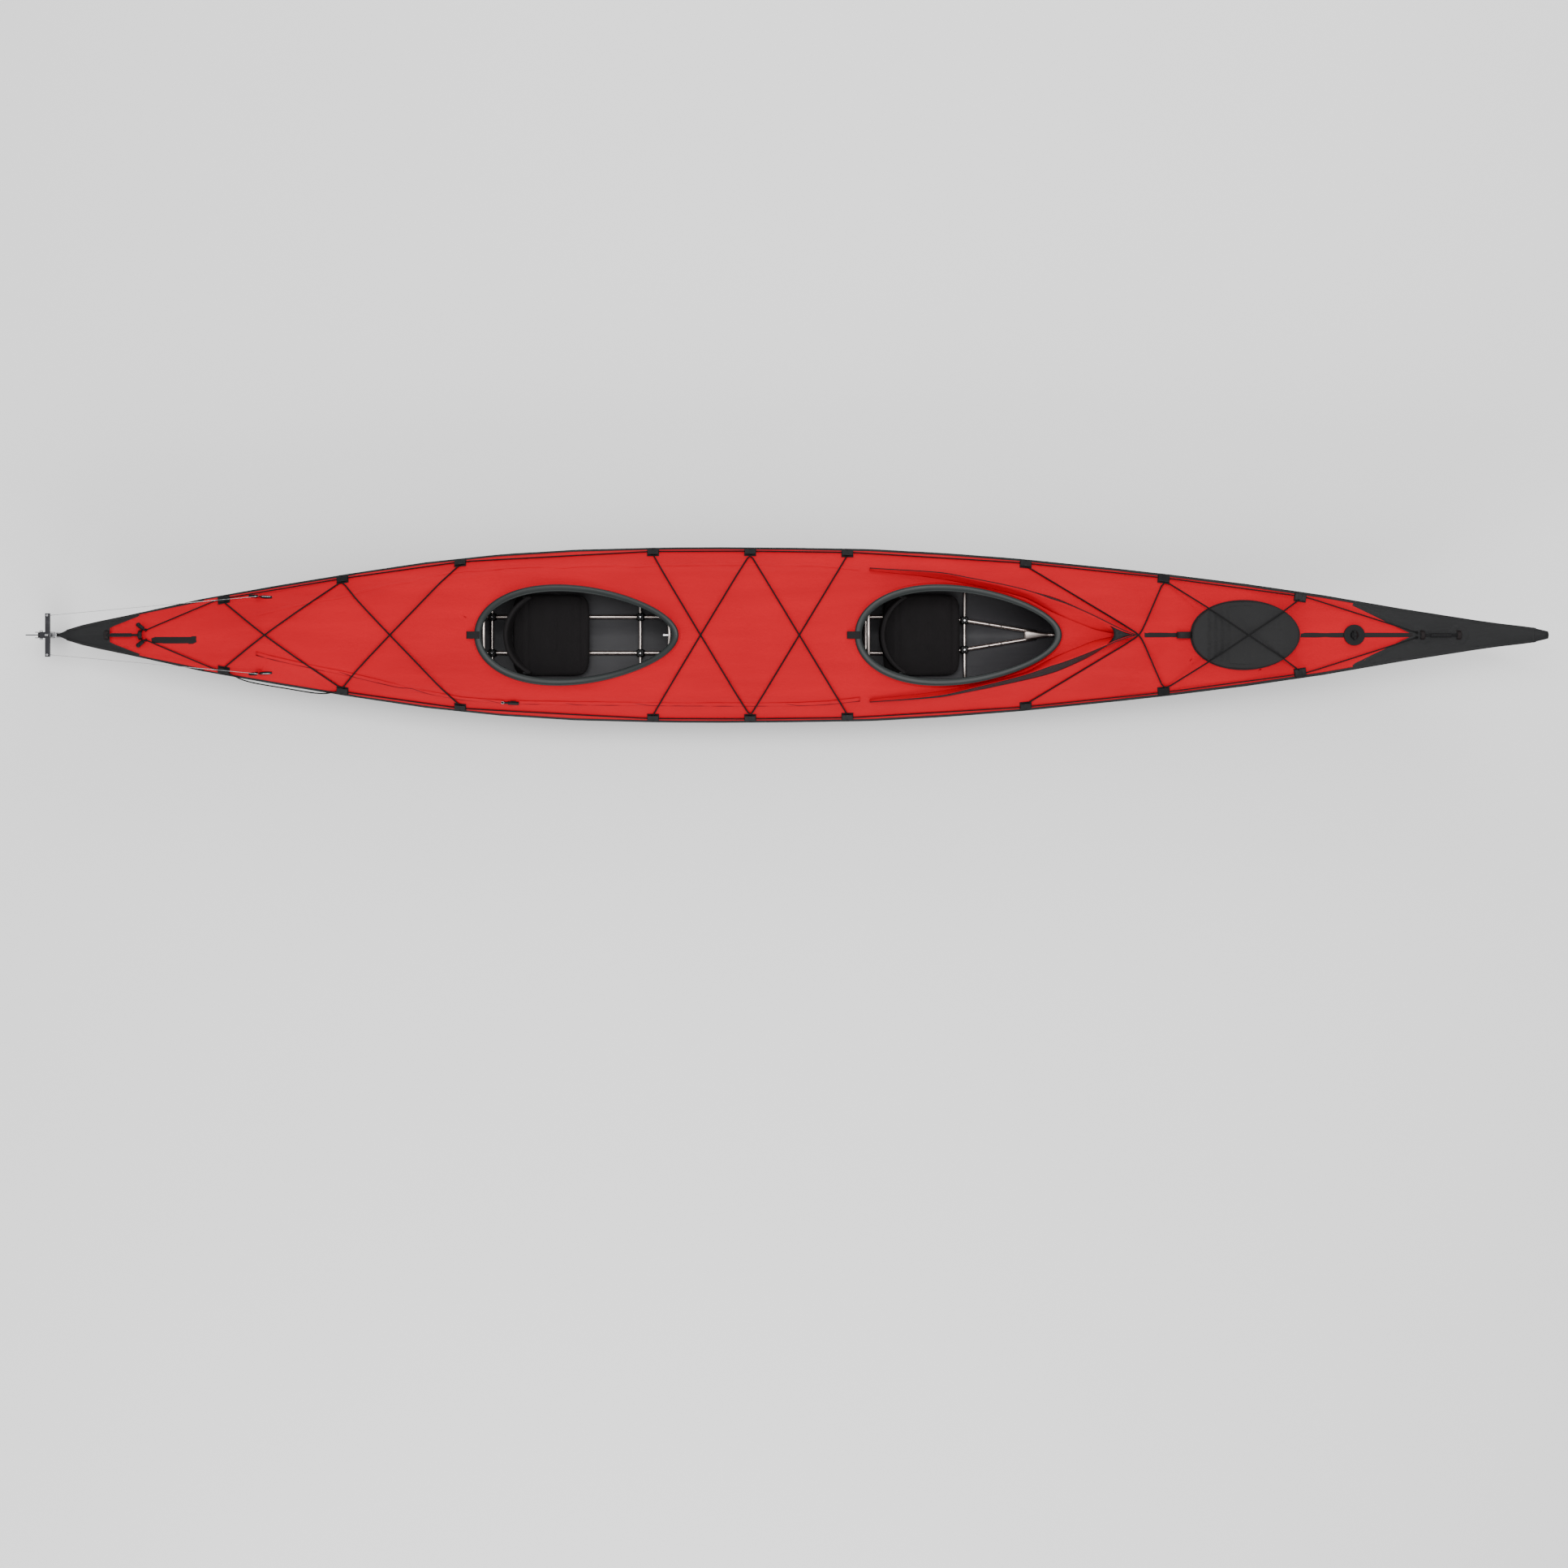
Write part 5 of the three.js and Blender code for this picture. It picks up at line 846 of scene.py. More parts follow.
class KAYAK_OT_deck(bpy.types.Operator):
    """Deck cloth, end covers, seam tapes and patches"""

    bl_idname = "kayak.deck"
    bl_label = "Deck"

    def execute(self, context):
        sizes = context.scene.kayak_sizes
        mesh = fine_sheet("deck_skin", 0.028, 4, upward_face, 60.0, deck_ripple)
        deck = sheet_piece("deck_cloth", mesh, deck_cloth, "deck_skin", sizes.deck_cloth)
        seen = [deck.data]
        for name, area, flat in (("bow_cover", 0.1, (0.3, 0.8)), ("stern_cover", 0.0213, (0.15, 0.34))):
            tight = fine_sheet(name, 0.02, 3, upward_face)
            cover = sheet_piece(f"{name}_cloth", tight, cover_coat, name, sizes.deck_cloth)
            seen.append(cover.data)
        visible["deck"] = surface_tree(seen)
        self.tapes(sizes.tape_width)
        for i, x in enumerate((2.465, 2.605)):
            self.patch(f"bow_patch_{i + 1}", x, 0.042, 1.6 * MM)
        return {"FINISHED"}

    def tapes(self, width):
        """Tapes, hems and straps: name, finish, slot, start, end, width, lift in millimetres and step."""
        hem = (cover_coat, "cover_fabric")
        tape = (tape_cloth, "trim")
        strips = [
            ("centre_tape_aft", tape, (1.37, 0), (1.575, 0), width, 0.8, 0.02),
            ("centre_tape_fore", tape, (1.99, 0), (2.455, 0), width, 0.8, 0.02),
            ("stern_hem_end", hem, (-2.752, -0.028), (-2.752, 0.028), 0.014, 0.9, 0.007),
            ("bow_tip_hem", hem, (2.893, -0.03), (2.893, 0.03), 0.008, 1.0, 0.004),
            ("stern_strap", tape, (-2.578, -0.02), (-2.392, -0.02), 0.028, 1.8, 0.02),
            ("stern_strap_end", (seat_cloth, "seat"), (-2.428, -0.02), (-2.39, -0.02), 0.033, 2.8, 0.02),
        ]
        bow_reach = seam_y(2.18) - 0.012
        stern_reach = seam_y(-2.61) - 0.01
        for word, side in SIDES.items():
            gland = (-2.196, side * 0.157), (-2.1, side * 0.151)
            strips += [
                (f"bow_hem_{side + 2}", hem, (2.196, side * bow_reach), (2.445, side * 0.004), 0.022, 0.9, 0.02),
                (f"stern_hem_{side + 2}", hem, (-2.626, side * stern_reach), (-2.757, side * 0.03), 0.012, 0.9,
                 0.012),
                (f"cable_patch_{word}", (deck_cloth, "deck_fabric"), *gland, 0.034, 0.8, 0.012),
            ]
            self.sleeve(f"cable_sleeve_{word}", *gland)
        for name, (finish, slot), start, end, wide, lift, step in strips:
            laid(name, strip_rows([start, end], wide, step), lift * MM, finish)

    def patch(self, name, x, radius, lift):
        """A welded round patch with a raised middle."""
        rings, count = 6, 40
        points = [Vector((x, 0, over_deck(x, 0) + lift))]
        for r in range(1, rings + 1):
            raised = lift * math.sqrt(1 - (r / rings) ** 4) - (BORDER_DEPTH if r == rings else 0)
            for c, s in circle(count):
                a, b = x + radius * r / rings * c, radius * r / rings * s
                points.append(Vector((a, b, over_deck(a, b) + raised)))
        faces = [(0, 1 + k, 1 + (k + 1) % count) for k in range(count)]
        for near, k, m, far in grid_faces(rings, count, True):
            faces.append((1 + near, 1 + far, 1 + m, 1 + k))
        piece(name, points, faces, cover_coat)

    def sleeve(self, name, start, end):
        """The moulded sleeve where a rudder cable goes in under the deck: two lobes and a waist."""
        a, b = Vector((*start, 0)), Vector((*end, 0))
        rows = 17
        points = []
        for i in range(rows):
            t = i / (rows - 1)
            centre = a.lerp(b, t)
            lobes = 0.62 + 0.38 * abs(math.cos(math.pi * t)) ** 0.8
            width = 0.0085 * lobes * math.sqrt(math.sin(math.pi * min(max(t, 0.03), 0.97)) ** 0.5)
            rise = 0.0075 * math.sin(math.pi * min(max(t, 0.05), 0.95)) ** 0.5
            for k in range(9):
                angle = math.pi * k / 8
                y = centre.y + width * math.cos(angle)
                points.append(Vector((centre.x, y, over_deck(centre.x, y) + rise * math.sin(angle) - FOOT_DEPTH)))
        piece(name, points, grid_faces(rows, 9), moulding)


# ---- Cockpits -------------------------------------------------------------------------------------------

def rim_point(centre, inset, c, s):
    """A spot on the egg-shaped rim, from the cosine and sine of the way round."""
    return centre + (RIM_LENGTH / 2 - inset) * c, (RIM_BEAM / 2 - inset) * s * (1 - RIM_EGG * c)


class KAYAK_OT_rims(bpy.types.Operator):
    """Cockpit rims with the cloth collar under each"""

    bl_idname = "kayak.rims"
    bl_label = "Cockpit rims"

    def execute(self, context):
        sizes = context.scene.kayak_sizes
        around = circle(144)
        for word, centre, shares in (("rear", REAR_RIM_X, REAR_RIM_SHARES), ("front", FRONT_RIM_X, FRONT_RIM_SHARES)):
            height = curve_through(shares)
            top = [SEAM_HEIGHT * height(c) for c, _ in around]
            self.rim(sizes, word, centre, around, top)
            self.collar(sizes, word, centre, around, top)
            self.tab(word, centre - RIM_LENGTH / 2, top[len(top) // 2])
        return {"FINISHED"}

    def rim(self, sizes, word, centre, around, top):
        width, thick = sizes.rim_width, sizes.rim_height
        section = []
        for c, s in circle(18):
            across, up = squared(c, 0.75), squared(s, 0.75)
            section.append((width / 2 - width / 2 * across, thick / 2 * up - thick / 2 + 1.2 * MM * across))
        points = []
        for (c, s), level in zip(around, top):
            for inset, drop in section:
                points.append(Vector((*rim_point(centre, inset, c, s), level + drop)))
        columns = len(section)
        faces = []
        for i in range(len(around)):
            j = (i + 1) % len(around)
            for k in range(columns):
                m = (k + 1) % columns
                faces.append((i * columns + k, j * columns + k, j * columns + m, i * columns + m))
        made = piece(f"rim_{word}", points, faces, rim_coat)
        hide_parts(f"coaming_{word}")

    def collar(self, sizes, word, centre, around, top):
        """Deck cloth gathered up to the rim."""
        rows = 7
        points = []
        for r in range(rows):
            t = r / (rows - 1)
            for (c, s), level in zip(around, top):
                x, y = rim_point(centre, mix(0.009, -0.006, t ** 2), c, s)
                low = over_deck(x, y) - BORDER_DEPTH
                high = level - sizes.rim_height * 0.75
                gather = noise.noise(Vector((c * 9, s * 9, t * 2))) * 1.4 * MM
                points.append(Vector((x, y, mix(high, low, t) + gather * math.sin(math.pi * t))))
        faces = grid_faces(rows, len(around), True)
        piece(f"rim_collar_{word}", points, faces, deck_cloth, thickness=SEWN_CLOTH)

    def tab(self, word, back, top):
        """The webbing tab at the rim's back end."""
        rows = []
        for i in range(9):
            t = i / 8
            x = mix(back + 0.022, back - 0.03, t)
            z = top + 1.6 * MM - 7 * MM * t ** 2 + 2 * MM * math.sin(math.pi * t)
            rows.append([Vector((x, 0.0145 * (k / 3 - 1), z)) for k in range(7)])
        webbing(f"rim_tab_{word}", rows, seat_cloth, 0.003)


class KAYAK_OT_seats(bpy.types.Operator):
    """Padded seats and backrests"""

    bl_idname = "kayak.seats"
    bl_label = "Seats"

    def execute(self, context):
        for word in ("rear", "front"):
            self.cushion(word)
            self.backrest(word)
        return {"FINISHED"}

    def cushion(self, word):
        low, high = box(f"seat_{word}")
        middle = (low.x + high.x) / 2
        length, width, thickness = 0.318, 0.336, 0.046
        corner = 0.3
        around = circle(128)
        profile = eased([Vector((share, level, 0)) for share, level in CUSHION_SHARES], 0.045, 2)
        points = []
        for share, level, _ in profile:
            for c, s in around:
                x = length / 2 * squared(c, corner) * share
                y = width / 2 * squared(s, corner) * share
                sewn = 0.0
                if level > 0.9:
                    sewn = sum(4.5 * MM * hump(x, seam, 0.006) for seam in CUSHION_SEAMS)
                    sewn += noise.noise(Vector((x * 34, y * 9, 2))) * 2.6 * MM
                points.append(Vector((middle + x, y, low.z + level * thickness - sewn)))
        rows, columns = len(profile), len(around)
        faces = grid_faces(rows, columns, True) + ring_ends(rows, columns)
        made = piece(f"seat_pad_{word}", points, faces, seat_cloth)
        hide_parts(f"seat_{word}")

    def backrest(self, word):
        """A curved pad with two sewn channels, piping along its top and a buckle at each end."""
        low = box(f"backrest_{word}")[0]
        radius, reach = 0.168, math.radians(62)
        height, rise, drop, thick = 0.168, 0.072, 0.034, 0.02
        axis_x = box(f"seat_{word}")[0].x + radius + 0.00129

        def at(angle, r, z):
            return Vector((axis_x - r * math.cos(angle), r * math.sin(angle), z))

        rows, section = 73, circle(40)
        points = []
        for i in range(rows):
            angle = mix(-reach, reach, i / (rows - 1))
            wing = abs(angle / reach)
            bottom = low.z + rise * wing
            top = low.z + height - drop * wing ** 2
            depth = thick * (1 - 0.45 * wing ** 4)
            for c, s in section:
                behind = 0.5 - 0.5 * squared(c, 0.5)
                up = 0.5 + 0.5 * squared(s, 0.35)
                channel = sum(hump(up, middle, 0.03) for middle in (0.3, 0.62))
                behind = mix(behind, 0.5, 0.5 * channel if 0.05 < up < 0.95 else 0)
                crease = noise.noise(Vector((angle * 6, up * 3, 5))) * MM * math.sin(math.pi * up)
                points.append(at(angle, radius + behind * depth, mix(bottom, top, up) + crease))
        faces = grid_faces(rows, len(section), True) + ring_ends(rows, len(section))
        body = f"backrest_{word}"
        made = piece(f"backrest_pad_{word}", points, faces, seat_cloth, body)
        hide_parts(f"backrest_{word}")
        piping = []
        for k in range(61):
            angle = mix(-reach, reach, k / 60) * 0.985
            piping.append(at(angle, radius + 0.5 * thick, low.z + height - drop * abs(angle / reach) ** 2))
        rope(f"backrest_piping_{word}", piping, 2.6 * MM, seat_cloth, body, 8)
        for name, side in SIDES.items():
            out = Vector((0.35, side, 0)).normalized()
            end = piping[-4 if side > 0 else 3]
            pin, strap = end + out * 0.012, end + out * 0.006
            buckle = [
                rod(pin - Vector((0.012, 0, 0.012)), pin + Vector((0.012, 0, -0.012)), 0.0028),
                block(strap - Vector((0.01, 0.0035, 0.02)), strap + Vector((0.01, 0.0035, -0.002))),
            ]
            solid(f"backrest_buckle_{word}_{name}", moulding, buckle, body, 0.0008)


# ---- Frame ----------------------------------------------------------------------------------------------

def tube_line(node):
    """The middle line of a frame tube, from its rings."""
    spots = sorted((v.co.copy() for v in plain_mesh(node).vertices), key=lambda p: p.x)
    groups = [[spots[0]]]
    for p in spots[1:]:
        if p.x - groups[-1][0].x < 0.012:
            groups[-1].append(p)
        else:
            groups.append([p])
    middles = []
    for group in groups:
        low = Vector([min(p[k] for p in group) for k in range(3)])
        high = Vector([max(p[k] for p in group) for k in range(3)])
        middles.append((low + high) / 2)
    middles[0].x, middles[-1].x = spots[0].x, spots[-1].x
    return middles


def along_tube(line, x):
    """The spot on a tube's middle line at x."""
    a, b = next((a, b) for a, b in zip(line, line[1:]) if a.x <= x <= b.x)
    return a.lerp(b, (x - a.x) / (b.x - a.x))


def rib_line(node):
    """The middle line of a rib, found from inside its hoop."""
    data = plain_mesh(node)
    points = [v.co.copy() for v in data.vertices]
    low, high = min(p.z for p in points), max(p.z for p in points)

    def middle(spots):
        return [(min(p[k] for p in spots) + max(p[k] for p in spots)) / 2 for k in (0, 2)]

    # The rib's lean, from its lowest and highest parts on the middle line
    near_keel = [p for p in points if abs(p.y) < 0.04]
    foot_x, foot_z = middle([p for p in near_keel if p.z < mix(low, high, 0.5)])
    head_x, head_z = middle([p for p in near_keel if p.z > mix(low, high, 0.5)] or near_keel)
    lean = (head_x - foot_x) / (head_z - foot_z) if head_z > foot_z + 0.1 else 0.0
    upright = [p - Vector((lean * (p.z - foot_z) + foot_x, 0, 0)) for p in points]
    tree = BVHTree.FromPolygons(upright, [list(f.vertices) for f in data.polygons])
    centre = Vector((0, 0, mix(low, high, 0.55)))
    goes_round = node != OPEN_RIB
    # Rays from the middle meet the hoop twice. Its braces and the keel tubes' clamps are passed over.
    line = []
    for degrees in range(0, 360, 4):
        angle = math.radians(degrees - 90)
        heading = Vector((0, math.cos(angle), math.sin(angle)))
        inner = tree.ray_cast(centre, heading)[0]
        outer = tree.ray_cast(inner + heading * 0.002, heading)[0] if inner else None
        thick = (outer - inner).length if outer else 0
        plain = 0.011 < thick < 0.05 and abs(abs(inner.y) - KEEL_TUBE_Y) > 0.017
        line.append((inner + outer) / 2 if plain else None)
    if not goes_round:
        line = line[45:] + line[:45]
    line = [Vector((foot_x + lean * (p.z - foot_z), p.y, p.z)) for p in line if p]
    return smoothed(smoothed(line, goes_round), goes_round)


class KAYAK_OT_tubes(bpy.types.Operator):
    """Frame tubes, ribs and their clamps, foot brace and pedals"""

    bl_idname = "kayak.tubes"
    bl_label = "Frame"

    def execute(self, context):
        for kind, radius in TUBE_RADII.items():
            sunk = Vector((0, 0, 1.6 * MM if kind == "deck_bar" else 0))
            for word in SIDES:
                node = f"{kind}_{word}"
                line = [p - sunk for p in eased(tube_line(node), 0.05, 2)]
                self.tube(node, line, radius * MM * 0.985, 20)
        for number in range(1, 8):
            node = f"rib_{number}"
            self.tube(node, rib_line(node), 6.9 * MM, 16, node != OPEN_RIB)
        for word in ("bow", "stern"):
            recoloured(f"ridge_tube_{word}", tube_alloy)
            self.fork(word, 1 if word == "bow" else -1)
            rounded(f"stem_frame_{word}", moulding, bevel=0.001)
        self.clamps()
        self.buttons()
        rounded("foot_brace", tube_alloy)
        for word in SIDES:
            rounded(f"pedal_{word}", moulding, f"pedal_{word}", 0.0012)
            self.tread(word)
        return {"FINISHED"}

    def tube(self, node, line, radius, sides, closed=False):
        made = rope(f"{node}_round", line, radius, tube_alloy, "hull", sides, closed)
        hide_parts(node)

    def fork(self, word, toward):
        """The two keel tubes run into a sleeve and go on as one tube."""
        node = f"keel_tube_{word}"
        line = tube_line(node)[::toward]
        line = [p for p in line if abs(p.x - line[0].x) > 0.075]
        end = tube_line("keel_tube_port")[-1 if toward > 0 else 0]
        start = Vector((end.x + toward * 0.03, 0, end.z))
        self.tube(node, eased([start] + line, 0.05, 2), 8.9 * MM, 20)
        rows, section = 12, circle(28)
        points = []
        for i in range(rows):
            t = i / (rows - 1)
            half_gap = 0.0122 * (1 - t * t * (3 - 2 * t))
            radius = mix(0.0112, 0.0102, t)
            x = end.x + toward * mix(-0.05, 0.055, t)
            for c, s in section:
                points.append(Vector((x, radius * c + math.copysign(half_gap, c), end.z + radius * s)))
        ends = [tuple(reversed(face)) for face in ring_ends(rows, len(section))]
        faces = grid_faces(rows, len(section), True) + ends
        sleeve = piece(f"fork_sleeve_{word}", points, faces, tube_alloy)
        break_edges(sleeve, 0.001, 2, 50)

    def clamps(self):
        """Moulded clamps where each rib crosses the keel tubes, with a bright rivet on top."""
        clamp_shapes = [
            rod((-0.0165, 0, 0), (0.0165, 0, 0), 0.0135, 28),
            rod((0, -0.0165, 0.0165), (0, 0.0165, 0.0165), 0.0112, 28),
            block((-0.012, -0.012, 0.002), (0.012, 0.012, 0.0265)),
        ]
        rivet = [rod((0, 0, 0.026), (0, 0, 0.0292), 0.0045, 20, 0.0034)]
        for number in (2, 3, 4, 5):
            low, high = box(f"rib_{number}")
            x = high.x - 0.013 if number == 5 else low.x + 0.013
            for word in SIDES:
                place = Matrix.Translation(along_tube(tube_line(f"keel_tube_{word}"), x))
                solid(f"clamp_{number}_{word}", moulding, clamp_shapes, bevel=0.0012, place=place)
                solid(f"clamp_rivet_{number}_{word}", bright_steel, rivet, bevel=0.0004, place=place)

    def buttons(self):
        """Push buttons where tube sections join, and the stub at the top of the leaning rib."""
        for word in SIDES:
            line = tube_line(f"keel_tube_{word}")
            for x in (0.79, 0.84, -0.3):
                button = ball(along_tube(line, x) + Vector((0, 0, 0.0085)), 0.0032)
                solid(f"push_button_{word}_{int(x * 100) + 100}", bright_steel, [button])
        high = box("rib_3")[1]
        stub = rod((high.x - 0.034, 0, high.z - 0.009), (high.x - 0.012, 0, high.z - 0.009), 0.0062, 24)
        solid("rib_stub", bright_steel, [stub], bevel=0.0006)

    def tread(self, word):
        """Raised treads on a pedal's back face."""
        low, high = box(f"pedal_{word}")
        middle = (low.x + high.x) / 2 - 0.003
        bars = []
        for k in range(6):
            z = low.z + 0.045 + 0.02 * k
            bars.append(block((middle - 0.0014, low.y + 0.008, z), (middle + 0.0005, high.y - 0.008, z + 0.006)))
        solid(f"pedal_tread_{word}", moulding, bars, f"pedal_{word}", 0.0004)


# ---- Deck gear ------------------------------------------------------------------------------------------

def hatch_top(x, y):
    """Height of the hatch cover's cloth: a low crown that falls away to its rim, and 0 beside it."""
    low, high = box("hatch_cover")
    crown = 0.036
    u = (x - (low.x + high.x) / 2) / ((high.x - low.x) / 2)
    v = y / high.y
    r = math.hypot(u, v)
    if r > 1.02:
        return 0.0
    return plain_deck(x, 0.0) + crown * (1 - 0.55 * v * v - 0.35 * r ** 6)


def over_gear(x, y):
    """Deck height, or the zip's where a cord crosses it."""
    on_zip = y < -0.2 and -2.15 < x < 0.25
    return over_deck(x, y) + (1.8 * MM if on_zip else 0.0)


def over_hatch(x, y):
    near_hatch = 1.5 < x < 2.05
    return max(over_deck(x, y), hatch_top(x, y) if near_hatch else 0.0)


def taut(start, end, lift, surface):
    """A cord pulled tight between two places: it bears only where the surface bulges."""
    count = 90
    run = math.dist(start, end)
    kept = []
    for i in range(count + 1):
        t = i / count
        x, y = mix(start[0], end[0], t), mix(start[1], end[1], t)
        spot = (run * t, Vector((x, y, surface(x, y) + lift)))
        while len(kept) > 1:
            (s0, a), (s1, b) = kept[-2:]
            if (b.z - a.z) / (s1 - s0) - (spot[1].z - b.z) / (spot[0] - s1) > 0:
                break
            kept.pop()
        kept.append(spot)
    return [p for _, p in kept]


def taut_route(places, lift, surface):
    line = []
    for a, b in zip(places, places[1:]):
        line += taut(a, b, lift, surface)[0 if not line else 1:]
    return line


def fitting_place(i, side, inset):
    x = FITTING_X[i]
    return x, side * (seam_y(x) - inset)


def clip_frame(i, side):
    """Where a deck fitting sits: X along the boat, Y inboard, Z off the deck."""
    x = FITTING_X[i]

    def at(place, more):
        y = side * (seam_y(place) - LINE_INSET - more)
        return Vector((place, y, plain_deck(place, y)))

    centre = at(x, 0)
    along = (at(x + 0.021, 0) - at(x - 0.021, 0)).normalized()
    inboard = at(x, 0.016) - centre
    up = along.cross(inboard).normalized()
    up = up if up.z > 0 else -up
    across = inboard - along * inboard.dot(along)
    across = (across - up * across.dot(up)).normalized()
    turn = Matrix((along, across, up)).transposed().to_4x4()
    return Matrix.Translation(centre) @ turn


class KAYAK_OT_cords(bpy.types.Operator):
    """Elastic deck cords, edge lines, rudder cables, deck fittings and cord ends"""

    bl_idname = "kayak.cords"
    bl_label = "Cords and fittings"

    def execute(self, context):
        sizes = context.scene.kayak_sizes
        for word, side in SIDES.items():
            self.elastic(word, side, sizes.elastic_cord / 2)
            self.edge_line(word, side, sizes.edge_line / 2)
            self.cable(word, side)
            for i in range(len(FITTING_X)):
                self.clip(f"{i + 1}_{word}", clip_frame(i, side))
            recoloured(f"edge_trim_{word}", cover_coat)
        return {"FINISHED"}

    def elastic(self, word, side, radius):
        def at(i, on):
            return fitting_place(i, on, ELASTIC_INSET)

        routes = {
            "aft": ([at(0, side), at(1, -side), at(2, side)], over_gear),
            "middle": ([at(3, side), at(4, -side), at(5, side)], over_gear),
            "fore": ([at(6, side), (CROSSING_X, 0.0), at(7, -side), at(8, side)], over_hatch),
        }
        for name, (places, surface) in routes.items():
            line = eased(taut_route(places, radius + CORD_CLEARANCE, surface), 0.03, 1)
            made = rope(f"deck_cord_{name}_{word}", line, radius, braid, sides=12)
            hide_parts(f"bungee_{name}")

    def edge_line(self, word, side, radius):
        """A line from the stern knot through every fitting to the bow knot."""
        lift = radius + CORD_CLEARANCE
        half_clip = 0.0231
        stern_knot, bow_knot = (-2.596, side * 0.02), (2.4429, side * 0.01)
        passes = []
        for i in range(len(FITTING_X)):
            passes.append([clip_frame(i, side) @ Vector((t * half_clip, 0, lift)) for t in (-1, 1)])
        line = taut(stern_knot, passes[0][0][:2], lift, over_deck)[:-1] + passes[0]
        for i, ((_, start), (near, far)) in enumerate(zip(passes, passes[1:])):
            hangs = side < 0 and i == 0
            line += self.slack(start, near) if hangs else taut(start[:2], near[:2], lift, over_deck)[1:-1]
            line += [near, far]
        line += taut(passes[-1][1][:2], bow_knot, lift, over_deck)[1:]
        made = rope(f"edge_line_{word}", eased(line, 0.025, 2), radius, braid)
        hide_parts(f"safety_line_{word}")
        self.knot(f"stern_{word}", line[0])
        self.knot(f"bow_{word}", line[-1])
        lock = [
            rod((-0.012, 0, 0.008), (0.006, 0, 0.008), 0.0085, 24),
            rod((0.006, 0, 0.008), (0.013, 0, 0.008), 0.0055, 24),
            ball((-0.018, 0, 0.008), 0.0095),
        ]
        place = Matrix.Translation(line[0] + Vector((-0.014, side * 0.009, 0))) @ Matrix.Rotation(-side * 0.7, 4, "Z")
        solid(f"cord_lock_stern_{word}", moulding, lock, bevel=0.0008, place=place)

    def slack(self, start, end):
        """The starboard line hangs slack outside the hull between its first two fittings."""
        line = []
        for k in range(1, 12):
            t = k / 12
            x = mix(start.x, end.x, t)
            swing = math.sin(math.pi * t)
            out = seam_y(x) + 12 * MM * min(1, swing * 1.6)
            line.append(Vector((x, -out, seam_z(x) + (12 - 20 * swing * swing) * MM)))
        return line

    def knot(self, name, spot):
        loop = []
        for k, (c, s) in enumerate(circle(12) * 2 + [(1.0, 0.0)]):
            loop.append(spot + Vector((0.0035 * c, 0.0045 * s, 0.001 * k / 6)))
        rope(f"knot_{name}", loop, 1.9 * MM, braid, sides=8)

    def cable(self, word, side):
        """A steel cable from the yoke over the deck, and on to the pedal under it."""
        yoke_low, yoke_high = box("rudder_yoke")
        pedal_low, pedal_high = box(f"pedal_{word}")
        start = Vector((yoke_high.x + 0.0003, side * (yoke_high.y - 0.008), (yoke_low.z + yoke_high.z) / 2))
        entry_x, entry_y = -0.729 * HALF, 0.442 * HALF_BEAM
        over_clip = 0.0117
        line = [start]
        for ahead in (-0.0252, 0.0252):
            x = FITTING_X[0] + ahead
            y = side * mix(abs(start.y), entry_y, (x - start.x) / (entry_x - start.x))
            line.append(Vector((x, y, plain_deck(x, y) + over_clip)))
        line.append(Vector((entry_x, side * entry_y, plain_deck(entry_x, side * entry_y))))
        line += [Vector((s * HALF, side * b * HALF_BEAM, h * SEAM_HEIGHT)) for s, b, h in CABLE_SHARES]
        pedal_x = (pedal_low.x + pedal_high.x) / 2 - 0.0033
        line.append(Vector((pedal_x, side * 0.119, pedal_high.z - 0.0225)))
        outside, inside = spread(line[:4], 0.02), spread(line[3:], 0.02)
        # Each wire is one fixed piece on no body; what it pulls, its near end and its bend are listed but not used
        for name, route, body, near, bend in (
            ("wire", outside, "rudder", outside[0], Vector((0.15, 0, 0))),
            ("wire_inside", inside, f"pedal_{word}", inside[-1], Vector((-0.12, 0, 0))),
        ):
            made = rope(f"rudder_{name}_{word}", route, 1.0 * MM, bright_steel, None, 8)
            near + bend
            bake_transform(made)
            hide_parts(f"rudder_cable_{word}")

    def clip(self, name, place):
        """A moulded hook over the edge line and the deck cord, on a sewn tab."""
        profile = [
            (-0.0146, 0.0002), (-0.0118, 0.0098), (-0.004, 0.0108), (0.0135, 0.0103),
            (0.0186, 0.0092), (0.0184, 0.0068), (-0.0024, 0.0068), (-0.0024, 0.0002),
        ]
        hook = [
            prism(profile, -0.0215, -0.006),
            prism(profile, 0.006, 0.0215),
            block((-0.008, -0.0135, 0.0005), (0.008, 0.0165, 0.0097)),
            rod((0, -0.009, 0.0095), (0, -0.009, 0.0112), 0.0035),
        ]
        tab = [block((-0.024, -0.013, -0.0004), (0.024, 0.0225, 0.0011))]
        solid(f"deck_clip_{name}", moulding, hook, bevel=0.0009, place=place)
        solid(f"clip_tab_{name}", seat_cloth, tab, bevel=0.0004, place=place)


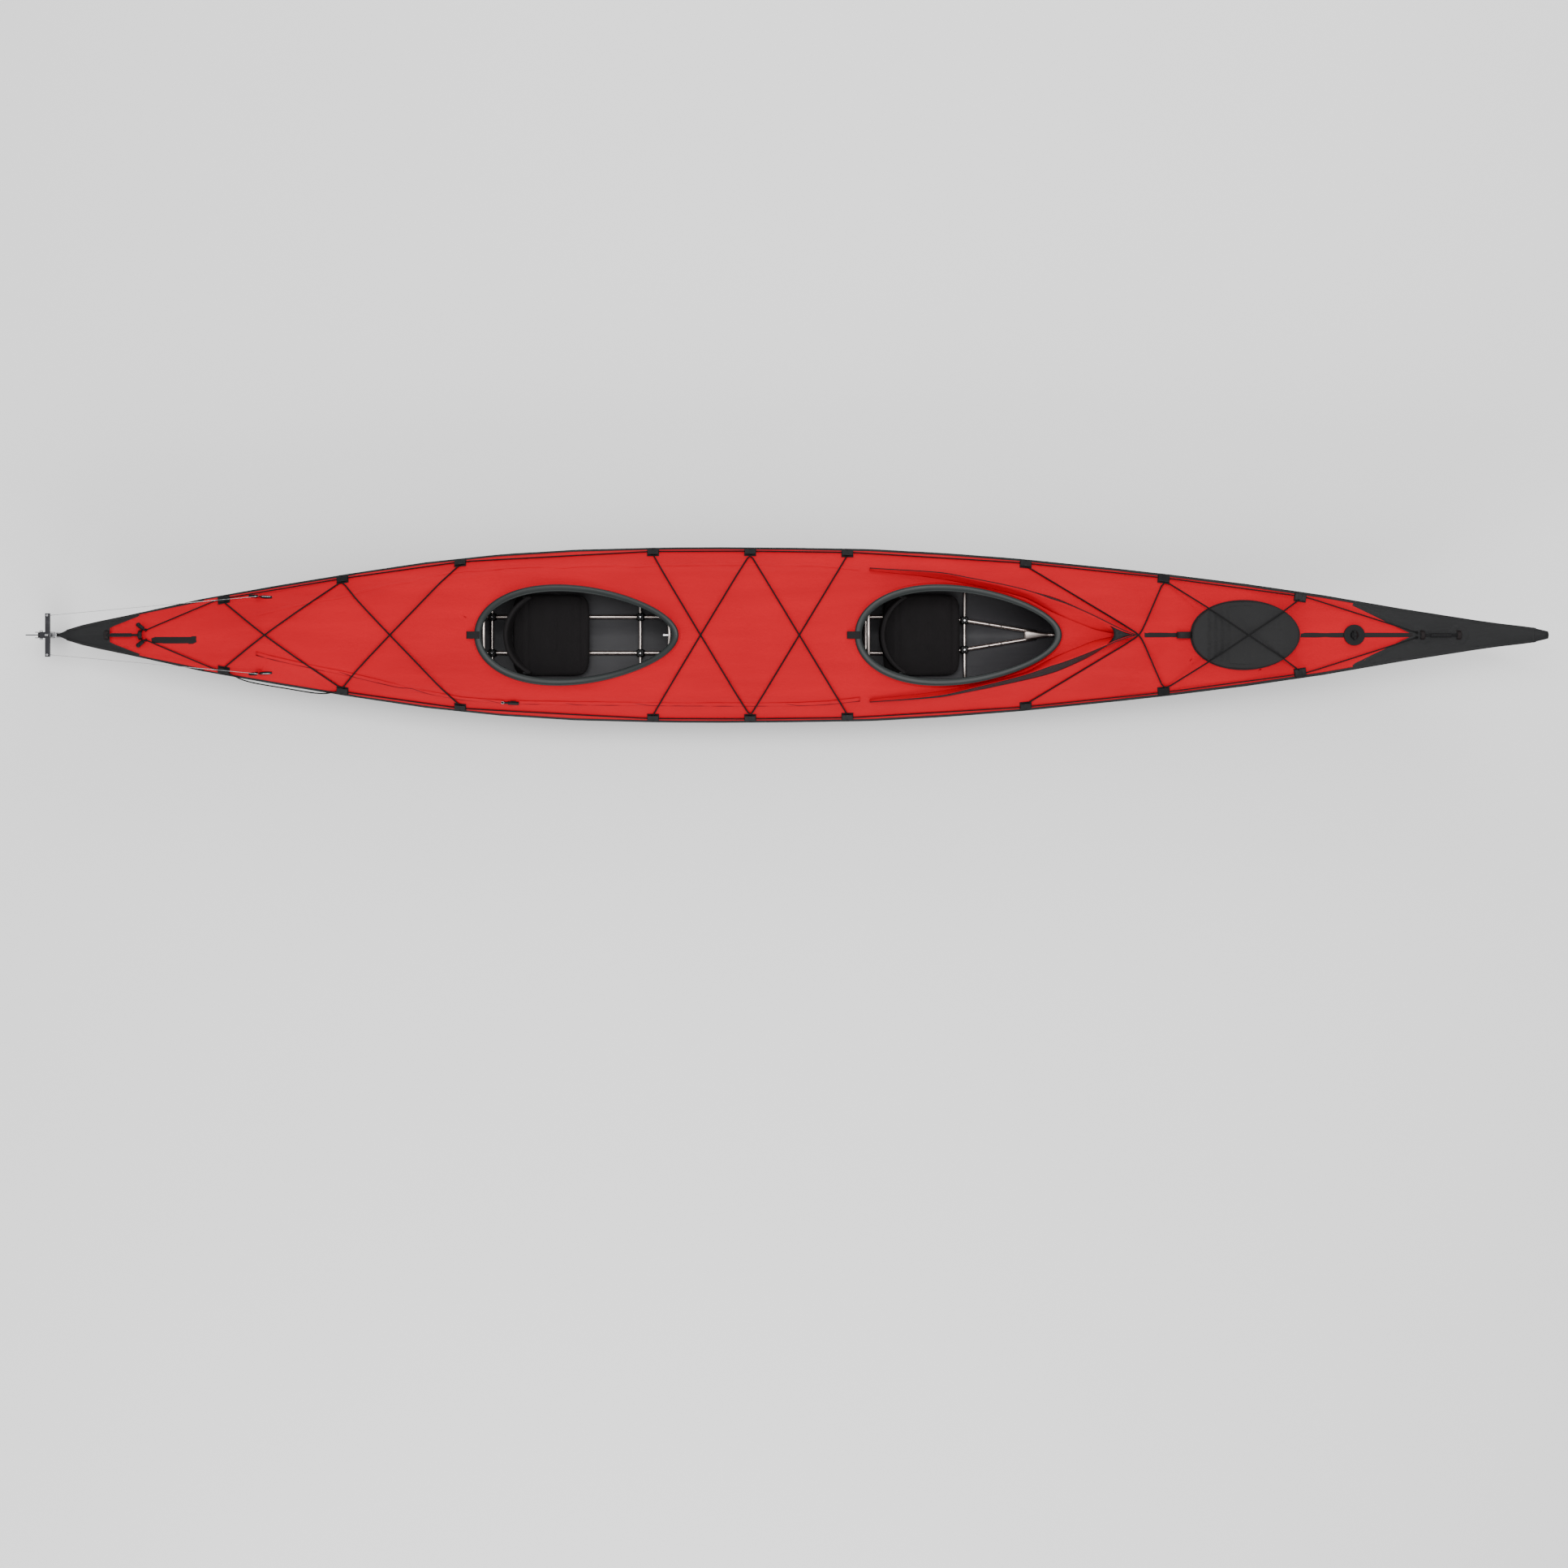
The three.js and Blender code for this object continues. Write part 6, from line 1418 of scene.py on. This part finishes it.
class KAYAK_OT_hatch(bpy.types.Operator):
    """Hatch rim, padded cover with its elastic hem, and the pull strap"""

    bl_idname = "kayak.hatch"
    bl_label = "Hatch"

    def execute(self, context):
        low, high = box("hatch_cover")
        centre = (low.x + high.x) / 2
        length, beam = (high.x - low.x) / 2, high.y
        rings, around = 22, circle(120)
        points = []
        for c, s in around:
            x, y = centre + length * c, beam * s
            points.append(Vector((x, y, over_deck(x, y) + 0.5 * MM)))
        for r in range(rings + 1):
            share = 1 - r / rings * 0.985
            relief = 1.5 * MM * hump(share, 0.93, 0.02) - 1.4 * MM * hump(share, 0.9, 0.012) - 0.2 * MM
            for c, s in around:
                x, y = centre + length * share * c, beam * share * s
                slack = noise.noise(Vector((x * 16, y * 22, 4))) * 1.6 * MM * min(1, r / 6)
                points.append(Vector((x, y, hatch_top(x, y) + slack + relief)))
        rows, columns = rings + 2, len(around)
        faces = grid_faces(rows, columns, True) + ring_ends(rows, columns)[1:]
        made = piece("hatch_cap", points, faces, hatch_cloth, "hatch_cover", 0.0026, -1.0)
        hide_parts("hatch_cover")
        hem = []
        for c, s in circle(100):
            x, y = centre + (length + MM) * c, (beam + MM) * s
            hem.append(Vector((x, y, over_deck(x, y) + 4.2 * MM)))
        rope("hatch_hem", hem, 4.6 * MM, seat_cloth, "hatch_cover", closed=True)
        rounded("hatch_rim", moulding, bevel=0.001)
        self.strap(low.x)
        return {"FINISHED"}

    def strap(self, end):
        """A webbing loop at the cover's aft end."""
        deck = plain_deck(end, 0.0)
        spots = [(-0.02, 0.3), (-0.3, 0.66), (-0.6, 0.76), (-0.88, 0.68), (-1, 0.42), (-0.9, 0.2), (-0.5, 0.12),
                 (-0.01, 0.1)]
        line = eased([Vector((end + s * 0.062, 0, deck + h * 0.036)) for s, h in spots], 0.004, 6)
        rows = []
        for p in line:
            ways = [k / 3 - 1 for k in range(7)]
            rows.append([p + Vector((0, 0.013 * way, 0.6 * MM * math.cos(math.pi * way))) for way in ways])
        made = webbing("pull_strap", rows, tape_cloth, 0.0022, "hatch_cover")
        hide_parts("hatch_pull")


class KAYAK_OT_breakwater(bpy.types.Operator):
    """The two-faced spray collar in front of the front cockpit"""

    bl_idname = "kayak.breakwater"
    bl_label = "Breakwater"

    def execute(self, context):
        steps, rows = 56, 7
        arm = self.arm(steps)
        outer = []
        inner = []
        for side in (1, -1):
            for x, base_y, tip, foot_y, t in arm if side > 0 else arm[::-1][1:]:
                # Both wings lean a little to port, and swell where they run into the tip
                lean = (0.012 if side > 0 else -0.009) * math.sin(math.pi * t ** 1.5)
                swell = 0.015 * math.sin(math.pi * clamp((t - 0.66) / 0.34))
                low = Vector((x, side * base_y, plain_deck(x, side * base_y) - FOOT_DEPTH))
                deep = Vector((x, side * foot_y, plain_deck(x, side * foot_y) - FOOT_DEPTH))
                high = Vector((tip.x, side * (tip.y + lean + swell), tip.z))
                lining = high - Vector((0.001, side * 0.0008, 0.0012))
                for r in range(rows):
                    u = r / (rows - 1)
                    belly = math.sin(math.pi * u)
                    crease = noise.noise(Vector((x * 9, side * 3 + u * 2, 1))) * 2.4 * MM * belly
                    bend = belly * 4 * MM
                    outer.append(low.lerp(high, u) + Vector((0, side * (crease - bend), crease * 0.4)))
                    inner.append(deep.lerp(lining, u) + Vector((0, -side * crease * 0.5, -bend * 0.5)))
        faces = grid_faces(2 * steps + 1, rows)
        made = piece("breakwater_outer", outer, faces, cover_coat, "hull", SEWN_CLOTH, 1.0)
        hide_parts("breakwater")
        piece("breakwater_inner", inner, faces, deck_cloth, "hull", SEWN_CLOTH, -1.0)
        edge = outer[rows - 1::rows]
        cap_length = 0.115
        reach = [j for j in range(1, steps) if arm[steps - j][0] > arm[-1][0] - cap_length]
        self.cap(edge, steps, reach)
        rope("breakwater_binding", edge, 1.9 * MM, seat_cloth, sides=8)
        return {"FINISHED"}

    def arm(self, steps):
        """The port wing from its aft end to the tip: x, base, top edge, inner foot and the way along."""
        places = [row[0] for row in BREAKWATER_SHARES]
        base, top, height, foot = (
            curve_through([(row[0], row[column]) for row in BREAKWATER_SHARES]) for column in range(1, 5))
        arm = []
        for i in range(steps + 1):
            t = i / steps
            s = mix(places[0], places[-1], t ** 0.85)
            x = FRONT_RIM_X + s * RIM_LENGTH
            close = 1 - t ** 14
            tip_y = mix(top(s), base(s), 0.3) * HALF_BEAM * (1 - t ** 8)
            tip = Vector((x + t ** 6 * 0.04 * RIM_LENGTH, tip_y, height(s) * SEAM_HEIGHT + 0.0105 * t ** 6))
            arm.append((x, mix(base(s), top(s), 0.25) * HALF_BEAM * close, tip, foot(s) * HALF_BEAM * close, t))
        return arm

    def cap(self, edge, middle, reach):
        """The black fold that joins the two wings behind the tip, with a notch in its aft edge."""
        notch_depth, deepest_sag = 0.036, 12 * MM
        points = []
        for j in reach:
            port, starboard = edge[middle - j], edge[middle + j]
            for c in range(9):
                arch = math.sin(math.pi * c / 8)
                sag = arch * min(0.5 * (port - starboard).length, deepest_sag)
                notch = notch_depth * arch * j / reach[-1]
                points.append(port.lerp(starboard, c / 8) + Vector((notch, 0, -sag)))
        faces = grid_faces(len(reach), 9)
        piece("breakwater_cap", points, faces, cover_coat, thickness=SEWN_CLOTH)


class KAYAK_OT_zip(bpy.types.Operator):
    """The stowage zip along the starboard deck"""

    bl_idname = "kayak.zip"
    bl_label = "Stowage zip"

    def execute(self, context):
        sheet_piece("zip_cover", fine_sheet("zip_flap", 0.03, 2), deck_cloth, "zip_flap")
        rows = {}
        for v in plain_mesh("zip_flap").vertices:
            rows.setdefault(round(v.co.x / 0.02), []).append(v.co)
        teeth = [min(row, key=lambda p: p.y) + Vector((0, 0.001, 0.0006)) for _, row in sorted(rows.items())]
        rope("zip_teeth", eased(teeth, 0.03, 2), 1.5 * MM, moulding, sides=8)
        seam = strip_rows([(p.x, -p.y) for p in eased(teeth, 0.05, 3)], 0.013)
        laid("port_deck_seam", seam, 1.3 * MM, deck_cloth)
        rounded("zip_slider", moulding, "zip_slider", 0.0009)
        low, high = box("zip_slider")
        centre = Vector((low.x + 0.006, (low.y + high.y) / 2 + 0.001, (low.z + high.z) / 2 + 0.004))
        loop = [centre + Vector((0.006 * c, 0.0045 * s, 0.002 * c)) for c, s in circle(20)]
        ring = [rod(a, b, 0.0009, 8) for a, b in zip(loop, loop[1:] + loop[:1])]
        solid("zip_ring", bright_steel, ring, "zip_slider")
        return {"FINISHED"}


class KAYAK_OT_handles(bpy.types.Operator):
    """Carrying handles with ribbed grips, and the bow deck fitting"""

    bl_idname = "kayak.handles"
    bl_label = "Handles"

    def execute(self, context):
        self.handle("bow", 0.010)
        self.handle("stern", 0.022)
        self.fitting()
        return {"FINISHED"}

    def handle(self, word, rise):
        body = f"{word}_handle"
        low, high = box(body)
        aft, fore = (Vector((x, 0, self.foot_height(x))) for x in (low.x + 0.0056, high.x - 0.0056))
        shares = [(0, 0), (0.08, 0.62), (0.22, 0.93), (0.5, 1), (0.78, 0.93), (0.92, 0.62), (1, 0)]
        line = eased([aft.lerp(fore, s) + Vector((0, 0, h * rise)) for s, h in shares], 0.003, 8)
        made = rope(f"{body}_cord", line, 4.6 * MM, braid, body, 14)
        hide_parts(body)

        def ribs(t):
            return 1 + 0.07 * math.sin(2 * math.pi * 13 * t) - 0.12 * (abs(2 * t - 1) > 0.96)

        grip = line[len(line) * 22 // 100: len(line) * 79 // 100]
        rope(f"{word}_grip", eased(grip, 0.0012, 1), 7.6 * MM, moulding, body, 18, False, ribs)
        along = (fore - aft).normalized() * 0.0055
        eyes = [rod(spot - along, spot + along, 0.0068, 24) for spot in (aft, fore)]
        solid(f"{body}_eyes", moulding, eyes, body, 0.0009)
        for i, spot in enumerate((aft, fore)):
            self.loop(f"{body}_loop_{i + 1}", spot)

    def loop(self, name, spot):
        """A sewn webbing loop that holds one eye of a handle."""
        width = 0.016
        rows = []
        for k in range(9):
            angle = math.pi * k / 8
            sewn = k in (0, 8)
            y = 0.0125 * math.cos(angle) * (1.5 if sewn else 1)
            z = over_deck(spot.x, y) - FOOT_DEPTH if sewn else spot.z + 0.0088 * math.sin(angle)
            rows.append([Vector((spot.x + width * (m / 4 - 0.5), y, z)) for m in range(5)])
        webbing(name, rows, tape_cloth, 0.0014)

    def foot_height(self, x):
        foot = 0.007
        return max(plain_deck(x + t * foot, 0.0) for t in (-0.8, 0, 0.8)) + foot + 0.3 * MM

    def fitting(self):
        """A moulded disc with a cross bar on two lugs."""
        low, high = box("bow_deck_fitting")
        x = (low.x + high.x) / 2
        deck = plain_deck(x, 0.0)
        rounded("bow_deck_fitting", moulding, bevel=0.0012)
        lugs = [ball((x, y, deck + 0.013), 0.0085, (1, 0.85, 1)) for y in (0.0115, -0.0115)]
        bar = rod((x + 0.004, -0.018, deck + 0.016), (x - 0.004, 0.018, deck + 0.016), 0.0048)
        solid("bow_cleat_lugs", moulding, lugs + [bar])


class KAYAK_OT_rudder(bpy.types.Operator):
    """Rudder bracket, pin, head, yoke, blade and bolt"""

    bl_idname = "kayak.rudder"
    bl_label = "Rudder"

    def execute(self, context):
        for name, finish, slot, body, bevel in (
            ("rudder_bracket", bright_steel, "rudder_metal", "hull", 0.0007),
            ("rudder_head", dark_metal, "rudder_metal", "rudder", 0.0008),
            ("rudder_yoke", dark_metal, "rudder_metal", "rudder", 0.0008),
            ("rudder_blade", dark_metal, "rudder_metal", "blade", 0.0009),
            ("rudder_pin", bright_steel, "steel", "rudder", 0.0006),
            ("rudder_bolt", bright_steel, "steel", "rudder", 0.0006),
        ):
            rounded(name, finish, body, bevel)
        low, high = box("rudder_yoke")
        bolt_low, bolt_high = box("rudder_bolt")
        yoke_z = (low.z + high.z) / 2
        bolt = (bolt_low + bolt_high) / 2
        shackles = []
        nuts = []
        for side in (1, -1):
            y = side * (high.y - 0.008)
            x = high.x - 0.009
            shackles.append(rod((x, y, high.z - 0.002), (x, y, high.z + 0.003), 0.0045))
            shackles.append(rod((high.x - 0.004, y, yoke_z), (high.x + 0.004, y, yoke_z), 0.0024, 16))
            inner, outer = (side * (bolt_high.y + past) for past in (-0.001, 0.0028))
            nuts.append(rod((bolt.x, inner, bolt.z), (bolt.x, outer, bolt.z), 0.0062, 6))
        solid("yoke_cable_ends", bright_steel, shackles, "rudder", 0.0005)
        solid("rudder_bolt_nuts", bright_steel, nuts, "rudder", 0.0005)
        return {"FINISHED"}


class KAYAK_OT_stage(bpy.types.Operator):
    """Pale floor, soft light and the camera above the boat"""

    bl_idname = "kayak.stage"
    bl_label = "Stage"

    def execute(self, context):
        stage = context.scene.kayak_stage
        self.floor(20, CAD_BOX[0][2] - 0.001)
        world = bpy.data.worlds.new("studio")
        world.use_nodes = True
        background = world.node_tree.nodes["Background"]
        background.inputs["Color"].default_value = (1, 1, 1, 1)
        background.inputs["Strength"].default_value = stage.room_light
        context.scene.world = world
        for name, place, size, power in (
            ("overhead", (0.4, 1.5, 9.4), (7.0, 3.0), stage.overhead_light),
            ("side", (-1.0, -7.0, 3.4), (7.0, 2.0), stage.side_light),
            ("far_side", (1.0, 7.5, 3.6), (7.0, 2.0), stage.side_light * 0.6),
        ):
            lamp = bpy.data.lights.new(name, "AREA")
            lamp.shape = "RECTANGLE"
            lamp.size, lamp.size_y = size
            lamp.energy = power
            aim = Vector((0, 0, 0.2)) - Vector(place)
            self.put(name, lamp, place, aim.to_track_quat("-Z", "Y").to_euler())
        lens = bpy.data.cameras.new("camera")
        lens.sensor_width = 36
        lens.lens = stage.lens
        lens.shift_y = stage.shift
        context.scene.camera = self.put("camera", lens, (-0.052, 0, stage.camera_height), (0, 0, 0))
        return {"FINISHED"}

    def put(self, name, data, place, turn):
        made = bpy.data.objects.new(name, data)
        made.location = place
        made.rotation_euler = turn
        bpy.context.scene.collection.objects.link(made)
        return made

    def floor(self, reach, level):
        paper = Finish("floor paper", (0.9, 0.9, 0.9), 0.9, Specular_IOR_Level=0.1)
        paper.set("Base Color", paper.tint(paper.grain(1.5), 0.99, 1.01))
        corners = [(reach * x, reach * y, level) for x, y in ((-1, -1), (1, -1), (1, 1), (-1, 1))]
        mesh = bpy.data.meshes.new("floor")
        mesh.from_pydata(corners, [], [(0, 1, 2, 3)])
        mesh.materials.append(paper.material)
        self.put("floor", mesh, (0, 0, 0), (0, 0, 0))


# ---- Settings, panel and registration -------------------------------------------------------------------

def length(name, description, default):
    return bpy.props.FloatProperty(name=name, description=description, default=default, unit="LENGTH", precision=5)


def number(name, description, default, unit="NONE"):
    return bpy.props.FloatProperty(name=name, description=description, default=default, unit=unit)


def colour(name, description, default):
    return bpy.props.FloatVectorProperty(
        name=name, description=description, default=default, subtype="COLOR", size=3, min=0.0, max=1.0)


class KayakSizes(bpy.types.PropertyGroup):
    """Thicknesses, widths and diameters"""

    hull_cloth: length("Hull cloth", "Thickness of the coated hull cloth", 0.002)
    deck_cloth: length("Deck cloth", "Thickness of the deck cloth", 0.0016)
    tape_width: length("Seam tape", "Width of the tapes along the centre of the foredeck", 0.02)
    rim_width: length("Rim width", "Width of the cockpit rims", 0.028)
    rim_height: length("Rim height", "Height of the rims' section", 0.015)
    elastic_cord: length("Elastic cord", "Diameter of the elastic deck cords", 0.006)
    edge_line: length("Edge line", "Diameter of the lines along the deck's edges", 0.005)


class KayakColours(bpy.types.PropertyGroup):
    """Base colours of the finishes"""

    deck: colour("Deck", "Deck cloth", (0.47, 0.0022, 0.011))
    hull: colour("Hull", "Coated hull cloth", (0.022, 0.0215, 0.0245))
    cover: colour("Covers", "End covers and breakwater", (0.0075, 0.0078, 0.0084))
    rim: colour("Rims", "Cockpit rims", (0.0085, 0.0112, 0.0112))
    tape: colour("Tape", "Seam tapes and webbing", (0.011, 0.0082, 0.0085))
    seat: colour("Seats", "Seats and backrests", (0.0125, 0.0112, 0.0118))
    hatch: colour("Hatch cover", "Cloth of the hatch cover", (0.0135, 0.0135, 0.014))
    moulding: colour("Mouldings", "Black fittings", (0.0035, 0.0035, 0.004))
    alloy: colour("Tubes", "Anodised frame tubes", (0.52, 0.46, 0.43))
    steel: colour("Steel", "Pins, bolts and wires", (0.5, 0.5, 0.51))
    rudder: colour("Rudder", "Dark anodised plates", (0.03, 0.0295, 0.034))
    cord: colour("Cord", "Cords and lines", (0.004, 0.004, 0.0043))


class KayakStage(bpy.types.PropertyGroup):
    """Light and camera"""

    room_light: number("Room light", "Even light from all round", 1.0)
    overhead_light: number("Overhead light", "Power of the light above", 620.0, "POWER")
    side_light: number("Side light", "Power of the light to starboard", 300.0, "POWER")
    camera_height: length("Camera height", "Height of the camera above the keel", 8.53)
    lens: number("Lens", "Focal length", 47.5, "CAMERA")
    shift: number("Shift", "Vertical shift of the lens", -0.095)


class KAYAK_PT_pieces(bpy.types.Panel):
    """Sizes, colours and the steps that make the kayak"""

    bl_label = "Folding kayak"
    bl_space_type = "VIEW_3D"
    bl_region_type = "UI"
    bl_category = "Kayak"

    def draw(self, context):
        layout = self.layout
        for group in (context.scene.kayak_sizes, context.scene.kayak_colours, context.scene.kayak_stage):
            settings = layout.box()
            for name in group.__annotations__:
                settings.prop(group, name)
        for operator in OPERATORS:
            layout.operator(operator.bl_idname)


OPERATORS = (
    KAYAK_OT_stage, KAYAK_OT_hull, KAYAK_OT_deck, KAYAK_OT_rims, KAYAK_OT_seats, KAYAK_OT_tubes, KAYAK_OT_cords,
    KAYAK_OT_hatch, KAYAK_OT_breakwater, KAYAK_OT_zip, KAYAK_OT_handles, KAYAK_OT_rudder,
)
GROUPS = {"kayak_sizes": KayakSizes, "kayak_colours": KayakColours, "kayak_stage": KayakStage}


def register():
    for name, group in GROUPS.items():
        bpy.utils.register_class(group)
        setattr(bpy.types.Scene, name, bpy.props.PointerProperty(type=group))
    for operator in OPERATORS:
        bpy.utils.register_class(operator)
    bpy.utils.register_class(KAYAK_PT_pieces)


def unregister():
    bpy.utils.unregister_class(KAYAK_PT_pieces)
    for operator in reversed(OPERATORS):
        bpy.utils.unregister_class(operator)
    for name, group in reversed(list(GROUPS.items())):
        delattr(bpy.types.Scene, name)
        bpy.utils.unregister_class(group)


def main():
    register()
    for operator in OPERATORS:
        group, name = operator.bl_idname.split(".")
        getattr(getattr(bpy.ops, group), name)()


if __name__ == "__main__":
    main()
